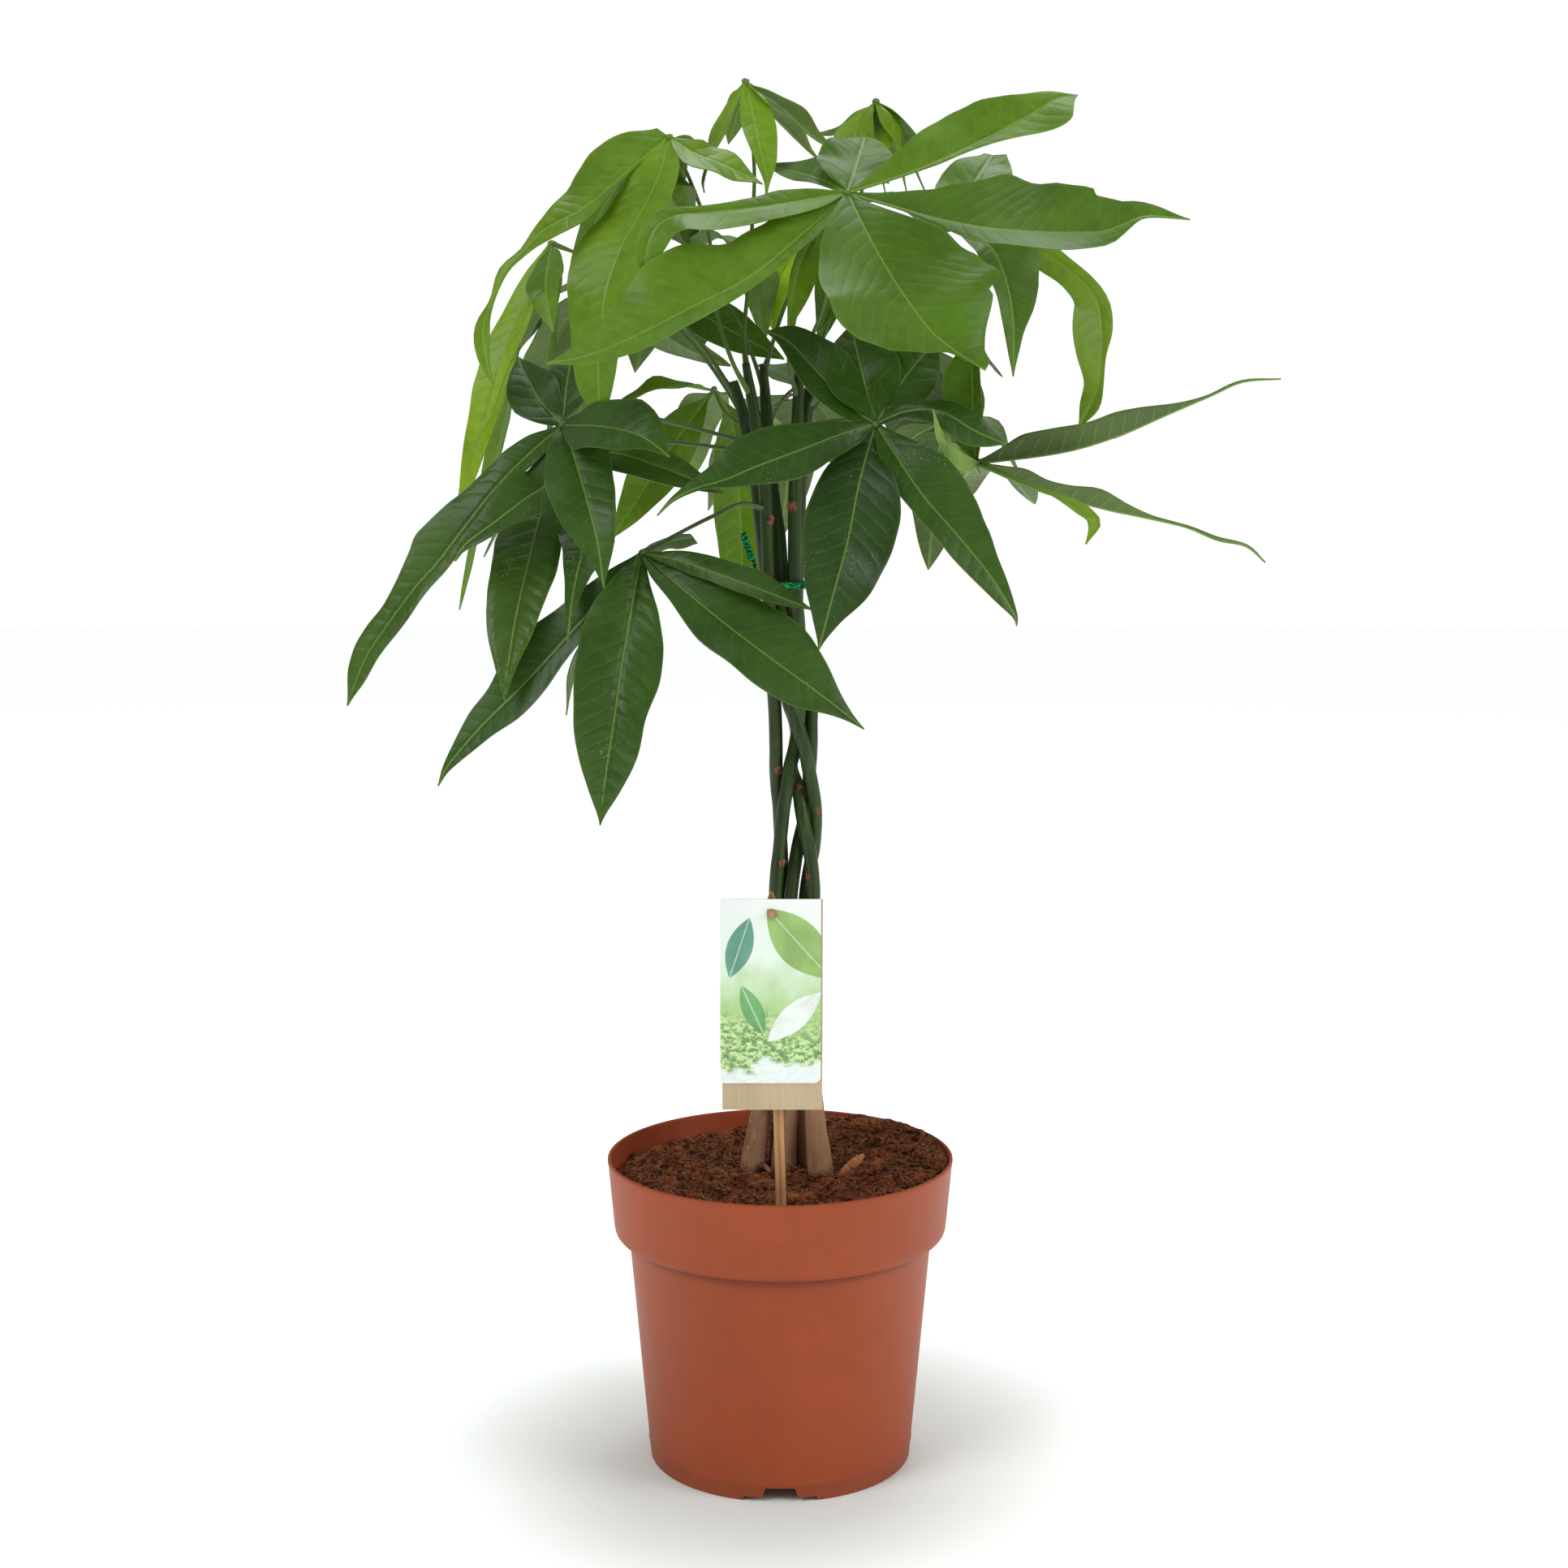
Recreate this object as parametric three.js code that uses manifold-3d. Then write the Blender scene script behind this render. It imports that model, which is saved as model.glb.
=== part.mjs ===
// Braided money tree in a plastic nursery pot, with its wooden plant label.
// Millimetres, +Z up. The origin is the middle of the pot's underside, and -Y is the front.
import * as THREE from 'three';
import { mergeVertices } from 'three/addons/utils/BufferGeometryUtils.js';
import Module from 'manifold-3d';

const wasm = await Module();
wasm.setup();

// ---------------------------------------------------------------- driving dimensions
const GAP = 0.3; // clearance between pieces that touch

// Leaf places are read from the front as (x, z) in the plane of the trunk. They are then
// slid along the line to this eye point by a depth in front of that plane.
const EYE_DISTANCE = 1150;
const EYE_HEIGHT = 484.4;

const POT_SIDES = 32;
const RIM_RADIUS = 84;
const POT_HEIGHT = 150;
const BAND_FOOT = 112.3; // height where the rim band steps out of the body
const BAND_FLARE = 7.3; // how far the band's foot stands out of the body
const BAND_ROUND = 6.2; // height of the rounding under the band
const BODY_TOP_RADIUS = 73.8;
const FOOT_RADIUS = 63.8;
const FOOT_LINE = 8.6; // height of the raised line round the foot
const FOOT_RING = 5; // width of the ring that the pot stands on
const WALL = 1.6;
const FLOOR_UNDERSIDE = 4;
const FLOOR_TOP = 6;
const PAD_RADIUS = 16;
const LIP = 0.5; // rounding of the rim
const DRAIN_HOLES = 6;
const DRAIN_RADIUS = 4;
const DRAIN_CIRCLE = 38;
const NOTCHES = 3;
const NOTCH_WIDTH = 18;
const NOTCH_HEIGHT = 5.2;
const NOTCH_STEP = 1.4; // height of the shallow step on both sides of a notch
const NOTCH_STEP_WIDTH = 40;

const SOIL_TOP = 142;
const SOIL_RIM_DROP = 3;
const SOIL_HEAP = 10; // rise of the soil towards the back right
const SOIL_BUMP = 1.3;

const STEM_SIDES = 7;
const STEM_SEGMENTS = 28;

const BLADE_THICKNESS = 0.8;
const RIB_DEPTH = 0.7; // how far the midrib stands out of the blade's underside
const BASE_WEDGE = 0.12; // share of a leaflet's length in which its base widens
const BLADE_FOLD = 0.16; // rise of the blade's edges for each unit of half width
const BLADE_WAVE = 0.11; // height of the edge waves for each unit of half width
const PLAIN_ROWS = [48, 75, 135]; // lengths from which a plain leaflet gets one more row
const SHAPED_ROWS = [40, 60, 80, 105, 135]; // the same for one with hand-read half widths
const PETIOLE_RADIUS = 1.1;
const PETIOLE_FOOT_RADIUS = 1.7;
const HUB_RADIUS = 2.8;

const CARD_WIDTH = 46;
const CARD_HEIGHT = 85.5;
const CARD_LEFT = -27.4;
const CARD_TOP = 288;
const CARD_CORNER = 3;
const CARD_THICKNESS = 0.6;
const BOARD_HEIGHT = 98;
const BOARD_LEFT = -26.6;
const BOARD_THICKNESS = 2;
const LABEL_FRONT = -66; // y of the card's printed face
const STAKE_WIDTH = 4.8;
const STAKE_THICKNESS = 3.2;
const STAKE_TOP = 290.5;
const STAKE_END = 62;
const STAKE_GROOVE = 0.4;
const STAKE_TAPER = 6; // length of the narrowing at its top
const STAKE_LEAN = 0.031; // sideways lean of the stake, in radians
const STAKE_FOOT_X = 0.5; // stake's middle where it enters the soil
const PEG_X = -3.8;
const PEG_Z = 281.3;
const PEG_HEAD_RADIUS = 2.4;
const PEG_SHANK_RADIUS = 1.3;
const PEG_HEAD = 1.2;

const TIE_HEIGHT = 3.2;
const TIE_THICKNESS = 0.7;
const TIE_LEVEL = 427;

// ---------------------------------------------------------------- finishes
function finish(color, roughness) {
  return new THREE.MeshStandardMaterial({ color, roughness, metalness: 0 });
}

const FINISH = {
  pot: [0xa85539, 0.45],
  soil: [0x4a2413, 0.95],
  stem: [0x3f5a2c, 0.6],
  darkLeaf: [0x2c5a22, 0.45],
  midLeaf: [0x4a7d28, 0.45],
  youngLeaf: [0x6fa32f, 0.4],
  foil: [0x0e6b3c, 0.25],
  wood: [0xcbb083, 0.7],
  card: [0xc9dcb4, 0.35],
};

// ---------------------------------------------------------------- solids and nodes
function solidOf(geometry) {
  const bare = geometry.clone();
  bare.deleteAttribute('normal');
  bare.deleteAttribute('uv');
  const merged = mergeVertices(bare, 1e-4);
  return new wasm.Manifold(new wasm.Mesh({
    numProp: 3,
    vertProperties: new Float32Array(merged.attributes.position.array),
    triVerts: new Uint32Array(merged.index.array),
  }));
}

function geometryOf(solid) {
  const mesh = solid.getMesh();
  const geometry = new THREE.BufferGeometry();
  geometry.setAttribute('position', new THREE.BufferAttribute(mesh.vertProperties, 3));
  geometry.setIndex(new THREE.BufferAttribute(mesh.triVerts, 1));
  geometry.computeVertexNormals();
  return geometry;
}

function joined(solids) {
  return solids.reduce((whole, solid) => whole.add(solid));
}

const moneyTree = new THREE.Group();

function addNode(name, solid, finishName) {
  const mesh = new THREE.Mesh(geometryOf(solid), finish(...FINISH[finishName]));
  mesh.name = name;
  moneyTree.add(mesh);
}

// A closed body through rings of points. Each ring runs anticlockwise seen from ahead, and
// the columns in flipped are split along their other diagonal.
function loft(rings, flipped = []) {
  const count = rings[0].length;
  const position = rings.flat().flatMap((p) => [p.x, p.y, p.z]);
  const index = [];
  for (let i = 0; i + 1 < rings.length; i++) {
    for (let j = 0; j < count; j++) {
      const next = (j + 1) % count;
      const a = i * count + j;
      const b = i * count + next;
      const c = a + count;
      const d = b + count;
      if (flipped.includes(j)) index.push(a, b, c, b, d, c);
      else index.push(a, b, d, a, d, c);
    }
  }
  const last = (rings.length - 1) * count;
  for (let j = 1; j + 1 < count; j++) {
    index.push(0, j + 1, j);
    index.push(last, last + j, last + j + 1);
  }
  const geometry = new THREE.BufferGeometry();
  geometry.setAttribute('position', new THREE.Float32BufferAttribute(position, 3));
  geometry.setIndex(index);
  return geometry;
}

// A round body along a curve, with a radius that may change along it.
function roundAlong(curve, radiusAt, sides, segments) {
  const frames = curve.computeFrenetFrames(segments, false);
  const rings = [];
  for (let i = 0; i <= segments; i++) {
    const centre = curve.getPointAt(i / segments);
    const radius = radiusAt(i / segments, centre.z);
    const ring = [];
    for (let j = 0; j < sides; j++) {
      const angle = (2 * Math.PI * j) / sides;
      ring.push(centre.clone()
        .addScaledVector(frames.normals[i], radius * Math.cos(angle))
        .addScaledVector(frames.binormals[i], radius * Math.sin(angle)));
    }
    rings.push(ring);
  }
  return loft(rings);
}

// ---------------------------------------------------------------- pot and soil
// Half outline of the pot as [radius, height]: underside, outer wall, rim, inner wall, floor.
function potOutline() {
  const bodyIn = BODY_TOP_RADIUS - WALL;
  return [
    [0, 0],
    [PAD_RADIUS, 0],
    [PAD_RADIUS + 1, FLOOR_UNDERSIDE],
    [FOOT_RADIUS - FOOT_RING - 1, FLOOR_UNDERSIDE],
    [FOOT_RADIUS - FOOT_RING, 0],
    [FOOT_RADIUS, 0],
    [FOOT_RADIUS + 0.7, FOOT_LINE - 0.6],
    [FOOT_RADIUS + 1.1, FOOT_LINE],
    [FOOT_RADIUS + 0.8, FOOT_LINE + 0.7],
    [BODY_TOP_RADIUS, BAND_FOOT - 0.6],
    [BODY_TOP_RADIUS + BAND_FLARE * 0.45, BAND_FOOT],
    [BODY_TOP_RADIUS + BAND_FLARE * 0.8, BAND_FOOT + BAND_ROUND * 0.3],
    [BODY_TOP_RADIUS + BAND_FLARE, BAND_FOOT + BAND_ROUND],
    [RIM_RADIUS, POT_HEIGHT - 2 * LIP],
    [RIM_RADIUS - LIP, POT_HEIGHT],
    [RIM_RADIUS - WALL, POT_HEIGHT],
    [RIM_RADIUS - WALL - LIP, POT_HEIGHT - 4 * LIP],
    [bodyIn + BAND_FLARE, BAND_FOOT + BAND_ROUND],
    [bodyIn + BAND_FLARE * 0.6, BAND_FOOT + BAND_ROUND * 0.5],
    [bodyIn, BAND_FOOT + BAND_ROUND * 0.2],
    [FOOT_RADIUS - WALL, FLOOR_TOP],
    [0, FLOOR_TOP],
  ];
}

function turned(outline, sides) {
  const points = outline.map(([radius, height]) => new THREE.Vector2(radius, height));
  const geometry = new THREE.LatheGeometry(points, sides);
  geometry.rotateX(Math.PI / 2);
  return geometry;
}

function drainHole(turn) {
  const hole = new THREE.CylinderGeometry(DRAIN_RADIUS, DRAIN_RADIUS, 3 * FLOOR_TOP, 8);
  hole.rotateX(Math.PI / 2);
  hole.translate(0, -DRAIN_CIRCLE, FLOOR_TOP);
  hole.rotateZ(turn);
  return hole;
}

// A low arch cut through the foot, with a shallow step on both sides of it.
function footNotch(turn) {
  const half = NOTCH_WIDTH / 2;
  const side = NOTCH_STEP_WIDTH / 2;
  const arch = new THREE.Shape();
  arch.moveTo(-side, -1);
  arch.lineTo(side, -1);
  arch.lineTo(side - 1, NOTCH_STEP);
  arch.lineTo(half + 1, NOTCH_STEP);
  arch.lineTo(half - 1.5, NOTCH_HEIGHT);
  arch.lineTo(1.5 - half, NOTCH_HEIGHT);
  arch.lineTo(-half - 1, NOTCH_STEP);
  arch.lineTo(1 - side, NOTCH_STEP);
  arch.closePath();
  const depth = 14;
  const cutter = new THREE.ExtrudeGeometry(arch, { depth, bevelEnabled: false });
  cutter.rotateX(Math.PI / 2);
  cutter.translate(0, 4 - FOOT_RADIUS + depth / 2, 0);
  cutter.rotateZ(turn);
  return cutter;
}

function pot() {
  let solid = solidOf(turned(potOutline(), POT_SIDES));
  for (let i = 0; i < DRAIN_HOLES; i++) {
    const turn = (2 * Math.PI * (i + 0.5)) / DRAIN_HOLES;
    solid = solid.subtract(solidOf(drainHole(turn)));
  }
  for (let i = 0; i < NOTCHES; i++) {
    solid = solid.subtract(solidOf(footNotch((2 * Math.PI * i) / NOTCHES)));
  }
  return solid;
}

// Height of the crumbly top of the soil, which is heaped up towards the back right.
function soilHeight(x, y) {
  const radius = Math.hypot(x, y) / RIM_RADIUS;
  const heap = Math.max((0.4 * x + 0.9 * y) / RIM_RADIUS, 0);
  const bumps = Math.sin(x / 6.1 + 1) * Math.cos(y / 5.3) + 0.6 * Math.sin((x + y) / 3.7);
  const bowl = SOIL_TOP - SOIL_RIM_DROP * radius ** 2;
  return bowl + SOIL_HEAP * heap ** 2 + SOIL_BUMP * bumps;
}

// The soil fills the pot, and its holes fit what stands in it.
function soil(standing) {
  const room = GAP + 0.2;
  const bodyIn = BODY_TOP_RADIUS - WALL;
  const wallAt = (height) => {
    const [foot, low] = [bodyIn + BAND_FLARE, BAND_FOOT + BAND_ROUND];
    const [lip, high] = [RIM_RADIUS - WALL - LIP, POT_HEIGHT - 4 * LIP];
    return foot + ((height - low) / (high - low)) * (lip - foot) - room;
  };
  const edgeHeight = SOIL_TOP - SOIL_RIM_DROP;
  const edge = wallAt(edgeHeight);
  const outline = [
    [0, FLOOR_TOP + GAP],
    [FOOT_RADIUS - WALL - room, FLOOR_TOP + GAP],
    [bodyIn - room, BAND_FOOT + BAND_ROUND * 0.2],
    [bodyIn + BAND_FLARE * 0.6 - room, BAND_FOOT + BAND_ROUND * 0.5 + GAP],
    [wallAt(BAND_FOOT + BAND_ROUND), BAND_FOOT + BAND_ROUND + GAP],
    [edge, edgeHeight],
    [edge - 6, edgeHeight],
    [56, edgeHeight],
    [34, edgeHeight],
    [14, edgeHeight],
    [0, edgeHeight],
  ];
  const geometry = turned(outline, POT_SIDES);
  const places = geometry.attributes.position;
  for (let i = 0; i < places.count; i++) {
    if (places.getZ(i) < edgeHeight - 0.01) continue;
    const [x, y] = [places.getX(i), places.getY(i)];
    const height = soilHeight(x, y);
    const stretch = Math.hypot(x, y) > edge - 1 ? wallAt(height) / edge : 1;
    places.setXYZ(i, x * stretch, y * stretch, height);
  }
  return standing.reduce((whole, piece) => whole.subtract(piece), solidOf(geometry));
}

// ---------------------------------------------------------------- braided stems
// Middle line of each stem as [x, y, z], from its buried end to its top bud.
const STEM_ROUTES = {
  stem_1: [
    [15, 14, 118], [13.5, 12, 150], [13, 10, 175], [13, 9, 200], [11.5, 11, 225],
    [8, 12.5, 237], [4, 11, 250], [2, 8, 262], [1.5, 6, 276], [1, 3.8, 290], [0.5, 3.6, 300],
    [0, 3.1, 310], [-0.5, 2.5, 320], [-1.5, 1.7, 330], [-2, 0.2, 340], [-2, -1, 350],
    [-2.6, -2, 370], [-3.8, -2.5, 385], [-5, -2.5, 400], [-5.2, -2.5, 425], [-6, -3, 450],
    [-7, -3.2, 470], [-11, -4, 500], [-16, -6, 530],
  ],
  stem_2: [
    [-16, 7, 118], [-12.3, 5, 150], [-9, 3.5, 175], [-7.5, 1.5, 200], [-5, 0, 225],
    [-3.5, -2, 250], [-2.4, -3, 276], [-1.7, -4, 290], [-0.5, -4.5, 300], [0.5, -5, 310],
    [1.5, -5, 320], [3.2, -5, 330], [4.5, -3.7, 340], [7, -0.7, 350], [8.5, 0.9, 360],
    [9.3, 1.5, 370], [9.8, 0.5, 385], [9.2, -1, 400], [8.4, -2.2, 412], [7, -3, 425],
    [6.8, -3.2, 450], [7, -3.4, 470], [8, -4, 500], [9, -6, 535],
  ],
  stem_3: [
    [0, 19, 118], [0.5, 16, 150], [0, 12, 175], [0.5, 8, 200], [3, 5.5, 225], [6, 5, 237],
    [9, 5.8, 250], [11, 6, 262], [12, 3.9, 276], [14, 3.8, 290], [16, 3, 300],
    [16.8, 1, 310], [16.8, -1.5, 320], [15.5, -3.2, 330], [13.5, -4.7, 340], [11.5, -6.2, 350],
    [8.5, -6.2, 360], [6, -5.7, 370], [3.5, -4.7, 385], [2, -3.6, 400], [1.5, -0.3, 412],
    [1, 3, 425], [-0.6, 3.8, 450], [-3.5, 4.2, 470], [-6, 6, 500], [-8, 11, 530],
  ],
  stem_4: [
    [6, 1, 118], [5.7, 0, 150], [5.5, -2, 175], [5, -4.5, 200], [6, -7.5, 225], [8, -9, 237],
    [11, -9, 250], [14, -6.8, 262], [16, -4, 276], [15.5, -4.2, 290], [14, -4.8, 300],
    [12, -4.8, 310], [10, -3.6, 320], [8.5, 0.6, 330], [5.2, 4.7, 340], [8, 6.6, 350],
    [7.3, 8.1, 360], [4, 7, 370], [1.5, 6, 385], [-1.5, 4.7, 400], [-6, 5, 425],
    [-8.7, 3.8, 450], [-10.8, 3.7, 470], [-16, 4.5, 500], [-22, 6, 522],
  ],
  stem_5: [
    [22, -7, 118], [19, -5.5, 150], [16.5, -5, 175], [15.5, -4.5, 200], [14, -3.5, 225],
    [12, -2.3, 237], [9, -1.5, 250], [6.5, -0.3, 262], [5.2, -0.6, 276], [6.7, -0.4, 290],
    [8.2, 1.6, 300], [10.6, 4.6, 310], [12.7, 5, 320], [13.5, 5.6, 330], [14.2, 5, 340],
    [14.8, 4.4, 350], [14.8, 5.4, 360], [14.8, 6, 370], [11.4, 7.4, 385], [8, 6.6, 400],
    [7.9, 4.6, 425], [8.7, 4.2, 450], [9.2, 4.2, 470], [11.5, 4.5, 500], [15, 7, 525],
  ],
};

// Half thickness of a stem by height: woody and swollen at the foot, slim and green above.
function stemRadius(z) {
  const marks = [[118, 4.6], [150, 4.9], [180, 4.1], [215, 3.5], [270, 3.25], [470, 3.2],
    [500, 3], [515, 2.6], [536, 1.5]];
  const next = marks.findIndex(([height]) => z < height);
  if (next === 0) return marks[0][1];
  if (next < 0) return marks.at(-1)[1];
  const [low, lowRadius] = marks[next - 1];
  const [high, highRadius] = marks[next];
  return lowRadius + ((z - low) / (high - low)) * (highRadius - lowRadius);
}

function stemCurve(route) {
  return new THREE.CatmullRomCurve3(route.map((p) => new THREE.Vector3(...p)));
}

function stem(curve, extra = 0) {
  const radiusAt = (t, z) => stemRadius(z) + extra;
  return solidOf(roundAlong(curve, radiusAt, STEM_SIDES, STEM_SEGMENTS));
}

// Point on a stem's middle line at a height.
function stemPoint(curve, height) {
  const samples = 200;
  for (let i = 1; i <= samples; i++) {
    const point = curve.getPointAt(i / samples);
    if (point.z >= height) return point;
  }
  return curve.getPointAt(1);
}

// ---------------------------------------------------------------- leaves
function at([x, z, depth]) {
  const scale = (EYE_DISTANCE - depth) / EYE_DISTANCE;
  return new THREE.Vector3(x * scale, -depth, EYE_HEIGHT + (z - EYE_HEIGHT) * scale);
}

// Share of its full width that a plain leaflet has at t, from 0 at the hub to 1 at the tip:
// it is widest at peak, has a wedge-shaped base, and a small fullness gives it a blunt tip.
function leafletOutline(t, peak, fullness) {
  const stretched = t ** (Math.log(0.5) / Math.log(peak));
  const wedge = 1 - Math.exp(-((t / BASE_WEDGE) ** 2));
  return wedge * Math.sin(Math.PI * stretched) ** fullness;
}

// Smooth half width at t, from half widths at even steps along one side of a leaflet.
function widthAt(widths, t) {
  const points = widths.map((width, i) => new THREE.Vector2(i, width));
  return new THREE.SplineCurve(points).getPoint(t).y;
}

// Half widths of a leaflet at t, on its left and its right seen from its stalk.
function halfWidths({ width, left, right, peak = 0.47, fullness = 0.9 }, t) {
  const least = t < 0.5 ? 1 : 0.5;
  const plain = (width / 2) * leafletOutline(t, peak, fullness);
  const halves = left ? [widthAt(left, t), widthAt(right, t)] : [plain, plain];
  return halves.map((half) => Math.max(half, least));
}

// One leaflet: a folded, wavy blade along its rib, which starts in the hub. up is the side
// that the upper surface faces.
function leaflet(hub, spec, leafUp) {
  const curve = new THREE.CatmullRomCurve3([hub, ...spec.rib.map(at)], false, 'catmullrom', 0.5);
  const length = curve.getLength();
  const limits = spec.left ? SHAPED_ROWS : PLAIN_ROWS;
  const segments = 3 + limits.filter((limit) => length > limit).length;
  const facing = new THREE.Vector3(...(spec.up ?? leafUp)).normalize();
  const fold = spec.fold ?? BLADE_FOLD;
  const rings = [];
  for (let i = 0; i <= segments; i++) {
    const t = 0.5 - 0.5 * Math.cos((Math.PI * i) / segments);
    const centre = curve.getPointAt(t);
    const ahead = curve.getTangentAt(t);
    const above = facing.clone().addScaledVector(ahead, -facing.dot(ahead)).normalize();
    const side = new THREE.Vector3().crossVectors(ahead, above);
    const [left, right] = halfWidths(spec, t);
    const point = (across, sign, sink) => {
      const wave = BLADE_WAVE * Math.sin(4 * Math.PI * t + sign * 1.1);
      const lift = Math.abs(across) * (fold + wave) - sink;
      return centre.clone().addScaledVector(side, across).addScaledVector(above, lift);
    };
    const ribSink = BLADE_THICKNESS + RIB_DEPTH * (1 - t);
    rings.push([
      point(0, 0, 0),
      point(right, 1, 0),
      point(right, 1, BLADE_THICKNESS),
      point(0, 0, ribSink),
      point(-left, -1, BLADE_THICKNESS),
      point(-left, -1, 0),
    ]);
  }
  return solidOf(loft(rings, [2, 5]));
}

function petiole(foot, route, hub) {
  const curve = new THREE.CatmullRomCurve3([foot, ...route.map(at), hub]);
  const segments = Math.max(4, Math.round(curve.getLength() / 20));
  const radiusAt = (t) => PETIOLE_FOOT_RADIUS + (PETIOLE_RADIUS - PETIOLE_FOOT_RADIUS) * t;
  return solidOf(roundAlong(curve, radiusAt, 5, segments));
}

// A leaf grows as one piece: stalk, hub and leaflets. It is fitted to the stem with a gap.
function leaf(spec, stemLine, stemRoom) {
  const hub = at(spec.hub);
  const hubBall = new THREE.OctahedronGeometry(HUB_RADIUS, 0);
  hubBall.translate(hub.x, hub.y, hub.z);
  const stalk = petiole(stemPoint(stemLine, spec.foot), spec.petiole, hub);
  const blades = spec.leaflets.map((one) => leaflet(hub, one, spec.up));
  return joined([stalk, solidOf(hubBall), ...blades]).subtract(stemRoom);
}

const FACING_UP = [0, 0, 1];
const FACING_FRONT = [0.05, -0.75, 0.65];

// Each leaf's places are [x, z, depth] seen from the front; foot is the height on its stem.
const LEAVES = [
  {
    name: 'leaf_01', tone: 'midLeaf', stem: 'stem_2', foot: 530, up: FACING_FRONT,
    petiole: [[18, 550, 17], [23, 567, 30], [28, 587, 42]], hub: [31, 608, 55],
    leaflets: [
      {
        rib: [[62, 618, 50], [92, 631, 42], [115, 643, 33], [127, 650, 27], [137, 652, 21]],
        left: [1, 6, 12, 18, 20, 18, 13, 7, 0.3],
        right: [1, 1, 1, 2, 3, 7, 12, 14, 0.3],
      },
      {
        rib: [[49, 603, 59], [70, 597, 64], [90, 593, 68], [107, 591, 71], [125, 590, 73],
          [140, 590, 74], [150, 590.5, 75], [160, 594, 75], [170, 597.5, 74], [190, 596, 70]],
        left: [1, 4.7, 9.3, 15.3, 23.3, 32, 30, 26.6, 23.3, 18.6, 10.6, 5.3, 0.3],
        right: [1, 1, 1, 2.7, 6.6, 10.6, 12, 13.3, 12.4, 8, 2, 0.7, 0.3],
      },
      {
        rib: [[41, 588.4, 74], [54, 566.7, 86], [68, 547.7, 96], [76, 540, 99], [86, 533, 101],
          [96, 527, 101]],
        left: [1.5, 9.5, 19, 31, 37, 39, 36, 27, 5],
        right: [1.5, 12, 22, 31, 32, 27, 20, 13, 5],
      },
      {
        rib: [[10, 589, 70], [-14, 570, 84], [-41, 556, 95], [-67, 543, 102], [-89, 534, 105],
          [-109, 530, 105]],
        left: [1, 5, 6, 5.5, 7, 9, 10, 6, 0.3],
        right: [1, 10, 17, 20, 27, 27, 20, 11, 0.3],
      },
      {
        rib: [[-5, 602, 64], [-32, 599, 74], [-50, 597, 80], [-60, 588, 82], [-64, 567, 84]],
        left: [1, 7, 10, 10, 11, 13, 11, 7, 0.3],
        right: [1, 5, 8, 6, 4, 4, 6, 5, 0.3],
      },
      {
        rib: [[16, 615, 40], [0, 619, 14], [-8, 621, 2]],
        left: [1, 4, 7, 7, 4, 0.3],
        right: [1, 8, 13, 12, 6, 0.3],
      },
      { width: 36, fullness: 0.6, rib: [[35, 620, 37], [39, 633, 14]] },
    ],
  },
  {
    name: 'leaf_02', tone: 'youngLeaf', stem: 'stem_1', foot: 524, up: FACING_UP,
    petiole: [[-17, 541, 4], [-15, 564, 2], [-13, 593, 0], [-12, 620, -2]], hub: [-16, 658, 0],
    leaflets: [
      {
        rib: [[-24, 643, 6], [-30, 629, 10], [-35.5, 615, 13], [-35, 608, 14]],
        left: [1, 4, 5, 5, 4, 1.5, 0.3],
        right: [1, 4.5, 6.5, 6.5, 4.5, 1.5, 0.3],
      },
      {
        rib: [[-12.5, 643, 10], [-9.6, 629, 20], [-6.3, 615, 28], [-7, 601, 34]],
        left: [1, 7, 9.5, 9, 6, 1.2, 0.3],
        right: [1, 5, 6.5, 6, 4, 1, 0.3],
      },
      {
        rib: [[-7, 647, 0], [4, 637, -2], [12, 628, -4], [20, 621, -6], [24, 614, -7]],
        left: [1, 4, 7, 7, 4.5, 1, 0.3],
        right: [1, 6, 10, 10, 6, 1.5, 0.3],
      },
      { width: 16, rib: [[0, 648, -12], [13, 636, -24], [24, 628, -34]] },
      { width: 12, rib: [[-20, 644, -14], [-24, 630, -24]] },
    ],
  },
  {
    name: 'leaf_03', tone: 'youngLeaf', stem: 'stem_5', foot: 520, up: FACING_UP,
    petiole: [[21, 545, -14], [30, 575, -20], [38, 610, -26]], hub: [44, 649, -26],
    leaflets: [
      { width: 20, rib: [[36, 639, -18], [34, 626, -14], [36, 612, -12]] },
      {
        rib: [[45, 636, -16], [46, 622, -10], [49, 607, -8]],
        left: [1, 6, 8, 6, 2.5, 1, 0.3],
        right: [1, 7, 9, 7, 3, 1, 0.3],
      },
      {
        rib: [[51, 638, -20], [55, 624, -18], [59, 607, -16]],
        left: [1, 5, 7, 6, 2.5, 1, 0.3],
        right: [1, 6, 8, 7, 3, 1, 0.3],
      },
      {
        rib: [[55, 638, -30], [61, 622, -34], [68, 607, -36]],
        left: [1, 5, 7, 6, 2.5, 1, 0.3],
        right: [1, 6, 8, 7, 3, 1, 0.3],
      },
      { width: 12, rib: [[32, 638, -38], [21, 634, -44], [12, 638, -48]] },
      { width: 15, rib: [[48, 638, -42], [50, 612, -54]] },
    ],
  },
  {
    name: 'leaf_04', tone: 'youngLeaf', stem: 'stem_1', foot: 514, up: [-0.2, -0.5, 0.8],
    petiole: [[-22, 530, 12], [-31, 560, 12], [-33, 588, 10], [-41, 612, 20]], hub: [-51, 633, 30],
    leaflets: [
      {
        up: [-0.3, -0.72, 0.6],
        rib: [[-66, 621.5, 38], [-89, 602.5, 50], [-101.5, 595.5, 56], [-111, 590, 60],
          [-120, 580.5, 62], [-128, 572, 63], [-134.5, 558, 63], [-138.5, 546, 62], [-137, 531, 60],
          [-134.5, 520, 59]],
        left: [1, 1.5, 2, 4, 7, 8.5, 8, 3, 2, 1.5, 4, 1.5, 0.3],
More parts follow.
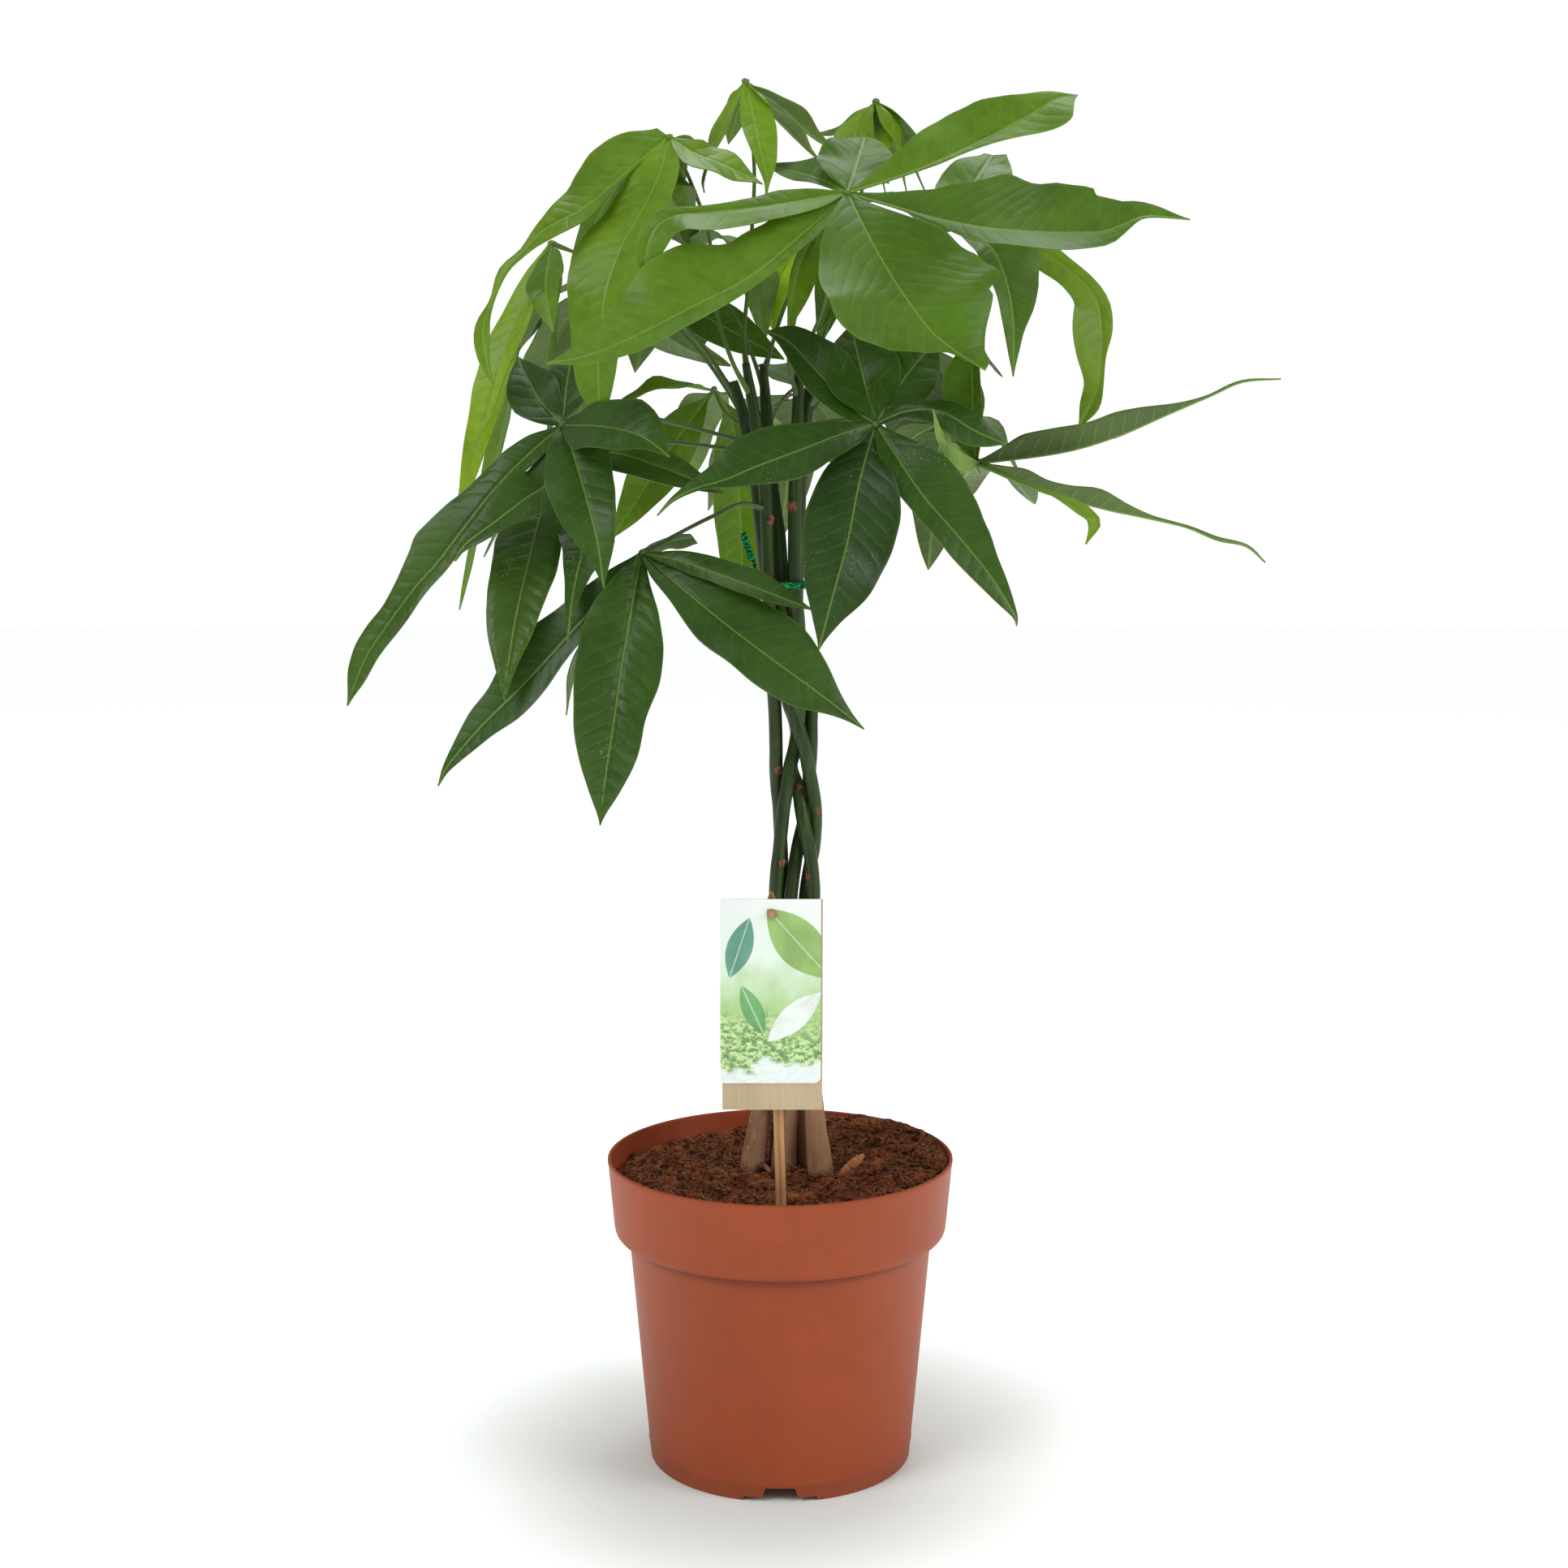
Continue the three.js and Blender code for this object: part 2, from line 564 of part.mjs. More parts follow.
        right: [8, 17, 22, 20, 15, 10.5, 4.5, 2, 3.5, 1.5, 4.5, 4, 0.3],
      },
      {
        rib: [[-56, 616, 44], [-64, 600, 54], [-73, 585, 61], [-79, 570, 65], [-82, 558, 67],
          [-85, 531, 67], [-84, 499, 64]],
        left: [1.5, 9, 14, 18, 20, 18, 13, 7, 0.3],
        right: [1.5, 12, 16, 19, 19.5, 17, 14, 9.5, 0.3],
      },
      {
        up: [0.1, -0.55, 0.8],
        rib: [[-40, 626, 34], [-25, 620, 34], [-8, 612, 32]],
        left: [1, 6, 10, 11, 9, 5, 0.3],
        right: [1, 7, 12, 14, 12, 6, 0.3],
      },
      { width: 24, rib: [[-46, 618, 18], [-42, 594, 6]] },
      { width: 28, rib: [[-76, 610, 16], [-98, 572, 10]] },
      { width: 28, rib: [[-52, 625, 2], [-50, 596, -26]] },
    ],
  },
  {
    name: 'leaf_05', tone: 'youngLeaf', stem: 'stem_4', foot: 512, up: [-0.5, -0.3, 0.8],
    petiole: [[-38, 540, -10], [-62, 564, -14], [-86, 577, -12]], hub: [-106, 585, -6],
    leaflets: [
      {
        width: 10,
        rib: [[-112, 569, 6], [-117, 554, 14], [-125, 535, 20], [-131, 520, 23], [-137, 504, 26],
          [-146, 490, 28]],
      },
      {
        up: [-0.4, -0.8, 0.4],
        rib: [[-118, 560, 0], [-127, 540, 6], [-134.5, 515, 11], [-142, 492, 13], [-149, 469, 13],
          [-154, 452, 12]],
        left: [1.5, 5, 6, 7.5, 8, 7.5, 6, 3, 0.3],
        right: [1.5, 6, 9, 10.5, 10.5, 9, 7, 3, 0.3],
      },
      { width: 20, rib: [[-109, 566, 16], [-106, 545, 26]] },
      { width: 24, rib: [[-118, 555, -18], [-130, 500, -28], [-142, 455, -30], [-152, 415, -30]] },
      { width: 24, rib: [[-104, 560, -26], [-106, 510, -40], [-112, 470, -44]] },
    ],
  },
  {
    name: 'leaf_06', tone: 'darkLeaf', stem: 'stem_1', foot: 492, up: [-0.2, -0.6, 0.75],
    petiole: [[-40, 500, 12], [-70, 507, 32], [-90, 508, 48]], hub: [-102, 501.5, 60],
    leaflets: [
      {
        up: [-0.25, -0.85, 0.45],
        rib: [[-118, 488, 66], [-134, 472, 72], [-151, 451, 77], [-162, 437, 79], [-173, 425, 81],
          [-191, 401, 82], [-198, 389.5, 82], [-206, 369.5, 80]],
        left: [1, 6, 6, 6, 6.3, 6, 6.5, 8, 6.6, 4.7, 0.3],
        right: [1, 7, 9.5, 11, 14, 15, 10, 7.7, 8.3, 5.8, 0.3],
      },
      {
        up: [-0.1, -0.85, 0.5],
        rib: [[-104, 487, 68], [-110, 474, 74], [-119, 468, 78], [-135, 456, 85],
          [-149, 445.5, 88], [-153.5, 438, 88]],
        left: [1, 7, 11, 11, 7, 4.5, 0.3],
        right: [1, 7, 11, 12, 9, 5, 0.3],
      },
      {
        up: [0.05, -0.9, 0.3],
        rib: [[-98, 491, 70], [-91, 467, 86], [-86, 446, 95], [-83.3, 425.4, 98]],
        left: [1.5, 12, 15, 14.5, 13, 11, 8, 4, 0.3],
        right: [1.5, 9, 13.5, 16.5, 16, 14, 9, 4, 0.3],
      },
      {
        up: [-0.1, -0.8, 0.6],
        rib: [[-84, 501, 79], [-69, 498, 89], [-61, 494, 92], [-52, 487, 94]],
        left: [1, 9, 14, 16, 15, 9, 0.3],
        right: [1, 9, 15, 15, 12, 5, 0.3],
      },
      {
        up: [-0.1, -0.8, 0.6],
        rib: [[-111, 511, 52], [-116, 519, 44], [-121, 529, 34], [-122, 533, 30]],
        left: [1, 8, 12, 13, 12, 9, 5, 0.3],
        right: [1, 5, 9, 11, 11, 9, 5, 0.3],
      },
      { width: 22, rib: [[-100, 519, 48], [-97, 535, 34]] },
    ],
  },
  {
    name: 'leaf_07', tone: 'darkLeaf', stem: 'stem_1', foot: 462, up: [-0.1, -0.65, 0.7],
    petiole: [[-17, 465, 12], [-32, 459, 30], [-48, 451, 50]], hub: [-65, 442, 70],
    leaflets: [
      {
        up: [-0.1, -0.85, 0.5],
        rib: [[-84, 421, 78], [-105, 398, 84], [-122, 379.6, 88], [-142, 360, 91],
          [-158, 341.5, 92], [-163.5, 331, 92]],
        left: [1, 5, 8, 7, 7.5, 10, 11, 7, 3.5, 0.3],
        right: [1, 6, 10, 13, 15, 14, 10, 8, 3.5, 0.3],
      },
      {
        up: [0.05, -0.9, 0.3],
        rib: [[-69.4, 421, 84], [-74.6, 392, 98], [-79, 363.6, 106], [-83.6, 334, 108],
          [-86.2, 312, 106]],
        left: [1.5, 6, 12.5, 16.8, 17, 13.5, 12.5, 7, 0.3],
        right: [1.5, 10, 17.5, 20, 19.4, 18, 14, 7, 0.3],
      },
      { width: 20, up: [-0.95, 0.1, 0.3], rib: [[-82, 412, 62], [-97, 388, 62], [-102, 365, 60]] },
      {
        rib: [[-52, 430, 82], [-28, 410, 96], [-3, 391, 105], [21, 373.5, 109], [40, 358.4, 108]],
        left: [1.5, 7, 11, 16, 19.5, 21, 18.5, 12.5, 5, 0.3],
        right: [1.5, 6, 8.5, 12.5, 16, 17, 16, 12.5, 5, 0.3],
      },
      {
        rib: [[-45, 437.5, 80], [-18, 428, 90], [8, 418, 95], [16, 415, 95]],
        left: [1, 4, 7, 8.5, 8, 5, 0.3],
        right: [1, 4, 5.5, 6.5, 6, 4, 0.3],
      },
      {
        up: [0.2, 0.8, -0.5], fold: 0.05,
        rib: [[-54, 446.5, 58], [-41, 449, 50]],
        left: [1, 3, 4, 4.5, 4.5, 4],
        right: [1, 2, 2.5, 3, 3, 2.5],
      },
      { width: 26, rib: [[-72, 420, 56], [-78, 388, 52]] },
    ],
  },
  {
    name: 'leaf_08', tone: 'darkLeaf', stem: 'stem_2', foot: 498, up: [0, -0.85, 0.5],
    petiole: [[17, 502, 22], [34, 504, 48]], hub: [44.7, 502, 70],
    leaflets: [
      {
        rib: [[29, 497.5, 78], [8, 489.5, 84], [-12, 482, 89], [-25, 476.5, 91], [-40, 472, 93],
          [-50, 467, 94], [-58, 459.5, 94]],
        left: [1, 8, 11.5, 13, 11.5, 7, 2.3, 1, 0.3],
        right: [1, 5, 10.5, 14, 15, 13, 7, 2.3, 0.3],
      },
      {
        rib: [[33, 510, 66], [18, 525.5, 58], [4, 540, 52], [-7, 545, 50]],
        left: [1, 7, 9, 9.5, 8, 5, 0.3],
        right: [1, 8, 13, 15, 13, 9, 0.3],
      },
      { width: 34, rib: [[38, 527, 58], [33, 548, 44]] },
      {
        rib: [[53, 516, 64], [65, 532, 56], [74, 540, 50]],
        left: [1, 6, 10, 12, 10, 6, 0.3],
        right: [1, 7, 13, 15, 13, 8, 0.3],
      },
      { width: 24, rib: [[62, 512, 76], [82, 509, 80], [107, 492, 80]] },
      {
        rib: [[53, 489.5, 78], [67, 469, 88], [82, 452, 95], [96, 435.4, 99], [103, 425.5, 100],
          [111, 412.7, 100], [112, 407.5, 99]],
        left: [1.5, 8.5, 16, 19.5, 17, 12, 7, 3.8, 0.3],
        right: [1.5, 6.5, 9, 8.5, 8.8, 9.3, 7.5, 4.3, 0.3],
      },
      {
        rib: [[43, 496, 74], [37, 474, 86], [32, 448, 98], [25.7, 424.5, 102], [18.2, 396, 102]],
        left: [1.5, 4, 15, 20, 20.5, 18.5, 15, 6, 0.3],
        right: [1.5, 7, 15.5, 19, 20, 18, 13.5, 6.5, 0.3],
      },
    ],
  },
  {
    name: 'leaf_09', tone: 'midLeaf', stem: 'stem_5', foot: 486, up: [0.05, -0.35, 0.95],
    petiole: [[35, 486, 4], [65, 486, 20]], hub: [92, 484, 35],
    leaflets: [
      {
        up: [0, 0.45, 0.9], fold: 0.6,
        rib: [[125, 488, 40], [144, 492, 44], [163, 498.5, 47], [180, 506, 49], [201, 515, 50],
          [216, 521.5, 50], [234, 523, 48]],
        left: [1, 5, 9, 11, 11, 11, 10, 9, 6, 2, 1.2, 0.8, 0.3],
        right: [1, 5, 11, 12.5, 11.5, 10, 9, 6, 3, 1.2, 1.2, 0.8, 0.3],
      },
      {
        up: [0, 0.4, 0.9], fold: 0.5,
        rib: [[120, 472, 42], [140, 466, 48], [156, 462, 50], [172.5, 458.5, 52],
          [191.5, 454, 54], [206, 448, 54], [220, 445, 52], [229, 437.5, 50]],
        left: [1, 5, 8, 9, 9, 9, 7, 5, 3, 2, 2, 1, 0.3],
        right: [1, 4, 8, 7.5, 8.5, 9.5, 5, 2, 1.2, 1.5, 2, 1, 0.3],
      },
      {
        up: [-0.1, -0.9, 0.3],
        rib: [[84, 489, 46], [76, 496, 52], [71.5, 509, 54]],
        left: [6, 5, 9, 8, 5, 2, 0.3],
        right: [2, 2.5, 3.5, 3, 2.5, 1, 0.3],
      },
      {
        up: [-0.5, -0.8, 0], fold: 0.4,
        rib: [[90.5, 500, 33], [90, 517, 31], [89.5, 530, 29], [88, 548, 26]],
        left: [1, 6, 10, 12, 13, 12, 8, 3, 0.3],
        right: [1, 4, 5.5, 6, 6, 5, 4, 2, 0.3],
      },
      {
        rib: [[112, 476, 54], [132, 468, 62], [143, 462, 67], [148.5, 456, 70], [144, 446, 72]],
        left: [1, 1.5, 1.5, 1.5, 2, 3, 3.5, 2.5, 0.3],
        right: [1, 1.5, 1.5, 1.5, 3, 5, 6, 3.5, 0.3],
      },
      { width: 26, rib: [[106, 480, 5], [120, 465, -26]] },
      { width: 24, rib: [[86, 477, 4], [80, 462, -28]] },
    ],
  },
  {
    name: 'leaf_10', tone: 'midLeaf', stem: 'stem_5', foot: 508, up: [0.4, -0.2, 0.85],
    petiole: [[26, 530, 4], [40, 556, 8], [58, 580, 12]], hub: [80, 593, 15],
    leaflets: [
      {
        up: [0.3, -0.75, 0.55],
        rib: [[90, 588, 24], [99, 582, 30], [105, 568, 36], [108, 554, 38], [109, 541, 38],
          [109, 524, 36]],
        left: [1, 9, 19, 21, 17, 12, 5.5, 2.5, 0.3],
        right: [1, 5, 8, 10, 9, 7, 5, 3, 0.3],
      },
      {
        up: [0.35, -0.9, 0.2],
        rib: [[110, 587, 18], [129, 576.5, 20], [140, 568, 22], [147, 559, 24], [149.5, 548, 26],
          [150, 529, 27], [148, 516, 26], [140, 500, 22]],
        left: [1, 5, 7, 7, 6, 5, 5.5, 6, 5, 2, 2, 4, 0.5],
        right: [1, 6, 8, 9, 9, 9.5, 11, 15, 16, 13, 8, 6, 0.5],
      },
      {
        up: [0.1, -0.35, 0.9],
        rib: [[85, 604, 4], [92, 616, -10], [98, 625, -24]],
        left: [1, 10, 15, 16, 14, 10, 4],
        right: [1, 10, 15, 17, 16, 13, 7],
      },
      { width: 28, rib: [[75, 600, -16], [68, 588, -48]] },
      { width: 26, rib: [[92, 592, -12], [106, 570, -40]] },
    ],
  },
  {
    name: 'leaf_11', tone: 'darkLeaf', stem: 'stem_4', foot: 488, up: [-0.3, -0.3, 0.9],
    petiole: [[-35, 492, 0], [-65, 494, 10], [-88, 490, 20]], hub: [-103, 482, 28],
    leaflets: [
      {
        up: [-0.1, -0.9, 0.35],
        rib: [[-113, 459, 48], [-119, 437, 66], [-125, 412.5, 82], [-129, 389.5, 94],
          [-131.2, 371.6, 100]],
        left: [1.5, 8, 11, 13.5, 13.5, 12, 9.5, 4, 0.3],
        right: [1.5, 11, 15.5, 16.5, 15, 14, 11.5, 6, 0.3],
      },
      {
        up: [0.1, -0.9, 0.3],
        rib: [[-97, 462, 46], [-93.5, 445, 62], [-96, 432, 76], [-98.5, 420, 88],
          [-100.8, 400.4, 100]],
        left: [1.5, 6, 9, 9, 8, 5, 2, 0.3],
        right: [1.5, 6, 9, 10, 8, 4.5, 2.5, 0.3],
      },
      { width: 26, rib: [[-122, 470, 10], [-140, 440, -2]] },
      { width: 28, rib: [[-108, 470, 0], [-110, 425, -18]] },
      { width: 24, rib: [[-92, 470, 4], [-78, 447, -8]] },
      { width: 18, up: [0, -0.9, 0.3], rib: [[-81, 489, 46], [-53, 481, 54], [-26, 469.5, 56]] },
    ],
  },
  {
    name: 'leaf_12', tone: 'midLeaf', stem: 'stem_3', foot: 516, up: FACING_UP,
    petiole: [[-18, 546, -28], [-32, 568, -48]], hub: [-42, 582, -66],
    leaflets: [
      { width: 32, rib: [[-58, 562, -92], [-68, 526, -112]] },
      { width: 34, rib: [[-42, 562, -98], [-40, 532, -118]] },
      {
        width: 24, up: [0, -0.9, 0.4],
        rib: [[-44, 560, -60], [-35, 552, -56], [-20, 543.5, -54], [2, 532, -54]],
      },
      { width: 20, rib: [[-12, 575, -90], [-9, 555, -100], [-7, 540, -108]] },
      { width: 26, rib: [[-58, 576, -50], [-70, 560, -34]] },
      { width: 26, rib: [[-28, 588, -52], [-10, 576, -40]] },
      { width: 24, rib: [[-50, 594, -54], [-62, 594, -40]] },
    ],
  },
  {
    name: 'leaf_13', tone: 'midLeaf', stem: 'stem_3', foot: 526, up: FACING_UP,
    petiole: [[2, 556, -30], [14, 582, -52]], hub: [22, 600, -72],
    leaflets: [
      { width: 28, up: [0, -0.9, 0.3], rib: [[8, 584, -92], [-3, 562, -100], [-3, 545, -106]] },
      { width: 17, up: [0, -0.9, 0.3], rib: [[24, 582, -80], [23, 560, -84], [18, 538, -86]] },
      { width: 34, rib: [[46, 590, -92], [66, 548, -118]] },
      { width: 28, rib: [[50, 604, -72], [76, 586, -76]] },
      { width: 26, rib: [[2, 606, -64], [-18, 596, -60]] },
    ],
  },
  {
    name: 'leaf_14', tone: 'youngLeaf', stem: 'stem_4', foot: 500, up: [0, -0.2, 0.95],
    petiole: [[-26, 508, -26], [-30, 516, -42]], hub: [-31, 518, -58],
    leaflets: [
      { width: 28, up: [0.2, -1, 0.1], rib: [[-22, 500, -66], [-18.5, 452, -72], [-18, 403, -70]] },
      { width: 26, up: [0, -0.9, 0.3], rib: [[-47, 497, -66], [-60, 478, -72], [-79, 449, -78]] },
      { width: 26, rib: [[-12, 508, -74], [8, 478, -92]] },
      { width: 28, rib: [[-36, 508, -86], [-46, 470, -112]] },
      { width: 24, rib: [[-52, 520, -48], [-76, 512, -40]] },
    ],
  },
  {
    name: 'leaf_15', tone: 'darkLeaf', stem: 'stem_5', foot: 506, up: FACING_UP,
    petiole: [[28, 522, -26], [46, 534, -44]], hub: [60, 540, -58],
    leaflets: [
      { width: 32, rib: [[78, 524, -76], [92, 484, -90]] },
      { width: 34, rib: [[62, 518, -86], [66, 468, -108]] },
      { width: 28, rib: [[44, 522, -66], [36, 484, -74]] },
      { width: 28, rib: [[84, 542, -56], [104, 524, -56]] },
      { width: 26, rib: [[70, 552, -44], [84, 548, -22]] },
    ],
  },
  {
    name: 'leaf_16', tone: 'midLeaf', stem: 'stem_4', foot: 506, up: FACING_UP,
    petiole: [[-38, 536, -26], [-62, 558, -42]], hub: [-80, 566, -54],
    leaflets: [
      { width: 30, rib: [[-102, 548, -66], [-120, 506, -78]] },
      { width: 34, rib: [[-88, 540, -82], [-98, 484, -104]] },
      { width: 24, up: [0, 0.6, 0.8], rib: [[-62, 550, -66], [-45, 538, -74], [-23, 529, -76]] },
      { width: 26, rib: [[-104, 562, -50], [-122, 536, -54]] },
      { width: 26, rib: [[-76, 580, -46], [-80, 586, -24]] },
    ],
  },
  {
    name: 'leaf_17', tone: 'darkLeaf', stem: 'stem_3', foot: 500, up: FACING_UP,
    petiole: [[0, 512, -44], [6, 518, -66]], hub: [10, 518, -90],
    leaflets: [
      { width: 32, rib: [[26, 500, -112], [40, 452, -128]] },
      { width: 34, rib: [[6, 498, -122], [0, 448, -144]] },
      { width: 30, rib: [[-14, 504, -112], [-34, 462, -130]] },
      { width: 24, rib: [[30, 522, -88], [50, 516, -96]] },
      { width: 26, rib: [[2, 526, -74], [-8, 530, -54]] },
    ],
  },
  {
    name: 'leaf_18', tone: 'midLeaf', stem: 'stem_2', foot: 512, up: [0, -0.3, 0.9],
    petiole: [[4, 532, 12], [8, 556, 10], [14, 578, 16]], hub: [20, 592, 24],
    leaflets: [
      {
        up: [0.2, -0.9, 0.3],
        rib: [[12, 582, 30], [7, 568, 34], [4.5, 552, 36], [3.8, 541, 36]],
        left: [1, 5, 8.5, 9, 7, 3, 0.3],
        right: [1, 3, 3, 3, 2, 1, 0.3],
      },
      { width: 13, up: [0, -0.9, 0.3], rib: [[27, 583, 16], [24, 562, 10], [18, 544, 6]] },
      { width: 20, rib: [[4, 586, 30], [-18, 574, 34], [-36, 556, 36]] },
      { width: 20, rib: [[30, 588, 8], [38, 572, -8]] },
      { width: 18, rib: [[16, 596, 8], [12, 596, -14]] },
    ],
  },
  {
    name: 'leaf_19', tone: 'midLeaf', stem: 'stem_5', foot: 496, up: [0.2, 0.1, 0.95],
    petiole: [[36, 502, -18], [58, 506, -32]], hub: [76, 504, -44],
    leaflets: [
      { width: 28, rib: [[92, 486, -60], [98, 450, -70]] },
      { width: 30, rib: [[74, 482, -66], [70, 434, -80]] },
      { width: 26, rib: [[58, 492, -56], [44, 462, -62]] },
      { width: 26, rib: [[96, 502, -44], [112, 480, -42]] },
    ],
  },
];

// ---------------------------------------------------------------- tie and label
// A flat foil band round the bundle of stems, with its two ends twisted into a tail.
function foilTie() {
  const route = [[-9.8, 0], [-8.6, -5.2], [-3, -7.4], [4, -7.8], [11, -6.2], [12.4, 0],
    [12.6, 5], [8.6, 9.8], [0, 9.6], [-7, 9.4], [-10, 6]];
  const loop = new THREE.CatmullRomCurve3(
    route.map(([x, y]) => new THREE.Vector3(x, y, TIE_LEVEL)), true);
  const steps = 26;
  const rings = [];
  for (let i = 0; i < steps; i++) {
    const centre = loop.getPoint(i / steps);
    const ahead = loop.getTangent(i / steps);
    const out = new THREE.Vector3(ahead.y, -ahead.x, 0).normalize();
    rings.push([[-1, 1], [1, 1], [1, -1], [-1, -1]].map(([side, high]) => centre.clone()
      .addScaledVector(out, (side * TIE_THICKNESS) / 2)
      .add(new THREE.Vector3(0, 0, (high * TIE_HEIGHT) / 2))));
  }
  return solidOf(ringLoop(rings)).add(foilTail());
}

// A closed band through rings that follow each other round.
function ringLoop(rings) {
  const count = rings[0].length;
  const position = rings.flat().flatMap((p) => [p.x, p.y, p.z]);
  const index = [];
  for (let i = 0; i < rings.length; i++) {
    const after = (i + 1) % rings.length;
    for (let j = 0; j < count; j++) {
      const next = (j + 1) % count;
      const a = i * count + j;
      const b = i * count + next;
      const c = after * count + j;
      const d = after * count + next;
      index.push(a, b, d, a, d, c);
    }
  }
  const geometry = new THREE.BufferGeometry();
  geometry.setAttribute('position', new THREE.Float32BufferAttribute(position, 3));
  geometry.setIndex(index);
  return geometry;
}

function foilTail() {
  const curve = new THREE.CatmullRomCurve3([
    new THREE.Vector3(-9.3, -3.4, 427),
    new THREE.Vector3(-11.4, -6, 431),
    new THREE.Vector3(-13, -8.4, 438),
    new THREE.Vector3(-17.4, -10, 451.6),
  ]);
  const segments = 11;
  const rings = [];
  for (let i = 0; i <= segments; i++) {
    const t = i / segments;
    const turn = 5 * Math.PI * Math.min(t / 0.55, 1);
    const ahead = curve.getTangentAt(t);
    const side = new THREE.Vector3(0, -1, 0).applyAxisAngle(ahead, turn);
    side.addScaledVector(ahead, -side.dot(ahead)).normalize();
    const flat = new THREE.Vector3().crossVectors(ahead, side);
    const half = 1.2;
    const corners = [[-1, -1], [1, -1], [1, 1], [-1, 1]];
    rings.push(corners.map(([across, high]) => curve.getPointAt(t)
      .addScaledVector(side, across * half)
      .addScaledVector(flat, (high * TIE_THICKNESS) / 2)));
  }
  return solidOf(loft(rings));
}

// An upright sheet: an outline of [x, z] with its front face at the given y.
function uprightSheet(shape, thickness, front) {
  const geometry = new THREE.ExtrudeGeometry(shape, {
    depth: thickness, bevelEnabled: false, curveSegments: 5,
  });
  geometry.rotateX(Math.PI / 2);
  geometry.translate(0, front + thickness, 0);
  return geometry;
}

function pegBody() {
  const head = PEG_HEAD_RADIUS;
  const shank = PEG_SHANK_RADIUS;
  const reach = CARD_THICKNESS + BOARD_THICKNESS + 2 * GAP + 2.2;
  const start = -PEG_HEAD - GAP;
  const outline = [[0, start], [head - 0.4, start], [head, start + 0.4], [head, -GAP],
    [shank, -GAP], [shank, reach], [0, reach]];
  const geometry = new THREE.LatheGeometry(
    outline.map(([radius, height]) => new THREE.Vector2(radius, height)), 10);
  geometry.translate(PEG_X, LABEL_FRONT, PEG_Z);
  return geometry;
}

function pegHole() {
  const reach = 12;
  const radius = PEG_SHANK_RADIUS + GAP;
  const hole = new THREE.CylinderGeometry(radius, radius, reach, 10);
  hole.translate(PEG_X, LABEL_FRONT - 1 + reach / 2, PEG_Z);
  return solidOf(hole);
}

function labelCard() {
  const [left, right] = [CARD_LEFT, CARD_LEFT + CARD_WIDTH];
  const [low, high] = [CARD_TOP - CARD_HEIGHT, CARD_TOP];
  const shape = new THREE.Shape();
  shape.moveTo(left, high);
  shape.lineTo(left, low);
  shape.lineTo(right - CARD_CORNER, low);
  shape.absarc(right - CARD_CORNER, low + CARD_CORNER, CARD_CORNER, -Math.PI / 2, 0, false);
  shape.lineTo(right, high);
  shape.closePath();
  return solidOf(uprightSheet(shape, CARD_THICKNESS, LABEL_FRONT)).subtract(pegHole());
}

function labelBoard() {
  const [left, right] = [BOARD_LEFT, BOARD_LEFT + CARD_WIDTH];
  const high = CARD_TOP - 0.3;
  const low = high - BOARD_HEIGHT;
  const shape = new THREE.Shape();
  shape.moveTo(left, high);
  shape.lineTo(left, low);
  shape.lineTo(right, low);
  shape.lineTo(right, high);
  shape.closePath();
  const front = LABEL_FRONT + CARD_THICKNESS + GAP;
  return solidOf(uprightSheet(shape, BOARD_THICKNESS, front)).subtract(pegHole());
}

// The stake has a groove down its front between two ridges, and a narrow top.
function labelStake(extra = 0) {
  const half = STAKE_WIDTH / 2 + extra;
  const deep = STAKE_THICKNESS + extra;
  const front = -extra;
  const section = [[-half, deep], [-half, front + 0.6], [-half * 0.6, front],
    [-half * 0.2, front], [0, front + STAKE_GROOVE], [half * 0.2, front],
    [half * 0.6, front], [half, front + 0.6], [half, deep]];
  const ring = (z, narrow) => section.map(([x, y]) => new THREE.Vector3(x * narrow, y, z));
  const length = STAKE_TOP - STAKE_END;
  const geometry = loft([ring(-length, 1), ring(-STAKE_TAPER, 1), ring(0, 0.35)]);
  geometry.rotateY(-STAKE_LEAN);
  const y = LABEL_FRONT + CARD_THICKNESS + BOARD_THICKNESS + 2 * GAP;
  const topX = STAKE_FOOT_X - (STAKE_TOP - SOIL_TOP) * Math.tan(STAKE_LEAN);
  geometry.translate(topX, y, STAKE_TOP);
  return solidOf(geometry);
}

// ---------------------------------------------------------------- the whole plant
const stemLines = {};
const stemRooms = {};
for (const [name, route] of Object.entries(STEM_ROUTES)) {
  stemLines[name] = stemCurve(route);
  stemRooms[name] = stem(stemLines[name], GAP);
  addNode(name, stem(stemLines[name]), 'stem');
}

const stakeRoom = labelStake(GAP);
addNode('pot', pot(), 'pot');
addNode('soil', soil([...Object.values(stemRooms), stakeRoom]), 'soil');

for (const spec of LEAVES) {
  const grown = leaf(spec, stemLines[spec.stem], stemRooms[spec.stem]);
  addNode(spec.name, grown, spec.tone);
}

addNode('foil_tie', foilTie(), 'foil');
addNode('label_stake', labelStake().subtract(pegHole()), 'wood');
addNode('label_board', labelBoard(), 'wood');
addNode('label_card', labelCard(), 'card');
addNode('label_peg', solidOf(pegBody()), 'wood');

export default moneyTree;
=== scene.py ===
"""Potted money tree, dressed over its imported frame.

Lengths in the tables are millimetres. Leaf places are read from the front as x and z in the
plane of the trunk, then slid along the line to the eye by a depth in front of that plane.
"""
import math
import random

import bmesh
import bpy
from bpy.props import FloatProperty, FloatVectorProperty, IntProperty, PointerProperty
from mathutils import Matrix, Vector, noise


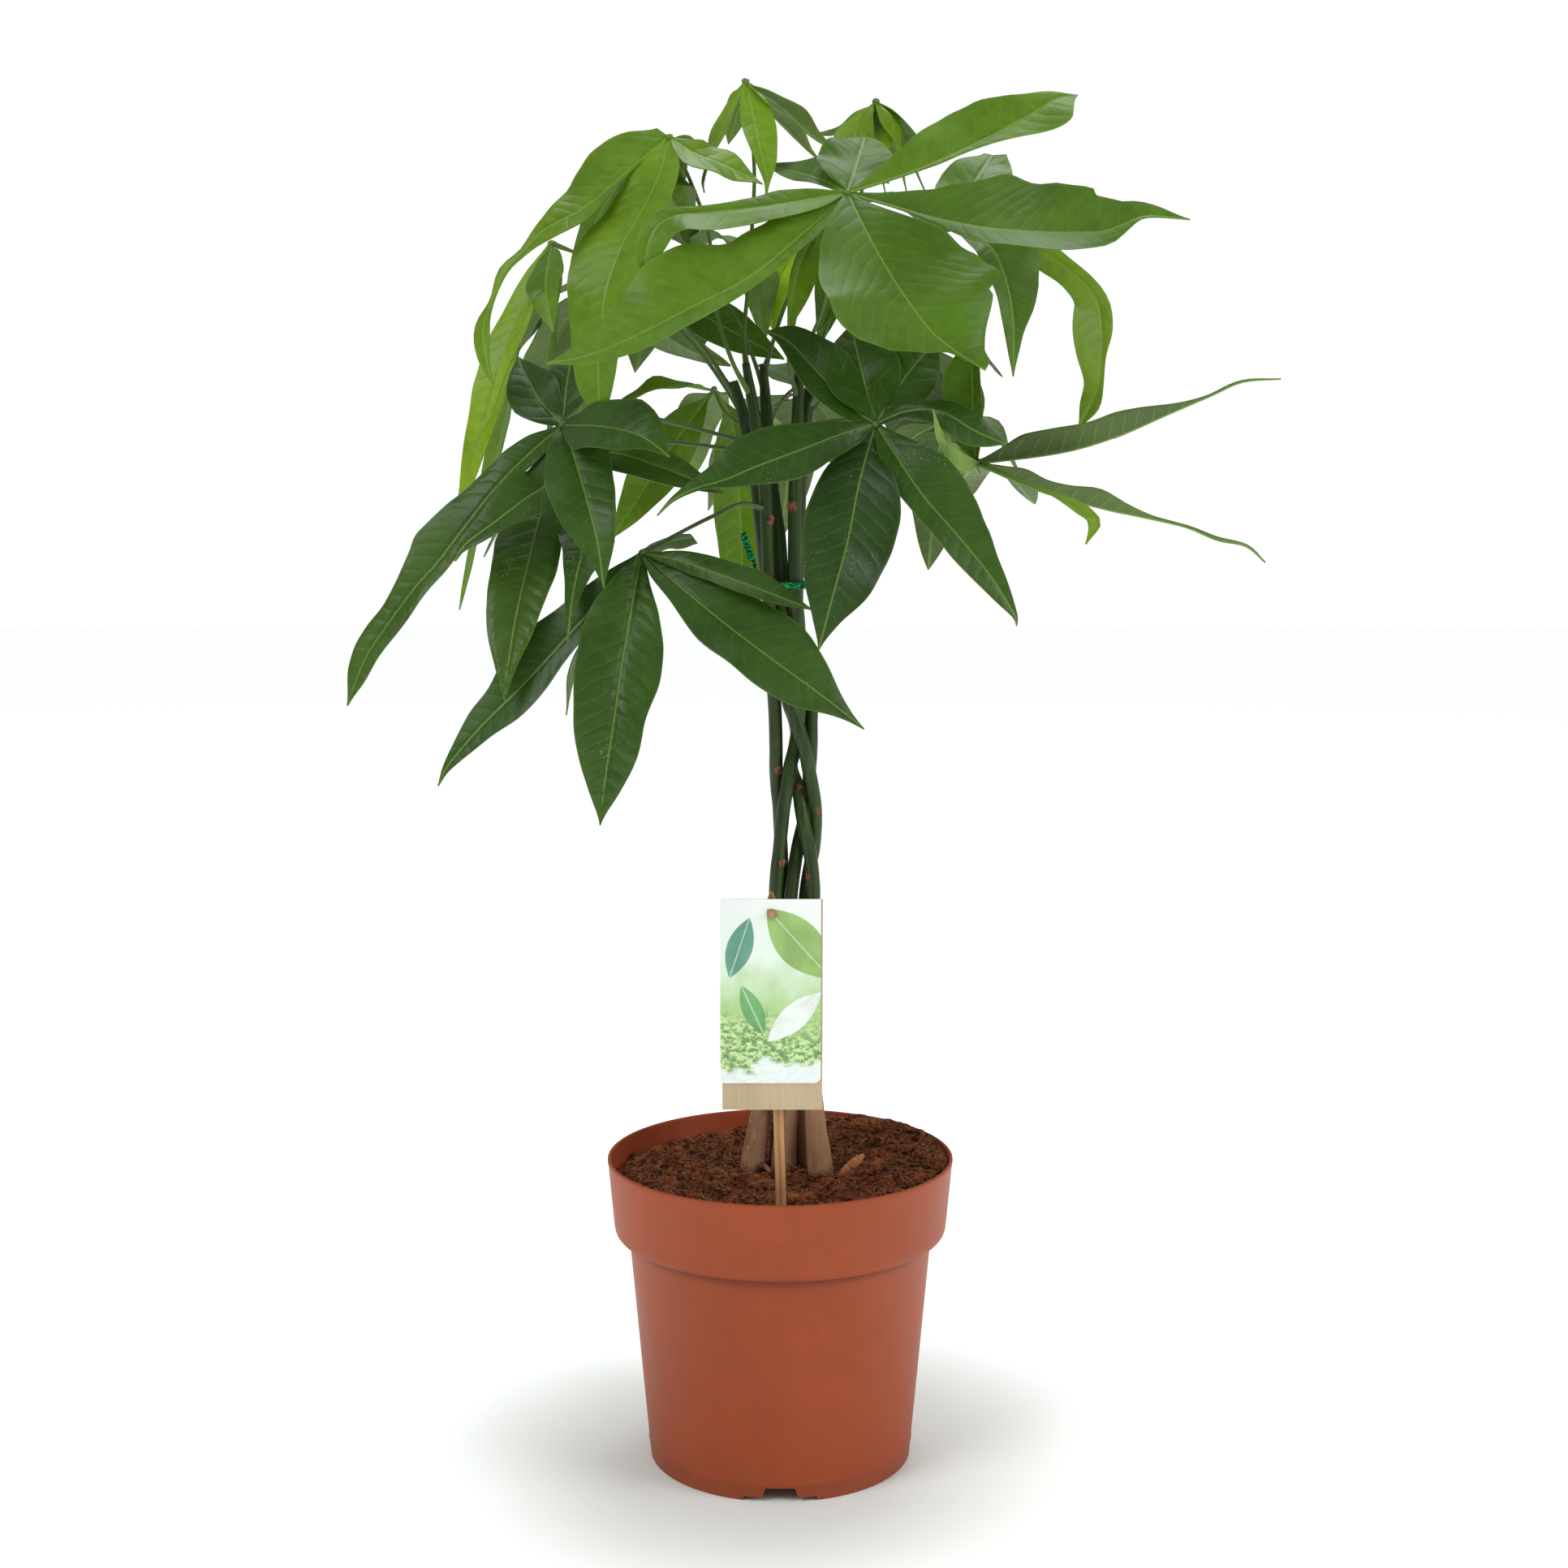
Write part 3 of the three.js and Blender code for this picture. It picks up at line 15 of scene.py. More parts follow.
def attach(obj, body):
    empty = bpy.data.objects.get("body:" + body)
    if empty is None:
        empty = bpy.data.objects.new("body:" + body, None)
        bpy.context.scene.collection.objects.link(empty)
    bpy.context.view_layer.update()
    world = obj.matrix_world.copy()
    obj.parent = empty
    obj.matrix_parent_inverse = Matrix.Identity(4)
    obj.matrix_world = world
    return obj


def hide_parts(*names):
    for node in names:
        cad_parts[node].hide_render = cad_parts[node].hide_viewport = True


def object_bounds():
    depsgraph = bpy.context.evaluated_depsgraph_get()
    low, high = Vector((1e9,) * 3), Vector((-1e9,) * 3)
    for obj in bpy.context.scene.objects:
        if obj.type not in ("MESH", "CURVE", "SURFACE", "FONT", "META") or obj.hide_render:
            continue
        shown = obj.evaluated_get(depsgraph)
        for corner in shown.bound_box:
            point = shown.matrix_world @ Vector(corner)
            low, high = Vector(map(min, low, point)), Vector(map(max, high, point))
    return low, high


bl_info = {
    "name": "Potted money tree",
    "version": (1, 0, 0),
    "blender": (4, 5, 0),
    "location": "View3D > Sidebar > Money tree",
    "description": "Braided money tree with palmate leaves in a plastic nursery pot",
    "category": "Object",
}

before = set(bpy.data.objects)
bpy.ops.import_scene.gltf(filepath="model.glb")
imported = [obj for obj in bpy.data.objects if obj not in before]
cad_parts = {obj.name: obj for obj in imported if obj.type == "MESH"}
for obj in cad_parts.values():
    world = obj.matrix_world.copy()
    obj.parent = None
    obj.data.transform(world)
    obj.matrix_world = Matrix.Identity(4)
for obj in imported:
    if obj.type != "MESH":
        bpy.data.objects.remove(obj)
CAD_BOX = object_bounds()

MM = 0.001
EYE_DISTANCE = 1150  # from the eye to the plane of the trunk
EYE_HEIGHT = 484.4
PHOTO_SIZE = 1932  # pixels of the photograph's side
CAMERA_SHIFT = 4.7  # pixels that the view is moved aside
CAMERA_TILT = 0.1318  # radians that the camera looks down


# ---------------------------------------------------------------- sizes and colours
def length(name, description, default, low=0.0, high=1.0):
    return FloatProperty(name=name, description=description, default=default, min=low, max=high,
                         unit="LENGTH", subtype="DISTANCE", precision=4)


def share(name, description, default, high=1.0):
    return FloatProperty(name=name, description=description, default=default, min=0.0,
                         max=high, subtype="FACTOR")


def colour(name, description, default):
    return FloatVectorProperty(name=name, description=description, default=default, size=3,
                               min=0.0, max=1.0, subtype="COLOR")


class PotLook(bpy.types.PropertyGroup):
    rim_radius: length("Rim radius", "Outer radius of the pot's rim", 0.084)
    height: length("Height", "Height of the pot", 0.15)
    band_foot: length("Band foot", "Height at which the rim band starts", 0.1123)
    body_radius: length("Body radius", "Outer radius of the body under the band", 0.0738)
    foot_radius: length("Foot radius", "Outer radius of the foot", 0.0638)
    wall: length("Wall", "Thickness of the wall", 0.0016)
    plastic: colour("Plastic", "Colour of the moulded plastic", (0.31, 0.055, 0.014))
    scuffs: share("Scuffs", "Strength of the fine scuffs", 0.35)


class SoilLook(bpy.types.PropertyGroup):
    top: length("Top", "Height of the soil in the middle of the pot", 0.142)
    crumbs: IntProperty(name="Crumbs", description="Number of loose crumbs", default=1600, min=0)
    fibres: IntProperty(name="Fibres", description="Number of coir fibres", default=1300, min=0)
    seed: IntProperty(name="Seed", description="Seed of the loose pieces' places", default=7)
    dark: colour("Peat", "Colour of the dark peat", (0.034, 0.009, 0.0035))
    light: colour("Coir", "Colour of the dry coir", (0.36, 0.105, 0.034))


class StemLook(bpy.types.PropertyGroup):
    bark: colour("Green bark", "Colour of the green bark", (0.023, 0.047, 0.006))
    wood: colour("Woody foot", "Colour of the woody foot", (0.35, 0.19, 0.105))
    scar: colour("Leaf scars", "Colour of the old leaf scars", (0.17, 0.065, 0.035))


class LeafLook(bpy.types.PropertyGroup):
    blade: length("Blade", "Thickness of a leaflet's blade", 0.0005, 0.0001, 0.002)
    vein_spacing: length("Vein spacing", "Distance between the side veins", 0.0072, 0.001, 0.03)
    dark: colour("Mature leaf", "Colour of the mature leaves", (0.029, 0.075, 0.007))
    mid: colour("Grown leaf", "Colour of the grown leaves", (0.088, 0.185, 0.007))
    young: colour("Young leaf", "Colour of the young leaves", (0.13, 0.245, 0.005))
    under: colour("Underside", "Colour of the undersides", (0.11, 0.16, 0.04))
    rib: colour("Ribs", "Colour of the midribs", (0.22, 0.34, 0.06))


class LabelLook(bpy.types.PropertyGroup):
    wood: colour("Board", "Colour of the planed softwood", (0.51, 0.385, 0.24))
    stake: colour("Stake", "Colour of the stake", (0.42, 0.22, 0.085))
    peg: colour("Peg", "Colour of the round peg", (0.4, 0.2, 0.09))
    card: colour("Card", "Ground colour of the card", (0.76, 0.86, 0.77))
    leaf: colour("Card leaf", "Colour of the leaf shapes on the card", (0.28, 0.5, 0.09))


class TieLook(bpy.types.PropertyGroup):
    foil: colour("Foil", "Colour of the shiny foil", (0.004, 0.13, 0.045))


class StageLook(bpy.types.PropertyGroup):
    floor: colour("Floor", "Colour of the pale floor", (0.85, 0.91, 0.88))
    lens: FloatProperty(name="Lens", description="Focal length of the camera in millimetres",
                        default=55.75, min=10.0)
    light: share("Light", "Strength of the studio lights", 1.0, 4.0)


class MoneyTreeLook(bpy.types.PropertyGroup):
    pot: PointerProperty(type=PotLook)
    soil: PointerProperty(type=SoilLook)
    stems: PointerProperty(type=StemLook)
    leaves: PointerProperty(type=LeafLook)
    label: PointerProperty(type=LabelLook)
    tie: PointerProperty(type=TieLook)
    stage: PointerProperty(type=StageLook)


# ---------------------------------------------------------------- shader nodes
class Sketch:
    """Adds nodes to one node tree. Each call gives the new node's first output."""

    def __init__(self, tree):
        self.tree = tree

    def feed(self, socket, value):
        if isinstance(value, bpy.types.NodeSocket):
            self.tree.links.new(value, socket)
        elif hasattr(socket.default_value, "__len__") and hasattr(value, "__len__"):
            size = len(socket.default_value)
            socket.default_value = (*value, 1.0)[:size]
        else:
            socket.default_value = value

    def node(self, kind, values=None, **settings):
        made = self.tree.nodes.new(kind)
        for name, value in settings.items():
            setattr(made, name, value)
        for name, value in (values or {}).items():
            self.feed(made.inputs[name], value)
        return made

    def math(self, operation, *values):
        made = self.node("ShaderNodeMath", operation=operation)
        for socket, value in zip(made.inputs, values):
            self.feed(socket, value)
        return made.outputs[0]

    def times(self, a, b):
        return self.math("MULTIPLY", a, b)

    def plus(self, a, b):
        return self.math("ADD", a, b)

    def minus(self, a, b):
        return self.math("SUBTRACT", a, b)

    def mix(self, factor, a, b, blend="MIX"):
        made = self.node("ShaderNodeMix", data_type="RGBA", blend_type=blend)
        for index, value in ((0, factor), (6, a), (7, b)):
            self.feed(made.inputs[index], value)
        return made.outputs[2]

    def span(self, value, low, high, to_low=0.0, to_high=1.0, smooth=True):
        kind = "SMOOTHSTEP" if smooth else "LINEAR"
        made = self.node("ShaderNodeMapRange", interpolation_type=kind)
        for socket, item in zip(made.inputs, (value, low, high, to_low, to_high)):
            self.feed(socket, item)
        return made.outputs[0]

    def noise(self, where, scale, detail=3.0, roughness=0.55):
        made = self.node("ShaderNodeTexNoise", {
            "Vector": where, "Scale": scale, "Detail": detail, "Roughness": roughness})
        return made.outputs[0]

    def own(self, name):
        return self.node("ShaderNodeAttribute", attribute_name=name).outputs["Fac"]

    def place(self, scale=(1, 1, 1), turn=(0, 0, 0)):
        coordinates = self.node("ShaderNodeTexCoord").outputs["Object"]
        return self.node("ShaderNodeMapping", {
            "Vector": coordinates, "Scale": scale, "Rotation": turn}).outputs[0]

    def parts(self, vector):
        return self.node("ShaderNodeSeparateXYZ", {"Vector": vector}).outputs

    def bump(self, height, strength, distance):
        made = self.node("ShaderNodeBump", {
            "Height": height, "Strength": strength, "Distance": distance})
        return made.outputs[0]


def shader_group(name, inputs, outputs):
    """A new node group with its sockets: (name, type, default) for each input."""
    group = bpy.data.node_groups.new(name, "ShaderNodeTree")
    for label, kind, default in inputs:
        socket = group.interface.new_socket(label, in_out="INPUT", socket_type=kind)
        socket.default_value = default
    for label, kind in outputs:
        group.interface.new_socket(label, in_out="OUTPUT", socket_type=kind)
    sketch = Sketch(group)
    start = sketch.node("NodeGroupInput").outputs
    end = sketch.node("NodeGroupOutput")
    return group, sketch, start, end.inputs


NUMBER = "NodeSocketFloat"


def vein_group():
    """Midrib, side veins and the quilting between them, from a blade's own attributes."""
    group, s, start, end = shader_group(
        "Leaf veins",
        [("Spacing", NUMBER, 7.0), ("Slant", NUMBER, VEIN_SLANT), ("Rib width", NUMBER, 0.22)],
        [("Rib", NUMBER), ("Vein", NUMBER), ("Height", NUMBER), ("Edge", NUMBER)])
    run, side, out = s.own("run"), s.own("side"), s.own("out")
    away = s.math("ABSOLUTE", side)
    wander = s.noise(s.place(), 90.0, 2.0)
    sweep = s.math("MULTIPLY_ADD", s.times(away, away), 0.012, s.times(away, start["Slant"]))
    steps = s.math("DIVIDE", s.minus(run, sweep), start["Spacing"])
    steps = s.plus(steps, s.times(s.math("SIGN", side), 0.23))
    steps = s.plus(steps, s.times(wander, 0.9))
    ridge = s.times(s.math("ABSOLUTE", s.minus(s.math("FRACT", steps), 0.5)), 2.0)
    inside = s.span(out, 0.72, 0.97, 1.0, 0.0)
    vein = s.times(s.span(ridge, 0.84, 1.0), inside)
    rib = s.span(away, start["Rib width"], s.plus(start["Rib width"], 0.35), 1.0, 0.0)
    quilt = s.times(s.minus(1.0, s.math("POWER", ridge, 2.2)), inside)
    groove = s.span(away, 0.2, 2.2, -1.1, 0.0)
    s.feed(end["Rib"], rib)
    s.feed(end["Vein"], vein)
    s.feed(end["Height"], s.plus(quilt, groove))
    s.feed(end["Edge"], s.span(out, 0.93, 1.0))
    return group


def speck_group():
    """Small scattered pale specks, as dust and hard-water spots leave."""
    group, s, start, end = shader_group(
        "Specks", [("Scale", NUMBER, 900.0), ("Amount", NUMBER, 0.5)], [("Mask", NUMBER)])
    cells = s.node("ShaderNodeTexVoronoi", {"Vector": s.place(), "Scale": start["Scale"]})
    clump = s.noise(s.place(), 38.0, 3.0, 0.6)
    size = s.times(s.span(clump, 0.46, 0.72), start["Amount"])
    dot = s.math("LESS_THAN", cells.outputs["Distance"], s.times(size, 0.3))
    s.feed(end["Mask"], dot)
    return group


def grain_group():
    """Wood grain that runs along Z, with fine pores."""
    group, s, start, end = shader_group(
        "Wood grain", [("Scale", NUMBER, 1.0)], [("Tone", NUMBER), ("Height", NUMBER)])
    point = s.place(scale=(1.0, 1.0, 0.05))
    wide = s.noise(point, s.times(start["Scale"], 210.0), 3.0, 0.6)
    fine = s.noise(point, s.times(start["Scale"], 1100.0), 2.0, 0.6)
    s.feed(end["Tone"], s.math("MULTIPLY_ADD", fine, 0.4, s.times(wide, 0.6)))
    s.feed(end["Height"], fine)
    return group


def mottle_group():
    """Soft uneven tone in two sizes."""
    group, s, start, end = shader_group(
        "Mottle", [("Scale", NUMBER, 30.0)], [("Tone", NUMBER)])
    broad = s.noise(s.place(), start["Scale"], 2.0)
    fine = s.noise(s.place(), s.times(start["Scale"], 6.3), 3.0)
    s.feed(end["Tone"], s.math("MULTIPLY_ADD", fine, 0.35, s.times(broad, 0.65)))
    return group


def leaf_mark_group():
    """Mask of one pointed leaf shape on the upright card, in metres."""
    group, s, start, end = shader_group(
        "Leaf mark",
        [("X", NUMBER, 0.0), ("Z", NUMBER, 0.0), ("Turn", NUMBER, 0.0),
         ("Length", NUMBER, 0.02), ("Plump", NUMBER, 0.5)],
        [("Mask", NUMBER), ("Rib", NUMBER)])
    across, _, up = s.parts(s.place())
    x = s.minus(across, start["X"])
    z = s.minus(up, start["Z"])
    cos, sin = s.math("COSINE", start["Turn"]), s.math("SINE", start["Turn"])
    along = s.plus(s.times(x, cos), s.times(z, sin))
    aside = s.math("ABSOLUTE", s.minus(s.times(z, cos), s.times(x, sin)))
    way = s.math("DIVIDE", along, start["Length"])
    room = s.minus(0.25, s.times(way, way))
    half = s.times(s.times(room, start["Plump"]), start["Length"])
    inside = s.minus(half, aside)
    s.feed(end["Mask"], s.span(inside, 0.0, 0.0003))
    s.feed(end["Rib"], s.times(s.span(aside, 0.0001, 0.0004, 1.0, 0.0),
                               s.span(inside, 0.0, 0.0003)))
    return group


GROUP_MAKERS = {"Leaf veins": vein_group, "Specks": speck_group, "Wood grain": grain_group,
                "Mottle": mottle_group, "Leaf mark": leaf_mark_group}


def effect(sketch, name, **values):
    """A shared effect placed in a material. Gives the node's outputs."""
    group = bpy.data.node_groups.get(name) or GROUP_MAKERS[name]()
    made = sketch.node("ShaderNodeGroup", node_tree=group)
    for label, value in values.items():
        sketch.feed(made.inputs[label.replace("_", " ")], value)
    return made.outputs


def material(name, **constants):
    """A new material with its Principled shader and a sketch of its tree."""
    made = bpy.data.materials.new(name)
    made.use_nodes = True
    tree = made.node_tree
    shader = tree.nodes["Principled BSDF"]
    sketch = Sketch(tree)
    for label, value in constants.items():
        sketch.feed(shader.inputs[label.replace("_", " ")], value)
    return made, sketch, shader.inputs


# ---------------------------------------------------------------- materials
def toned(base, *factors):
    """A colour made darker or brighter, by one factor or by one for each channel."""
    if len(factors) == 1:
        factors *= 3
    return tuple(min(c * f, 1.0) for c, f in zip(base, factors))


def blended(a, b, part):
    """A colour between two, with this part of the second."""
    return tuple(p * (1 - part) + q * part for p, q in zip(a, b))


def blade_material(name, base, rib, spacing, gloss, dust):
    """Upper side of a leaflet: veins, pale rib, soft mottling, quilted gloss, and painted light and
    shade by its shade attribute.
    """
    made, s, shader = material(name, Specular_IOR_Level=0.24, Subsurface_Weight=0.1,
                               Subsurface_Radius=(0.4, 1.0, 0.1), Subsurface_Scale=0.0012)
    veins = effect(s, "Leaf veins", Spacing=spacing)
    tone = effect(s, "Mottle", Scale=34.0)["Tone"]
    # The shade attribute picks a darker, the plain or a brighter copy of the colour: partly the
    # leaflet's own tone, partly painted shade and painted light. From 1 to 2 it paints light
    # shining through the blade.
    shade = s.own("shade")
    deep = toned(base, 0.42, 0.52, 0.6)
    bright = toned(base, 1.95, 1.55, 1.3)
    body = s.mix(s.span(shade, 0.0, 0.5, smooth=False), deep, base)
    body = s.mix(s.span(shade, 0.5, 1.0, smooth=False), body, bright)
    lit = toned(base, 3.9, 2.8, 2.5)
    body = s.mix(s.span(shade, 1.0, 2.0, smooth=False), body, lit)
    body = s.mix(0.5, body, s.mix(s.span(tone, 0.3, 0.7), (0.55, 0.6, 0.55), (1.4, 1.34, 1.22)),
                 "MULTIPLY")
    pale = blended(base, rib, 0.45)
    body = s.mix(s.times(veins["Vein"], 0.28), body, pale)
    body = s.mix(s.times(veins["Rib"], 0.7), body, rib)
    body = s.mix(s.times(veins["Edge"], 0.18), body, rib)
    if dust:
        spots = effect(s, "Specks", Scale=700.0, Amount=dust)["Mask"]
        body = s.mix(s.times(spots, 0.6), body, (0.5, 0.55, 0.45))
    s.feed(shader["Base Color"], body)
    s.feed(shader["Roughness"], s.span(tone, 0.25, 0.75, gloss - 0.06, gloss + 0.1))
    relief = s.times(veins["Height"], s.span(s.own("swell"), 0.1, 1.0, 1.0, 2.4))
    s.feed(shader["Normal"], s.bump(relief, 0.3, 0.0005))
    return made


def underside_material(name, base, rib, spacing):
    """Lower side of a leaflet: dull grey-green with raised veins, darker or brighter by its shade.
    """
    made, s, shader = material(name, Subsurface_Weight=0.12,
                               Subsurface_Radius=(0.4, 1.0, 0.1), Subsurface_Scale=0.0012)
    veins = effect(s, "Leaf veins", Spacing=spacing, Rib_width=0.35)
    tone = effect(s, "Mottle", Scale=34.0)["Tone"]
    # Shaded and lit copies of the colour, picked by the shade attribute: partly the leaflet's own
    # tone, partly painted shade and painted light.
    bright = toned(base, 1.6)
    deep = toned(base, 0.6)
    body = s.mix(s.own("shade"), deep, bright)
    body = s.mix(0.4, body, s.mix(s.span(tone, 0.3, 0.7), (0.6, 0.6, 0.6), (1.3, 1.3, 1.2)),
                 "MULTIPLY")
    body = s.mix(s.times(veins["Vein"], 0.4), body, rib)
    body = s.mix(s.times(veins["Rib"], 0.9), body, rib)
    s.feed(shader["Base Color"], body)
    s.feed(shader["Roughness"], s.span(tone, 0.2, 0.8, 0.5, 0.66))
    s.feed(shader["Normal"], s.bump(s.times(veins["Height"], -1.0), 0.4, 0.0004))
    return made


def stalk_material(name, base, rib):
    """Leaf stalks and hubs: smooth green, paler towards the hub."""
    made, s, shader = material(name, Roughness=0.42)
    tone = effect(s, "Mottle", Scale=60.0)["Tone"]
    deep = toned(base, 0.4)
    body = s.mix(s.span(tone, 0.3, 0.7), deep, toned(base, 0.8))
    body = s.mix(s.times(s.own("shade"), 0.3), body, rib)
    s.feed(shader["Base Color"], body)
    s.feed(shader["Normal"], s.bump(tone, 0.15, 0.0005))
    return made


def stem_material(look):
    """Bark: grey-brown and fissured at the foot, smooth green higher up, with painted shade on the
    feet of the rear stems.
    """
    made, s, shader = material("stem_bark", Specular_IOR_Level=0.3)
    height = s.parts(s.place())[2]
    streaks = s.noise(s.place(scale=(1.0, 1.0, 0.08)), 420.0, 3.0, 0.6)
    blotch = s.noise(s.place(scale=(1.0, 1.0, 0.35)), 75.0, 3.0, 0.6)
    pores = s.node("ShaderNodeTexVoronoi", {
        "Vector": s.place(scale=(1.0, 1.0, 0.45)), "Scale": 330.0}).outputs["Distance"]
    bark = s.mix(s.span(streaks, 0.3, 0.7), toned(look.bark, 0.62), toned(look.bark, 1.35))
    bark = s.mix(s.times(s.span(blotch, 0.58, 0.75), 0.5), bark, (0.13, 0.16, 0.05))
    foot = s.mix(s.span(streaks, 0.2, 0.8), toned(look.wood, 0.86), toned(look.wood, 1.12))
    foot = s.mix(s.times(s.span(blotch, 0.46, 0.66), 0.75), foot, (0.17, 0.075, 0.03))
    # The feet of the stems towards the back are darkened: painted shade in the gap between the
    # stems.
    rear_stem_shade = s.times(s.span(s.parts(s.place())[1], 0.006, 0.01), 0.6)
    foot = s.mix(rear_stem_shade, foot, (0.05, 0.02, 0.01))
    low = s.span(height, 0.139, 0.148, 0.65, 0.0)
    foot = s.mix(low, foot, (0.13, 0.05, 0.02))
    marks = s.times(s.math("LESS_THAN", pores, 0.16), s.span(blotch, 0.45, 0.6))
    foot = s.mix(s.times(marks, 0.7), foot, (0.5, 0.42, 0.28))
    level = s.plus(height, s.times(s.minus(blotch, 0.5), 0.09))
    ripe = s.span(level, 0.17, 0.225)
    s.feed(shader["Base Color"], s.mix(ripe, foot, bark))
    s.feed(shader["Roughness"], s.span(ripe, 0.0, 1.0, 0.78, 0.4))
    relief = s.plus(streaks, s.times(blotch, 1.2))
    rise = s.times(relief, s.span(ripe, 0.0, 1.0, 1.0, 0.22))
    s.feed(shader["Normal"], s.bump(rise, 0.4, 0.0008))
    return made


def scar_material(look):
    """Old leaf scars: dry and brown, in darker and lighter patches."""
    made, s, shader = material("leaf_scar", Roughness=0.85)
    tone = effect(s, "Mottle", Scale=420.0)["Tone"]
    s.feed(shader["Base Color"], s.mix(s.span(tone, 0.35, 0.65), toned(look.scar, 0.3),
                                       toned(look.scar, 1.5)))
    s.feed(shader["Normal"], s.bump(tone, 0.7, 0.0008))
    return made


def pot_material(look):
    """Moulded plastic: satin, faintly uneven, with specks and hair-fine scuffs; painted shade near
    the floor and a painted shadow under the rim band.
    """
    made, s, shader = material("pot_plastic", Specular_IOR_Level=0.28)
    tone = effect(s, "Mottle", Scale=11.0)["Tone"]
    grit = effect(s, "Specks", Scale=420.0, Amount=look.scuffs * 1.3)["Mask"]
    fine = s.noise(s.place(), 1400.0, 2.0)
    streak = s.noise(s.place(scale=(1.0, 1.0, 7.0), turn=(0.5, 0.9, 0.2)), 160.0, 2.0, 0.7)
    body = s.mix(s.span(tone, 0.3, 0.7), toned(look.plastic, 0.9), toned(look.plastic, 1.09))
    body = s.mix(s.times(s.span(streak, 0.71, 0.78), look.scuffs * 0.5), body,
                 (0.62, 0.28, 0.18))
    body = s.mix(s.times(grit, 0.3), body, (0.2, 0.06, 0.035))
    height = s.parts(s.place())[2]
    # Blotchy darkening over the lowest 12 mm: painted shade near the floor.
    foot = s.times(s.span(height, 0.0, 0.012, 1.0, 0.0), s.span(tone, 0.4, 0.6))
    body = s.mix(s.times(foot, 0.25), body, (0.25, 0.1, 0.06))
    # A dark line just under the rim band: painted shadow under the band's ledge.
    below = s.span(height, look.band_foot - 0.006, look.band_foot - 0.0009)
    ledge_shadow = s.times(below, s.math("LESS_THAN", height, look.band_foot - 0.0002))
    body = s.mix(s.times(ledge_shadow, 0.6), body, (0.07, 0.012, 0.006))
    s.feed(shader["Base Color"], body)
    s.feed(shader["Roughness"], s.span(s.plus(tone, s.times(fine, 0.25)), 0.3, 0.9, 0.42, 0.58))
    s.feed(shader["Normal"], s.bump(fine, 0.1, 0.0003))
    return made


def soil_material(name, dark, light, scale):
    """Loose soil: dark peat with dry red-brown coir."""
    made, s, shader = material(name, Roughness=0.95, Specular_IOR_Level=0.2)
    tone = effect(s, "Mottle", Scale=scale)["Tone"]
    fine = s.noise(s.place(), scale * 7.0, 4.0, 0.7)
    mixed = s.math("MULTIPLY_ADD", fine, 0.5, s.times(tone, 0.5))
    threads = s.noise(s.place(scale=(1.0, 0.22, 1.0), turn=(0.0, 0.0, 0.7)), scale * 6.0, 3.0, 0.7)
    cross = s.noise(s.place(scale=(0.22, 1.0, 1.0), turn=(0.0, 0.0, 0.4)), scale * 6.0, 3.0, 0.7)
    body = s.mix(s.span(mixed, 0.4, 0.62), dark, light)
    strands = s.math("MAXIMUM", s.span(threads, 0.6, 0.7), s.span(cross, 0.6, 0.7))
    body = s.mix(s.times(strands, 0.55), body, toned(light, 1.5))
    s.feed(shader["Base Color"], body)
    s.feed(shader["Normal"], s.bump(s.plus(fine, strands), 0.9, 0.0018))
    return made


def wood_material(name, base, scale, roughness, contrast=0.34):
    """Planed wood with grain along Z."""
    made, s, shader = material(name)
    grain = effect(s, "Wood grain", Scale=scale)
    deep = toned(base, 1.0 - contrast)
    pale = toned(base, 1.0 + contrast * 0.4)
    body = s.mix(s.span(grain["Tone"], 0.36, 0.66), deep, pale)
    s.feed(shader["Base Color"], body)
    s.feed(shader["Roughness"], s.span(grain["Tone"], 0.3, 0.7, roughness + 0.08, roughness))
    s.feed(shader["Normal"], s.bump(grain["Height"], 0.25, 0.0003))
    return made


def card_material(look):
    """Glossy card: a soft green and white ground with plain leaf shapes."""
    made, s, shader = material("printed_card", Roughness=0.22, Coat_Weight=0.3,
                               Coat_Roughness=0.12)
    height = s.parts(s.place())[2]
    haze = s.noise(s.place(), 60.0, 2.0)
    fine = s.noise(s.place(scale=(1.0, 1.0, 1.6)), 430.0, 4.0, 0.7)
    ground = tuple(look.card)
    leaf = tuple(look.leaf)
    level = s.plus(height, s.times(s.minus(haze, 0.5), 0.035))
    body = s.mix(s.span(level, 0.235, 0.268), (0.36, 0.56, 0.2), ground)
    body = s.mix(s.span(level, 0.27, 0.29), body, (0.86, 0.9, 0.88))
    turf = s.mix(s.span(fine, 0.42, 0.6), (0.05, 0.2, 0.04), (0.62, 0.76, 0.34))
    body = s.mix(s.span(level, 0.222, 0.24, 0.85, 0.0), body, turf)
    body = s.mix(s.span(level, 0.2085, 0.2125, 0.85, 0.0), body, (0.8, 0.86, 0.88))
    marks = [
        (0.0085, 0.2675, 2.3, 0.044, 0.95, leaf),
        (-0.0185, 0.2655, 1.25, 0.03, 0.8, (0.06, 0.3, 0.2)),
        (0.0065, 0.2335, 0.75, 0.034, 0.7, (0.83, 0.88, 0.86)),
        (-0.0125, 0.2365, 2.0, 0.026, 0.75, (0.1, 0.36, 0.1)),
    ]
    for x, z, turn, size, plump, tint in marks:
        mark = effect(s, "Leaf mark", X=x, Z=z, Turn=turn, Length=size, Plump=plump)
        tinted = s.mix(s.span(haze, 0.35, 0.65), toned(tint, 0.7), tint)
        body = s.mix(s.times(mark["Mask"], 0.9), body, tinted)
        body = s.mix(s.times(mark["Rib"], 0.5), body, (0.85, 0.92, 0.75))
    s.feed(shader["Base Color"], body)
    return made


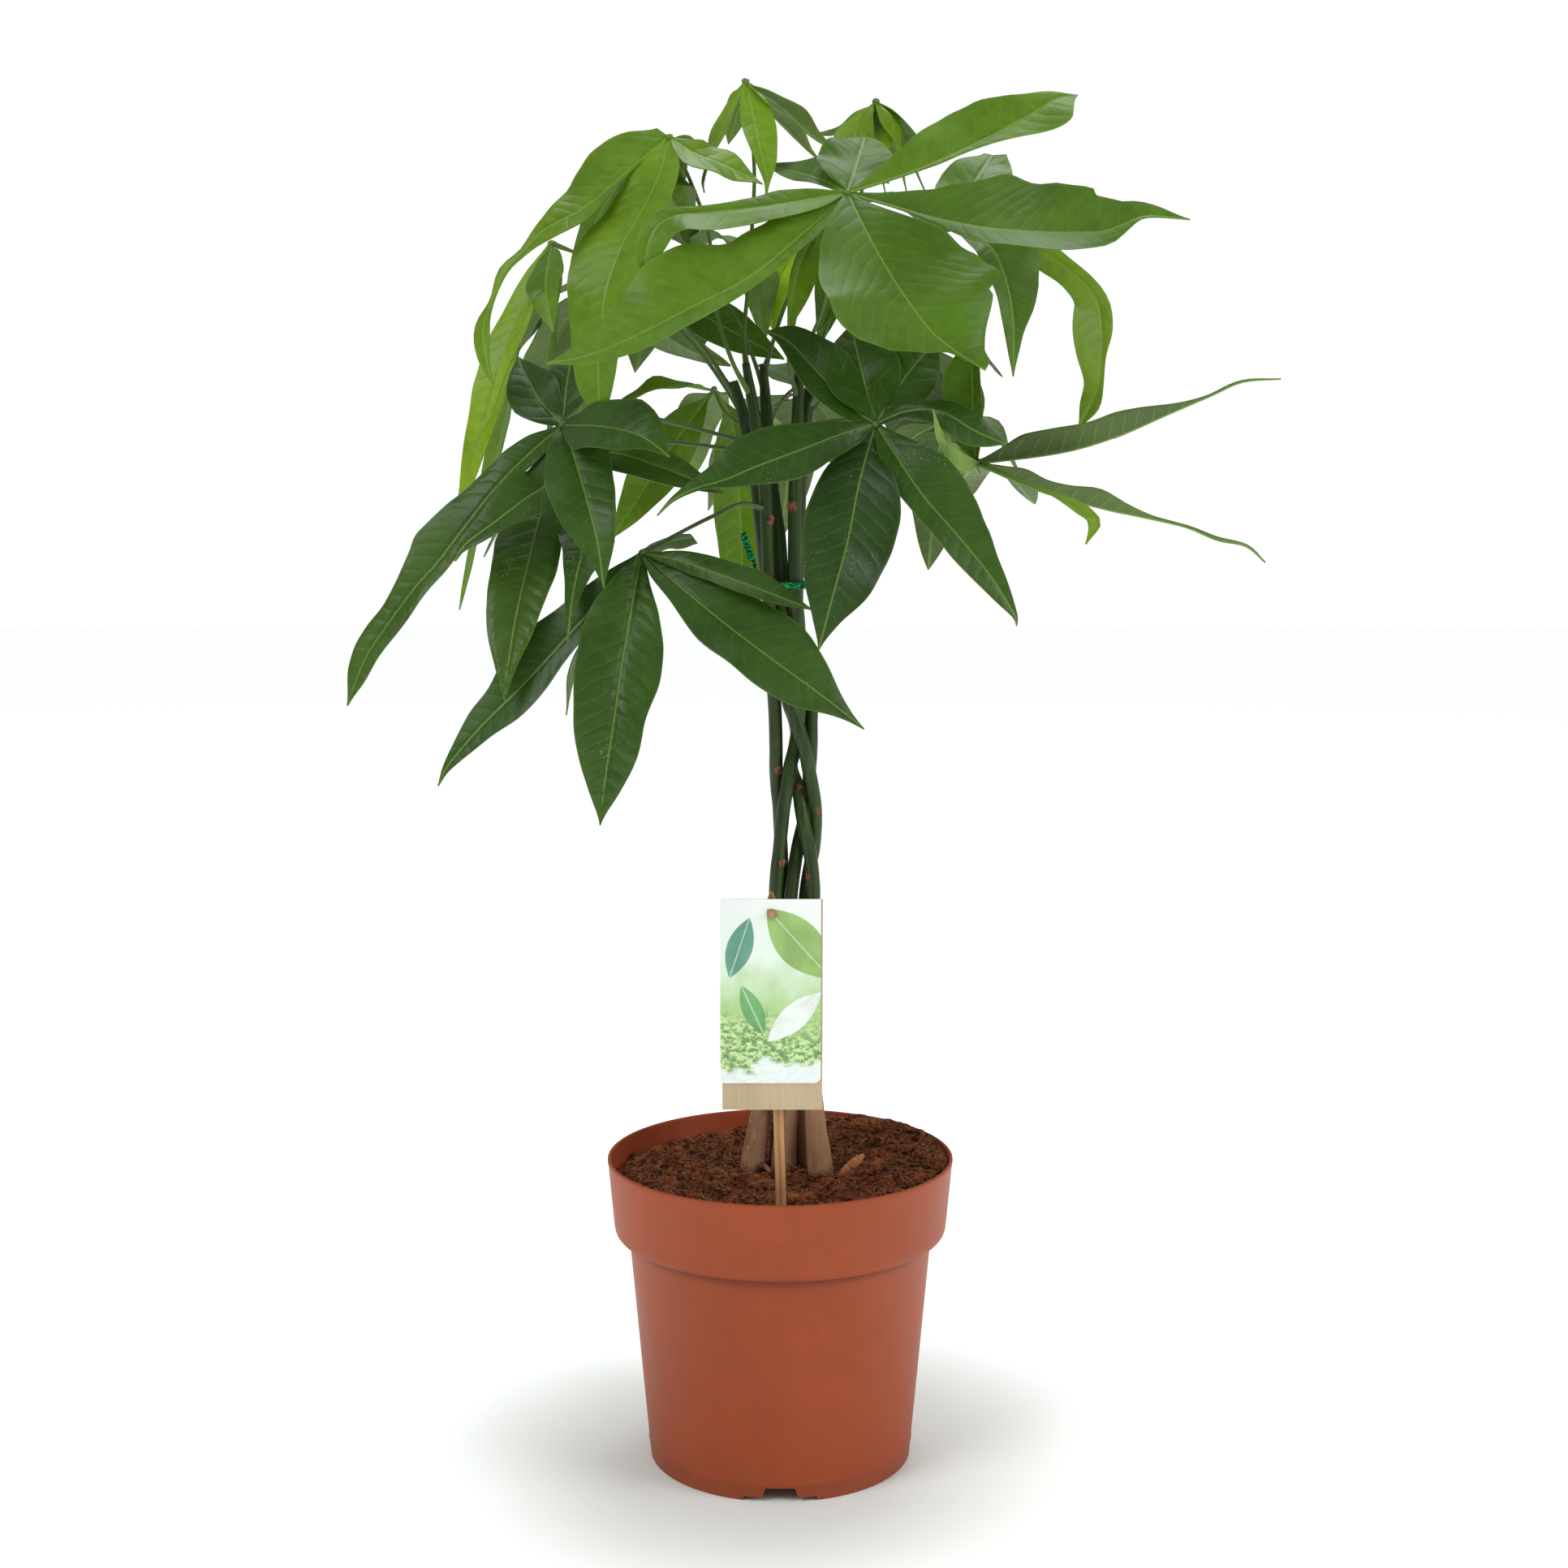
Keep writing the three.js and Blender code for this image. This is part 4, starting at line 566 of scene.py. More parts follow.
def foil_material(look):
    """Crinkled metallic foil."""
    made, s, shader = material("green_foil", Metallic=0.9)
    crinkle = s.node("ShaderNodeTexVoronoi", {"Vector": s.place(), "Scale": 900.0})
    wide = s.noise(s.place(), 500.0, 3.0)
    foil = tuple(look.foil)
    sparkle = s.span(crinkle.outputs["Distance"], 0.1, 0.6)
    s.feed(shader["Base Color"], s.mix(sparkle, tuple(min(c * 2.2 + 0.02, 1.0) for c in foil),
                                       toned(foil, 0.7)))
    s.feed(shader["Roughness"], s.span(wide, 0.3, 0.7, 0.12, 0.34))
    s.feed(shader["Normal"], s.bump(crinkle.outputs["Distance"], 0.8, 0.0006))
    return made


# ---------------------------------------------------------------- lines and meshes
def at(place):
    """Point in millimetres for a place read from the front as x, z and depth."""
    x, z, depth = place
    scale = (EYE_DISTANCE - depth) / EYE_DISTANCE
    return Vector((x * scale, -depth, EYE_HEIGHT + (z - EYE_HEIGHT) * scale))


def eased(a, b, leave, arrive, t):
    """Smooth way from a to b at t, with the headings at both ends."""
    square, cube = t * t, t * t * t
    return ((2 * cube - 3 * square + 1) * a + (cube - 2 * square + t) * leave
            + (3 * square - 2 * cube) * b + (cube - square) * arrive)


class Line:
    """Smooth line through points, read by the share of its length."""

    def __init__(self, points, even=False, steps=16):
        points = [Vector(p) for p in points]
        knots = [2 * points[0] - points[1], *points, 2 * points[-1] - points[-2]]
        self.places = []
        for four in zip(knots, knots[1:], knots[2:], knots[3:]):
            self.places += [self.between(four, i / steps, even) for i in range(steps)]
        self.places.append(points[-1])
        self.reach = [0.0]
        for a, b in zip(self.places, self.places[1:]):
            self.reach.append(self.reach[-1] + (b - a).length)
        self.length = self.reach[-1]

    @staticmethod
    def between(four, t, even):
        p0, p1, p2, p3 = four
        if even:
            leave, arrive = (p2 - p0) / 2, (p3 - p1) / 2
        else:
            d0, d1, d2 = (max((b - a).length ** 0.5, 1e-4) for a, b in zip(four, four[1:]))
            leave = ((p1 - p0) / d0 - (p2 - p0) / (d0 + d1) + (p2 - p1) / d1) * d1
            arrive = ((p2 - p1) / d1 - (p3 - p1) / (d1 + d2) + (p3 - p2) / d2) * d1
        return eased(p1, p2, leave, arrive, t)

    def locate(self, t):
        goal = min(max(t, 0.0), 1.0) * self.length
        low, high = 0, len(self.reach) - 1
        while high - low > 1:
            middle = (low + high) // 2
            if self.reach[middle] <= goal:
                low = middle
            else:
                high = middle
        return low, (goal - self.reach[low]) / max(self.reach[high] - self.reach[low], 1e-9)

    def point(self, t):
        index, part = self.locate(t)
        return self.places[index].lerp(self.places[index + 1], part)

    def heading(self, t):
        step = 0.004
        return (self.point(t + step) - self.point(t - step)).normalized()


def level_between(marks, x):
    """Value at x on a broken line through (x, value) marks."""
    for (x0, v0), (x1, v1) in zip(marks, marks[1:]):
        if x <= x1:
            return v0 + (v1 - v0) * max(x - x0, 0.0) / (x1 - x0)
    return marks[-1][1]


def profile_at(widths, t):
    """Smooth value at t on evenly spaced values."""
    spot = min(max(t, 0.0), 1.0) * (len(widths) - 1)
    index = min(int(spot), len(widths) - 2)
    part = spot - index
    around = [widths[min(max(index + k, 0), len(widths) - 1)] for k in (-1, 0, 1, 2)]
    leave, arrive = (around[2] - around[0]) / 2, (around[3] - around[1]) / 2
    return eased(around[1], around[2], leave, arrive, part)


def layer(bm, name):
    return bm.verts.layers.float.get(name) or bm.verts.layers.float.new(name)


def faces_of(verts):
    return {face for vert in verts for face in vert.link_faces}


def smooth(faces, slot=0):
    for face in faces:
        face.smooth = True
        face.material_index = slot


def lathe(bm, outline, centre, axis, steps):
    """A closed body turned from an outline in millimetres about an axis."""
    corners = [bm.verts.new(Vector(p) * MM) for p in outline]
    edges = [bm.edges.new(pair) for pair in zip(corners, corners[1:])]
    bmesh.ops.spin(bm, geom=corners + edges, cent=Vector(centre) * MM, axis=axis,
                   angle=2 * math.pi, steps=steps, use_merge=True)
    bmesh.ops.remove_doubles(bm, verts=bm.verts, dist=1e-6)
    bmesh.ops.recalc_face_normals(bm, faces=bm.faces)


def mesh_of(bm, name="spare"):
    mesh = bpy.data.meshes.new(name)
    bm.to_mesh(mesh)
    bm.free()
    return mesh


def put(name, data):
    """A new object in the scene."""
    made = bpy.data.objects.new(name, data)
    bpy.context.scene.collection.objects.link(made)
    return made


def sheet_grid(bm, rows, columns, place):
    """A grid with each corner put where place says for its shares u and v. Gives its corners."""
    made = bmesh.ops.create_grid(bm, x_segments=rows, y_segments=columns, size=1.0)["verts"]
    for vert in made:
        vert.co = place(vert, (vert.co.x + 1) / 2, (vert.co.y + 1) / 2)
    return made


def tube(bm, line, radius_at, rows, sides, relief=None, slot=0):
    """A round body along a line: a grid rolled round it, welded and closed at its ends."""
    start = line.heading(0.0)
    square = start.orthogonal().normalized()
    frames = []
    for i in range(rows + 1):
        ahead = line.heading(i / rows)
        square = (square - ahead * square.dot(ahead)).normalized()
        frames.append((line.point(i / rows), square.copy(), ahead.cross(square)))

    def place(vert, u, v):
        centre, first, second = frames[round(u * rows)]
        angle = 2 * math.pi * v
        radius = radius_at(u, centre.z)
        if relief:
            radius += relief(centre, first * math.cos(angle) + second * math.sin(angle))
        return (centre + radius * (first * math.cos(angle) + second * math.sin(angle))) * MM

    made = sheet_grid(bm, rows, sides, place)
    faces = faces_of(made)
    bmesh.ops.remove_doubles(bm, verts=made, dist=1e-7)
    faces = [face for face in faces if face.is_valid]
    rims = {edge for face in faces for edge in face.edges if edge.is_boundary}
    faces += bmesh.ops.holes_fill(bm, edges=list(rims), sides=sides + 1)["faces"]
    bmesh.ops.recalc_face_normals(bm, faces=faces)
    smooth(faces, slot)
    return faces


def crisp(bm, degrees):
    """Smooth faces, with a hard edge wherever they turn by more than the angle."""
    smooth(bm.faces)
    limit = math.radians(degrees)
    for edge in bm.edges:
        if len(edge.link_faces) == 2:
            edge.smooth = edge.calc_face_angle(0.0) < limit


def piece(name, bm, materials, slot, *nodes):
    """Turns a bmesh into a finished piece that rides on the plant and stands for its nodes."""
    mesh = mesh_of(bm, name)
    for one in materials:
        mesh.materials.append(one)
    made = put(name, mesh)
    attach(made, "root")
    if nodes:
        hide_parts(*nodes)
    return made


def pebble(bm, centre, size, turn, subdivisions, slot, rough, seed):
    """A small lumpy ball, stretched to size and turned."""
    made = bmesh.ops.create_icosphere(bm, subdivisions=subdivisions, radius=1.0)["verts"]
    shape = Matrix.Diagonal(size)
    for vert in made:
        lump = 1.0 + rough * noise.noise(vert.co * 1.7 + Vector((seed, 0.0, seed * 0.7)))
        vert.co = (centre + turn @ (shape @ (vert.co * lump))) * MM
    smooth(faces_of(made), slot)
    return made


# ---------------------------------------------------------------- routes and leaves
STEM_ROUTES = {
  "stem_1": [
    (15, 14, 118), (13.5, 12, 150), (13, 10, 175), (13, 9, 200), (11.5, 11, 225),
    (8, 12.5, 237), (4, 11, 250), (2, 8, 262), (1.5, 6, 276), (1, 3.8, 290), (0.5, 3.6, 300),
    (0, 3.1, 310), (-0.5, 2.5, 320), (-1.5, 1.7, 330), (-2, 0.2, 340), (-2, -1, 350),
    (-2.6, -2, 370), (-3.8, -2.5, 385), (-5, -2.5, 400), (-5.2, -2.5, 425), (-6, -3, 450),
    (-7, -3.2, 470), (-11, -4, 500), (-16, -6, 530),
  ],
  "stem_2": [
    (-16, 5, 118), (-12.6, 3.5, 150), (-9, 3, 175), (-7.5, 1.5, 200), (-5, 0, 225),
    (-3.5, -2, 250), (-2.4, -3, 276), (-1.7, -4, 290), (-0.5, -4.5, 300), (0.5, -5, 310),
    (1.5, -5, 320), (3.2, -5, 330), (4.5, -3.7, 340), (7, -0.7, 350), (8.5, 0.9, 360),
    (9.3, 1.5, 370), (9.8, 0.5, 385), (9.2, -1, 400), (8.4, -2.2, 412), (7, -3, 425),
    (6.8, -3.2, 450), (7, -3.4, 470), (8, -4, 500), (9, -6, 535),
  ],
  "stem_3": [
    (0, 19, 118), (0.5, 16, 150), (0, 12, 175), (0.5, 8, 200), (3, 5.5, 225), (6, 5, 237),
    (9, 5.8, 250), (11, 6, 262), (12, 3.9, 276), (14, 3.8, 290), (16, 3, 300),
    (16.8, 1, 310), (16.8, -1.5, 320), (15.5, -3.2, 330), (13.5, -4.7, 340), (11.5, -6.2, 350),
    (8.5, -6.2, 360), (6, -5.7, 370), (3.5, -4.7, 385), (2, -3.6, 400), (1.5, -0.3, 412),
    (1, 3, 425), (-0.6, 3.8, 450), (-3.5, 4.2, 470), (-6, 6, 500), (-8, 11, 530),
  ],
  "stem_4": [
    (1, 3, 118), (2, 1.5, 150), (4, -2, 175), (5, -4.5, 200), (6, -7.5, 225), (8, -9, 237),
    (11, -9, 250), (14, -6.8, 262), (16, -4, 276), (15.5, -4.2, 290), (14, -4.8, 300),
    (12, -4.8, 310), (10, -3.6, 320), (8.5, 0.6, 330), (5.2, 4.7, 340), (8, 6.6, 350),
    (7.3, 8.1, 360), (4, 7, 370), (1.5, 6, 385), (-1.5, 4.7, 400), (-6, 5, 425),
    (-8.7, 3.8, 450), (-10.8, 3.7, 470), (-16, 4.5, 500), (-22, 6, 522),
  ],
  "stem_5": [
    (22, -7, 118), (19, -5.5, 150), (16.5, -5, 175), (15.5, -4.5, 200), (14, -3.5, 225),
    (12, -2.3, 237), (9, -1.5, 250), (6.5, -0.3, 262), (5.2, -0.6, 276), (6.7, -0.4, 290),
    (8.2, 1.6, 300), (10.6, 4.6, 310), (12.7, 5, 320), (13.5, 5.6, 330), (14.2, 5, 340),
    (14.8, 4.4, 350), (14.8, 5.4, 360), (14.8, 6, 370), (11.4, 7.4, 385), (8, 6.6, 400),
    (7.9, 4.6, 425), (8.7, 4.2, 450), (9.2, 4.2, 470), (11.5, 4.5, 500), (15, 7, 525),
  ],
}

FACING_UP = (0, 0, 1)
FACING_FRONT = (0.05, -0.75, 0.65)

# A leaflet's shade pair gives its brightness at the base and at the tip: partly its own tone,
# partly painted shade and painted light; 2 paints light shining through it.
LEAVES = [
  {
    "name": "leaf_01", "tone": "mid", "stem": "stem_2", "foot": 530, "up": FACING_FRONT,
    "petiole": [(18, 550, 17), (23, 567, 30), (28, 587, 42)], "hub": (31, 608, 55),
    "leaflets": [
      {"rib": [(62, 618, 50), (92, 631, 42), (115, 643, 33), (127, 650, 27), (137, 652, 21)],
        "left": [1, 6, 12, 18, 20, 18, 13, 7, 0.3], "right": [1, 1, 1, 2, 3, 7, 12, 14, 0.3]},
      {"rib": [(49, 603, 59), (70, 597, 64), (90, 593, 68), (107, 591, 71), (125, 590, 73),
        (140, 590, 74), (150, 590.5, 75), (160, 594, 75), (170, 597.5, 74), (190, 596, 70)],
        "left": [1, 4.7, 9.3, 15.3, 23.3, 32, 30, 26.6, 23.3, 18.6, 10.6, 5.3, 0.3],
        "right": [1, 1, 1, 2.7, 6.6, 10.6, 12, 13.3, 12.4, 8, 2, 0.7, 0.3], "shade": (0.1, 0.3)},
      {"rib": [(41, 588.4, 74), (54, 566.7, 86), (68, 547.7, 96), (76, 540, 99), (86, 533, 101),
        (96, 527, 101)],
        "left": [1.5, 9.5, 19, 31, 37, 39, 36, 27, 4], "ragged": 0.3,
        "right": [1.5, 8, 15, 22, 28, 33, 36, 37, 34, 19, 4, 1, 0.3], "shade": (0.1, 0.3)},
      {"rib": [(10, 589, 70), (-14, 570, 84), (-41, 556, 95), (-67, 543, 102), (-89, 534, 105),
        (-109, 530, 105)],
        "right": [1, 10, 17, 20, 27, 27, 20, 11, 0.3], "left": [1, 5, 6, 5.5, 7, 9, 10, 6, 0.3]},
      {"rib": [(-5, 602, 64), (-32, 599, 74), (-50, 597, 80), (-60, 588, 82), (-64, 567, 84)],
        "right": [1, 5, 8, 6, 4, 4, 6, 5, 0.3], "left": [1, 7, 10, 10, 11, 13, 11, 7, 0.3],
        "shade": (0.3, 0.5)},
      {"rib": [(16, 615, 40), (0, 619, 14), (-8, 621, 2)],
        "right": [1, 8, 13, 12, 6, 0.3], "left": [1, 4, 7, 7, 4, 0.3], "shade": (0.1, 0.2)},
      {"width": 36, "fullness": 0.6, "rib": [(35, 620, 37), (39, 633, 14)], "shade": (0.1, 0.2)},
    ],
  },
  {
    "name": "leaf_02", "tone": "young", "stem": "stem_1", "foot": 524, "up": FACING_UP,
    "petiole": [(-17, 541, 4), (-15, 564, 2), (-13, 593, 0), (-12, 620, -2)], "hub": (-16, 658, 0),
    "leaflets": [
      {"rib": [(-24, 643, 6), (-30, 629, 10), (-35.5, 615, 13), (-35, 608, 14)],
        "right": [1, 4.5, 6.5, 6.5, 4.5, 1.5, 0.3], "left": [1, 4, 5, 5, 4, 1.5, 0.3]},
      {"rib": [(-12.5, 643, 10), (-9.6, 629, 20), (-6.3, 615, 28), (-7, 601, 34)],
        "right": [1, 5, 6.5, 6, 4, 1, 0.3], "left": [1, 7, 9.5, 9, 6, 1.2, 0.3]},
      {"rib": [(-7, 647, 0), (4, 637, -2), (12, 628, -4), (20, 621, -6), (24, 614, -7)],
        "right": [1, 6, 10, 10, 6, 1.5, 0.3], "left": [1, 4, 7, 7, 4.5, 1, 0.3]},
      {"width": 16, "rib": [(0, 648, -12), (13, 636, -24), (24, 628, -34)]},
      {"width": 12, "rib": [(-20, 644, -14), (-24, 630, -24)]},
    ],
  },
  {
    "name": "leaf_03", "tone": "young", "stem": "stem_5", "foot": 520, "up": FACING_UP,
    "petiole": [(21, 545, -14), (30, 575, -20), (38, 610, -26)], "hub": (44, 649, -26),
    "leaflets": [
      {"width": 20, "rib": [(36, 639, -18), (34, 626, -14), (36, 612, -12)]},
      {"rib": [(45, 636, -16), (46, 622, -10), (49, 607, -8)],
        "right": [1, 7, 9, 7, 3, 1, 0.3], "left": [1, 6, 8, 6, 2.5, 1, 0.3]},
      {"rib": [(51, 638, -20), (55, 624, -18), (59, 607, -16)],
        "right": [1, 6, 8, 7, 3, 1, 0.3], "left": [1, 5, 7, 6, 2.5, 1, 0.3]},
      {"rib": [(55, 638, -30), (61, 622, -34), (68, 607, -36)],
        "right": [1, 6, 8, 7, 3, 1, 0.3], "left": [1, 5, 7, 6, 2.5, 1, 0.3]},
      {"width": 12, "rib": [(32, 638, -38), (21, 634, -44), (12, 638, -48)], "shade": (0, 0.2)},
      {"width": 15, "rib": [(48, 638, -42), (50, 612, -54)]},
    ],
  },
  {
    "name": "leaf_04", "tone": "young", "stem": "stem_1", "foot": 514, "up": (-0.2, -0.5, 0.8),
    "petiole": [(-22, 530, 12), (-31, 560, 12), (-33, 588, 10), (-41, 612, 20)],
    "hub": (-51, 633, 30),
    "leaflets": [
      {"up": (-0.3, -0.72, 0.6), "rib": [(-66, 621.5, 38), (-89, 602.5, 50), (-101.5, 595.5, 56),
        (-111, 590, 60), (-120, 580.5, 62), (-128, 572, 63), (-134.5, 558, 63), (-138.5, 546, 62),
        (-137, 531, 60), (-134.5, 520, 59)],
        "right": [8, 17, 22, 20, 15, 10.5, 4.5, 2, 3.5, 1.5, 4.5, 4, 0.3],
        "left": [1, 1.5, 2, 4, 7, 8.5, 8, 3, 2, 1.5, 4, 1.5, 0.3], "shade": (0.15, 0.5)},
      {"rib": [(-56, 616, 44), (-64, 600, 54), (-73, 585, 61), (-79, 570, 65), (-82, 558, 67),
        (-85, 531, 67), (-84, 499, 64)], "shade": (0.45, 0.2),
        "right": [1.5, 12, 16, 19, 19.5, 17, 14, 9.5, 0.3],
        "left": [1.5, 9, 14, 18, 20, 18, 13, 7, 0.3]},
      {"up": (0.1, -0.55, 0.8), "rib": [(-40, 626, 34), (-25, 620, 34), (-8, 612, 32)],
        "left": [1, 6, 10, 11, 9, 5, 0.3], "right": [1, 7, 12, 14, 12, 6, 0.3],
        "shade": (0.2, 0.5)},
      {"width": 24, "rib": [(-46, 618, 18), (-42, 594, 6)], "shade": (0.2, 0.4)},
      {"width": 28, "rib": [(-76, 610, 16), (-98, 572, 10)], "shade": (0, 0.1)},
      {"width": 28, "rib": [(-52, 625, 2), (-50, 596, -26)]},
    ],
  },
  {
    "name": "leaf_05", "tone": "young", "stem": "stem_4", "foot": 512, "up": (-0.5, -0.3, 0.8),
    "petiole": [(-38, 540, -10), (-62, 564, -14), (-86, 577, -12)], "hub": (-106, 585, -6),
    "leaflets": [
      {"width": 10, "rib": [(-112, 569, 6), (-117, 554, 14), (-125, 535, 20), (-131, 520, 23),
        (-137, 504, 26), (-146, 490, 28)], "shade": (0.5, 0.8)},
      {"up": (-0.4, -0.8, 0.4), "rib": [(-118, 560, 0), (-127, 540, 6), (-134.5, 515, 11),
        (-142, 492, 13), (-149, 469, 13), (-154, 452, 12)],
        "right": [1.5, 6, 9, 10.5, 10.5, 9, 7, 3, 0.3], "left": [1.5, 5, 6, 7.5, 8, 7.5, 6, 3, 0.3],
        "shade": (0.5, 0.8)},
      {"width": 20, "rib": [(-109, 566, 16), (-106, 545, 26)], "shade": (0, 0.3)},
      {"width": 24, "rib": [(-118, 555, -18), (-130, 500, -28), (-142, 455, -30),
        (-152, 415, -30)], "shade": (0, 0.3)},
      {"width": 24, "rib": [(-104, 560, -26), (-106, 510, -40), (-112, 470, -44)],
        "shade": (0, 0.3)},
    ],
  },
  {
    "name": "leaf_06", "tone": "dark", "stem": "stem_1", "foot": 492, "up": (-0.2, -0.6, 0.75),
    "petiole": [(-40, 500, 12), (-70, 507, 32), (-90, 508, 48)], "hub": (-102, 501.5, 60),
    "leaflets": [
      {"up": (-0.25, -0.85, 0.45), "rib": [(-118, 488, 66), (-134, 472, 72), (-151, 451, 77),
        (-162, 437, 79), (-173, 425, 81), (-191, 401, 82), (-198, 389.5, 82), (-206, 369.5, 80)],
        "right": [1, 7, 9.5, 11, 14, 15, 10, 7.7, 8.3, 5.8, 0.3],
        "left": [1, 6, 6, 6, 6.3, 6, 6.5, 8, 6.6, 4.7, 0.3], "shade": (0.5, 0.8),
        "puff": 0.4},
      {"up": (-0.1, -0.85, 0.5), "rib": [(-104, 487, 68), (-110, 474, 74), (-119, 468, 78),
        (-135, 456, 85), (-149, 445.5, 88), (-153.5, 438, 88)],
        "right": [1, 7, 11, 12, 9, 5, 0.3], "left": [1, 7, 11, 11, 7, 4.5, 0.3],
        "shade": (0.4, 0.6)},
      {"up": (0.05, -0.9, 0.3), "rib": [(-98, 491, 70), (-91, 467, 86), (-86, 446, 95),
        (-83.3, 425.4, 98)],
        "right": [1.5, 9, 13.5, 16.5, 16, 14, 9, 4, 0.3],
        "left": [1.5, 12, 15, 14.5, 13, 11, 8, 4, 0.3], "shade": (0.4, 0.6)},
      {"up": (-0.1, -0.8, 0.6), "rib": [(-84, 501, 79), (-69, 498, 89), (-61, 494, 92),
        (-52, 487, 94)],
        "left": [1, 9, 14, 16, 15, 9, 0.3], "right": [1, 9, 15, 15, 12, 5, 0.3],
        "shade": (0.35, 0.6)},
      {"up": (-0.1, -0.8, 0.6), "rib": [(-111, 511, 52), (-116, 519, 44), (-121, 529, 34),
        (-122, 533, 30)],
        "left": [1, 8, 12, 13, 12, 9, 5, 0.3], "right": [1, 5, 9, 11, 11, 9, 5, 0.3],
        "shade": (0.2, 0.4)},
      {"width": 22, "rib": [(-100, 519, 48), (-97, 535, 34)], "shade": (0.3, 0.4)},
    ],
  },
  {
    "name": "leaf_07", "tone": "dark", "stem": "stem_1", "foot": 462, "up": (-0.1, -0.65, 0.7),
    "petiole": [(-17, 465, 12), (-32, 459, 30), (-48, 451, 50)], "hub": (-65, 442, 70),
    "leaflets": [
      {"up": (-0.1, -0.85, 0.5), "rib": [(-84, 421, 78), (-105, 398, 84), (-122, 379.6, 88),
        (-142, 360, 91), (-158, 341.5, 92), (-163.5, 331, 92)],
        "right": [1, 6, 10, 13, 15, 14, 10, 8, 3.5, 0.3],
        "left": [1, 5, 8, 7, 7.5, 10, 11, 7, 3.5, 0.3], "shade": (0.25, 0.6)},
      {"up": (0.05, -0.9, 0.3), "rib": [(-69.4, 421, 84), (-74.6, 392, 98), (-79, 363.6, 106),
        (-83.6, 334, 108), (-86.2, 312, 106)],
        "right": [1.5, 10, 17.5, 20, 19.4, 18, 14, 7, 0.3],
        "left": [1.5, 6, 12.5, 16.8, 17, 13.5, 12.5, 7, 0.3], "shade": (0.45, 0.65),
        "puff": 1},
      {"width": 20, "up": (-0.95, 0.1, 0.3), "rib": [(-82, 412, 62), (-97, 388, 62),
        (-102, 365, 60)]},
      {"rib": [(-52, 430, 82), (-28, 410, 96), (-3, 391, 105), (21, 373.5, 109),
        (40, 358.4, 108)],
        "left": [1.5, 7, 11, 16, 19.5, 21, 18.5, 12.5, 5, 0.3],
        "right": [1.5, 6, 8.5, 12.5, 16, 17, 16, 12.5, 5, 0.3]},
      {"rib": [(-45, 437.5, 80), (-18, 428, 90), (8, 418, 95), (16, 415, 95)],
        "left": [1, 4, 7, 8.5, 8, 5, 0.3], "right": [1, 4, 5.5, 6.5, 6, 4, 0.3]},
      {"up": (0.2, 0.8, -0.5), "fold": 0.05, "rib": [(-54, 446.5, 58), (-41, 449, 50)],
        "left": [1, 3, 4, 4.5, 4.5, 4], "right": [1, 2, 2.5, 3, 3, 2.5], "shade": (0.6, 0.7)},
      {"width": 26, "rib": [(-72, 420, 56), (-78, 388, 52)]},
    ],
  },
  {
    "name": "leaf_08", "tone": "dark", "stem": "stem_2", "foot": 498, "up": (0, -0.85, 0.5),
    "petiole": [(17, 502, 22), (34, 504, 48)], "hub": (44.7, 502, 70),
    "leaflets": [
      {"rib": [(29, 497.5, 78), (8, 489.5, 84), (-12, 482, 89), (-25, 476.5, 91), (-40, 472, 93),
        (-50, 467, 94), (-58, 459.5, 94)],
        "right": [1, 5, 10.5, 14, 15, 13, 7, 2.3, 0.3],
        "left": [1, 8, 11.5, 13, 11.5, 7, 2.3, 1, 0.3], "shade": (0.3, 0.55)},
      {"rib": [(33, 510, 66), (18, 525.5, 58), (4, 540, 52), (-7, 545, 50)],
        "right": [1, 8, 13, 15, 13, 9, 0.3], "left": [1, 7, 9, 9.5, 8, 5, 0.3]},
      {"width": 34, "rib": [(38, 527, 58), (33, 548, 44)]},
      {"rib": [(53, 516, 64), (65, 532, 56), (74, 540, 50)],
        "left": [1, 6, 10, 12, 10, 6, 0.3], "right": [1, 7, 13, 15, 13, 8, 0.3]},
      {"rib": [(58.7, 507.8, 76), (75, 508, 82), (91, 499, 84), (106, 492.6, 82)],
        "left": [1, 2, 3, 4, 6, 7, 7, 4, 0.3], "right": [1, 3, 4, 6, 8, 9, 8, 5, 0.3],
        "shade": (0.2, 0.5)},
      {"rib": [(53, 489.5, 78), (67, 469, 88), (82, 452, 95), (96, 435.4, 99), (103, 425.5, 100),
        (111, 412.7, 100), (112, 407.5, 99)], "shade": (0.4, 0.65),
        "left": [1.5, 8.5, 16, 19.5, 17, 12, 7, 3.8, 0.3],
        "right": [1.5, 6.5, 9, 8.5, 8.8, 9.3, 7.5, 4.3, 0.3]},
      {"rib": [(43, 496, 74), (37, 474, 86), (32, 448, 98), (25.7, 424.5, 102),
        (18.2, 396, 102)],
        "right": [1.5, 7, 15.5, 19, 20, 18, 13.5, 6.5, 0.3],
        "left": [1.5, 4, 15, 20, 20.5, 18.5, 15, 6, 0.3], "shade": (0, 0.25)},
    ],
  },
  {
    "name": "leaf_09", "tone": "mid", "stem": "stem_5", "foot": 486, "up": (0.05, -0.35, 0.95),
    "petiole": [(35, 486, 4), (65, 486, 20)], "hub": (92, 484, 35),
    "leaflets": [
      {"up": (0, 0.45, 0.9), "fold": 0.6, "rib": [(125, 488, 40), (144, 492, 44),
        (163, 498.5, 47), (180, 506, 49), (201, 515, 50), (216, 521.5, 50), (234, 523, 48)],
        "right": [1, 5, 11, 12.5, 11.5, 10, 9, 6, 3, 1.2, 1.2, 0.8, 0.3],
        "left": [1, 5, 9, 11, 11, 11, 10, 9, 6, 2, 1.2, 0.8, 0.3], "shade": (0, 0.1)},
      {"up": (0, 0.4, 0.9), "fold": 0.5, "rib": [(120, 472, 42), (140, 466, 48),
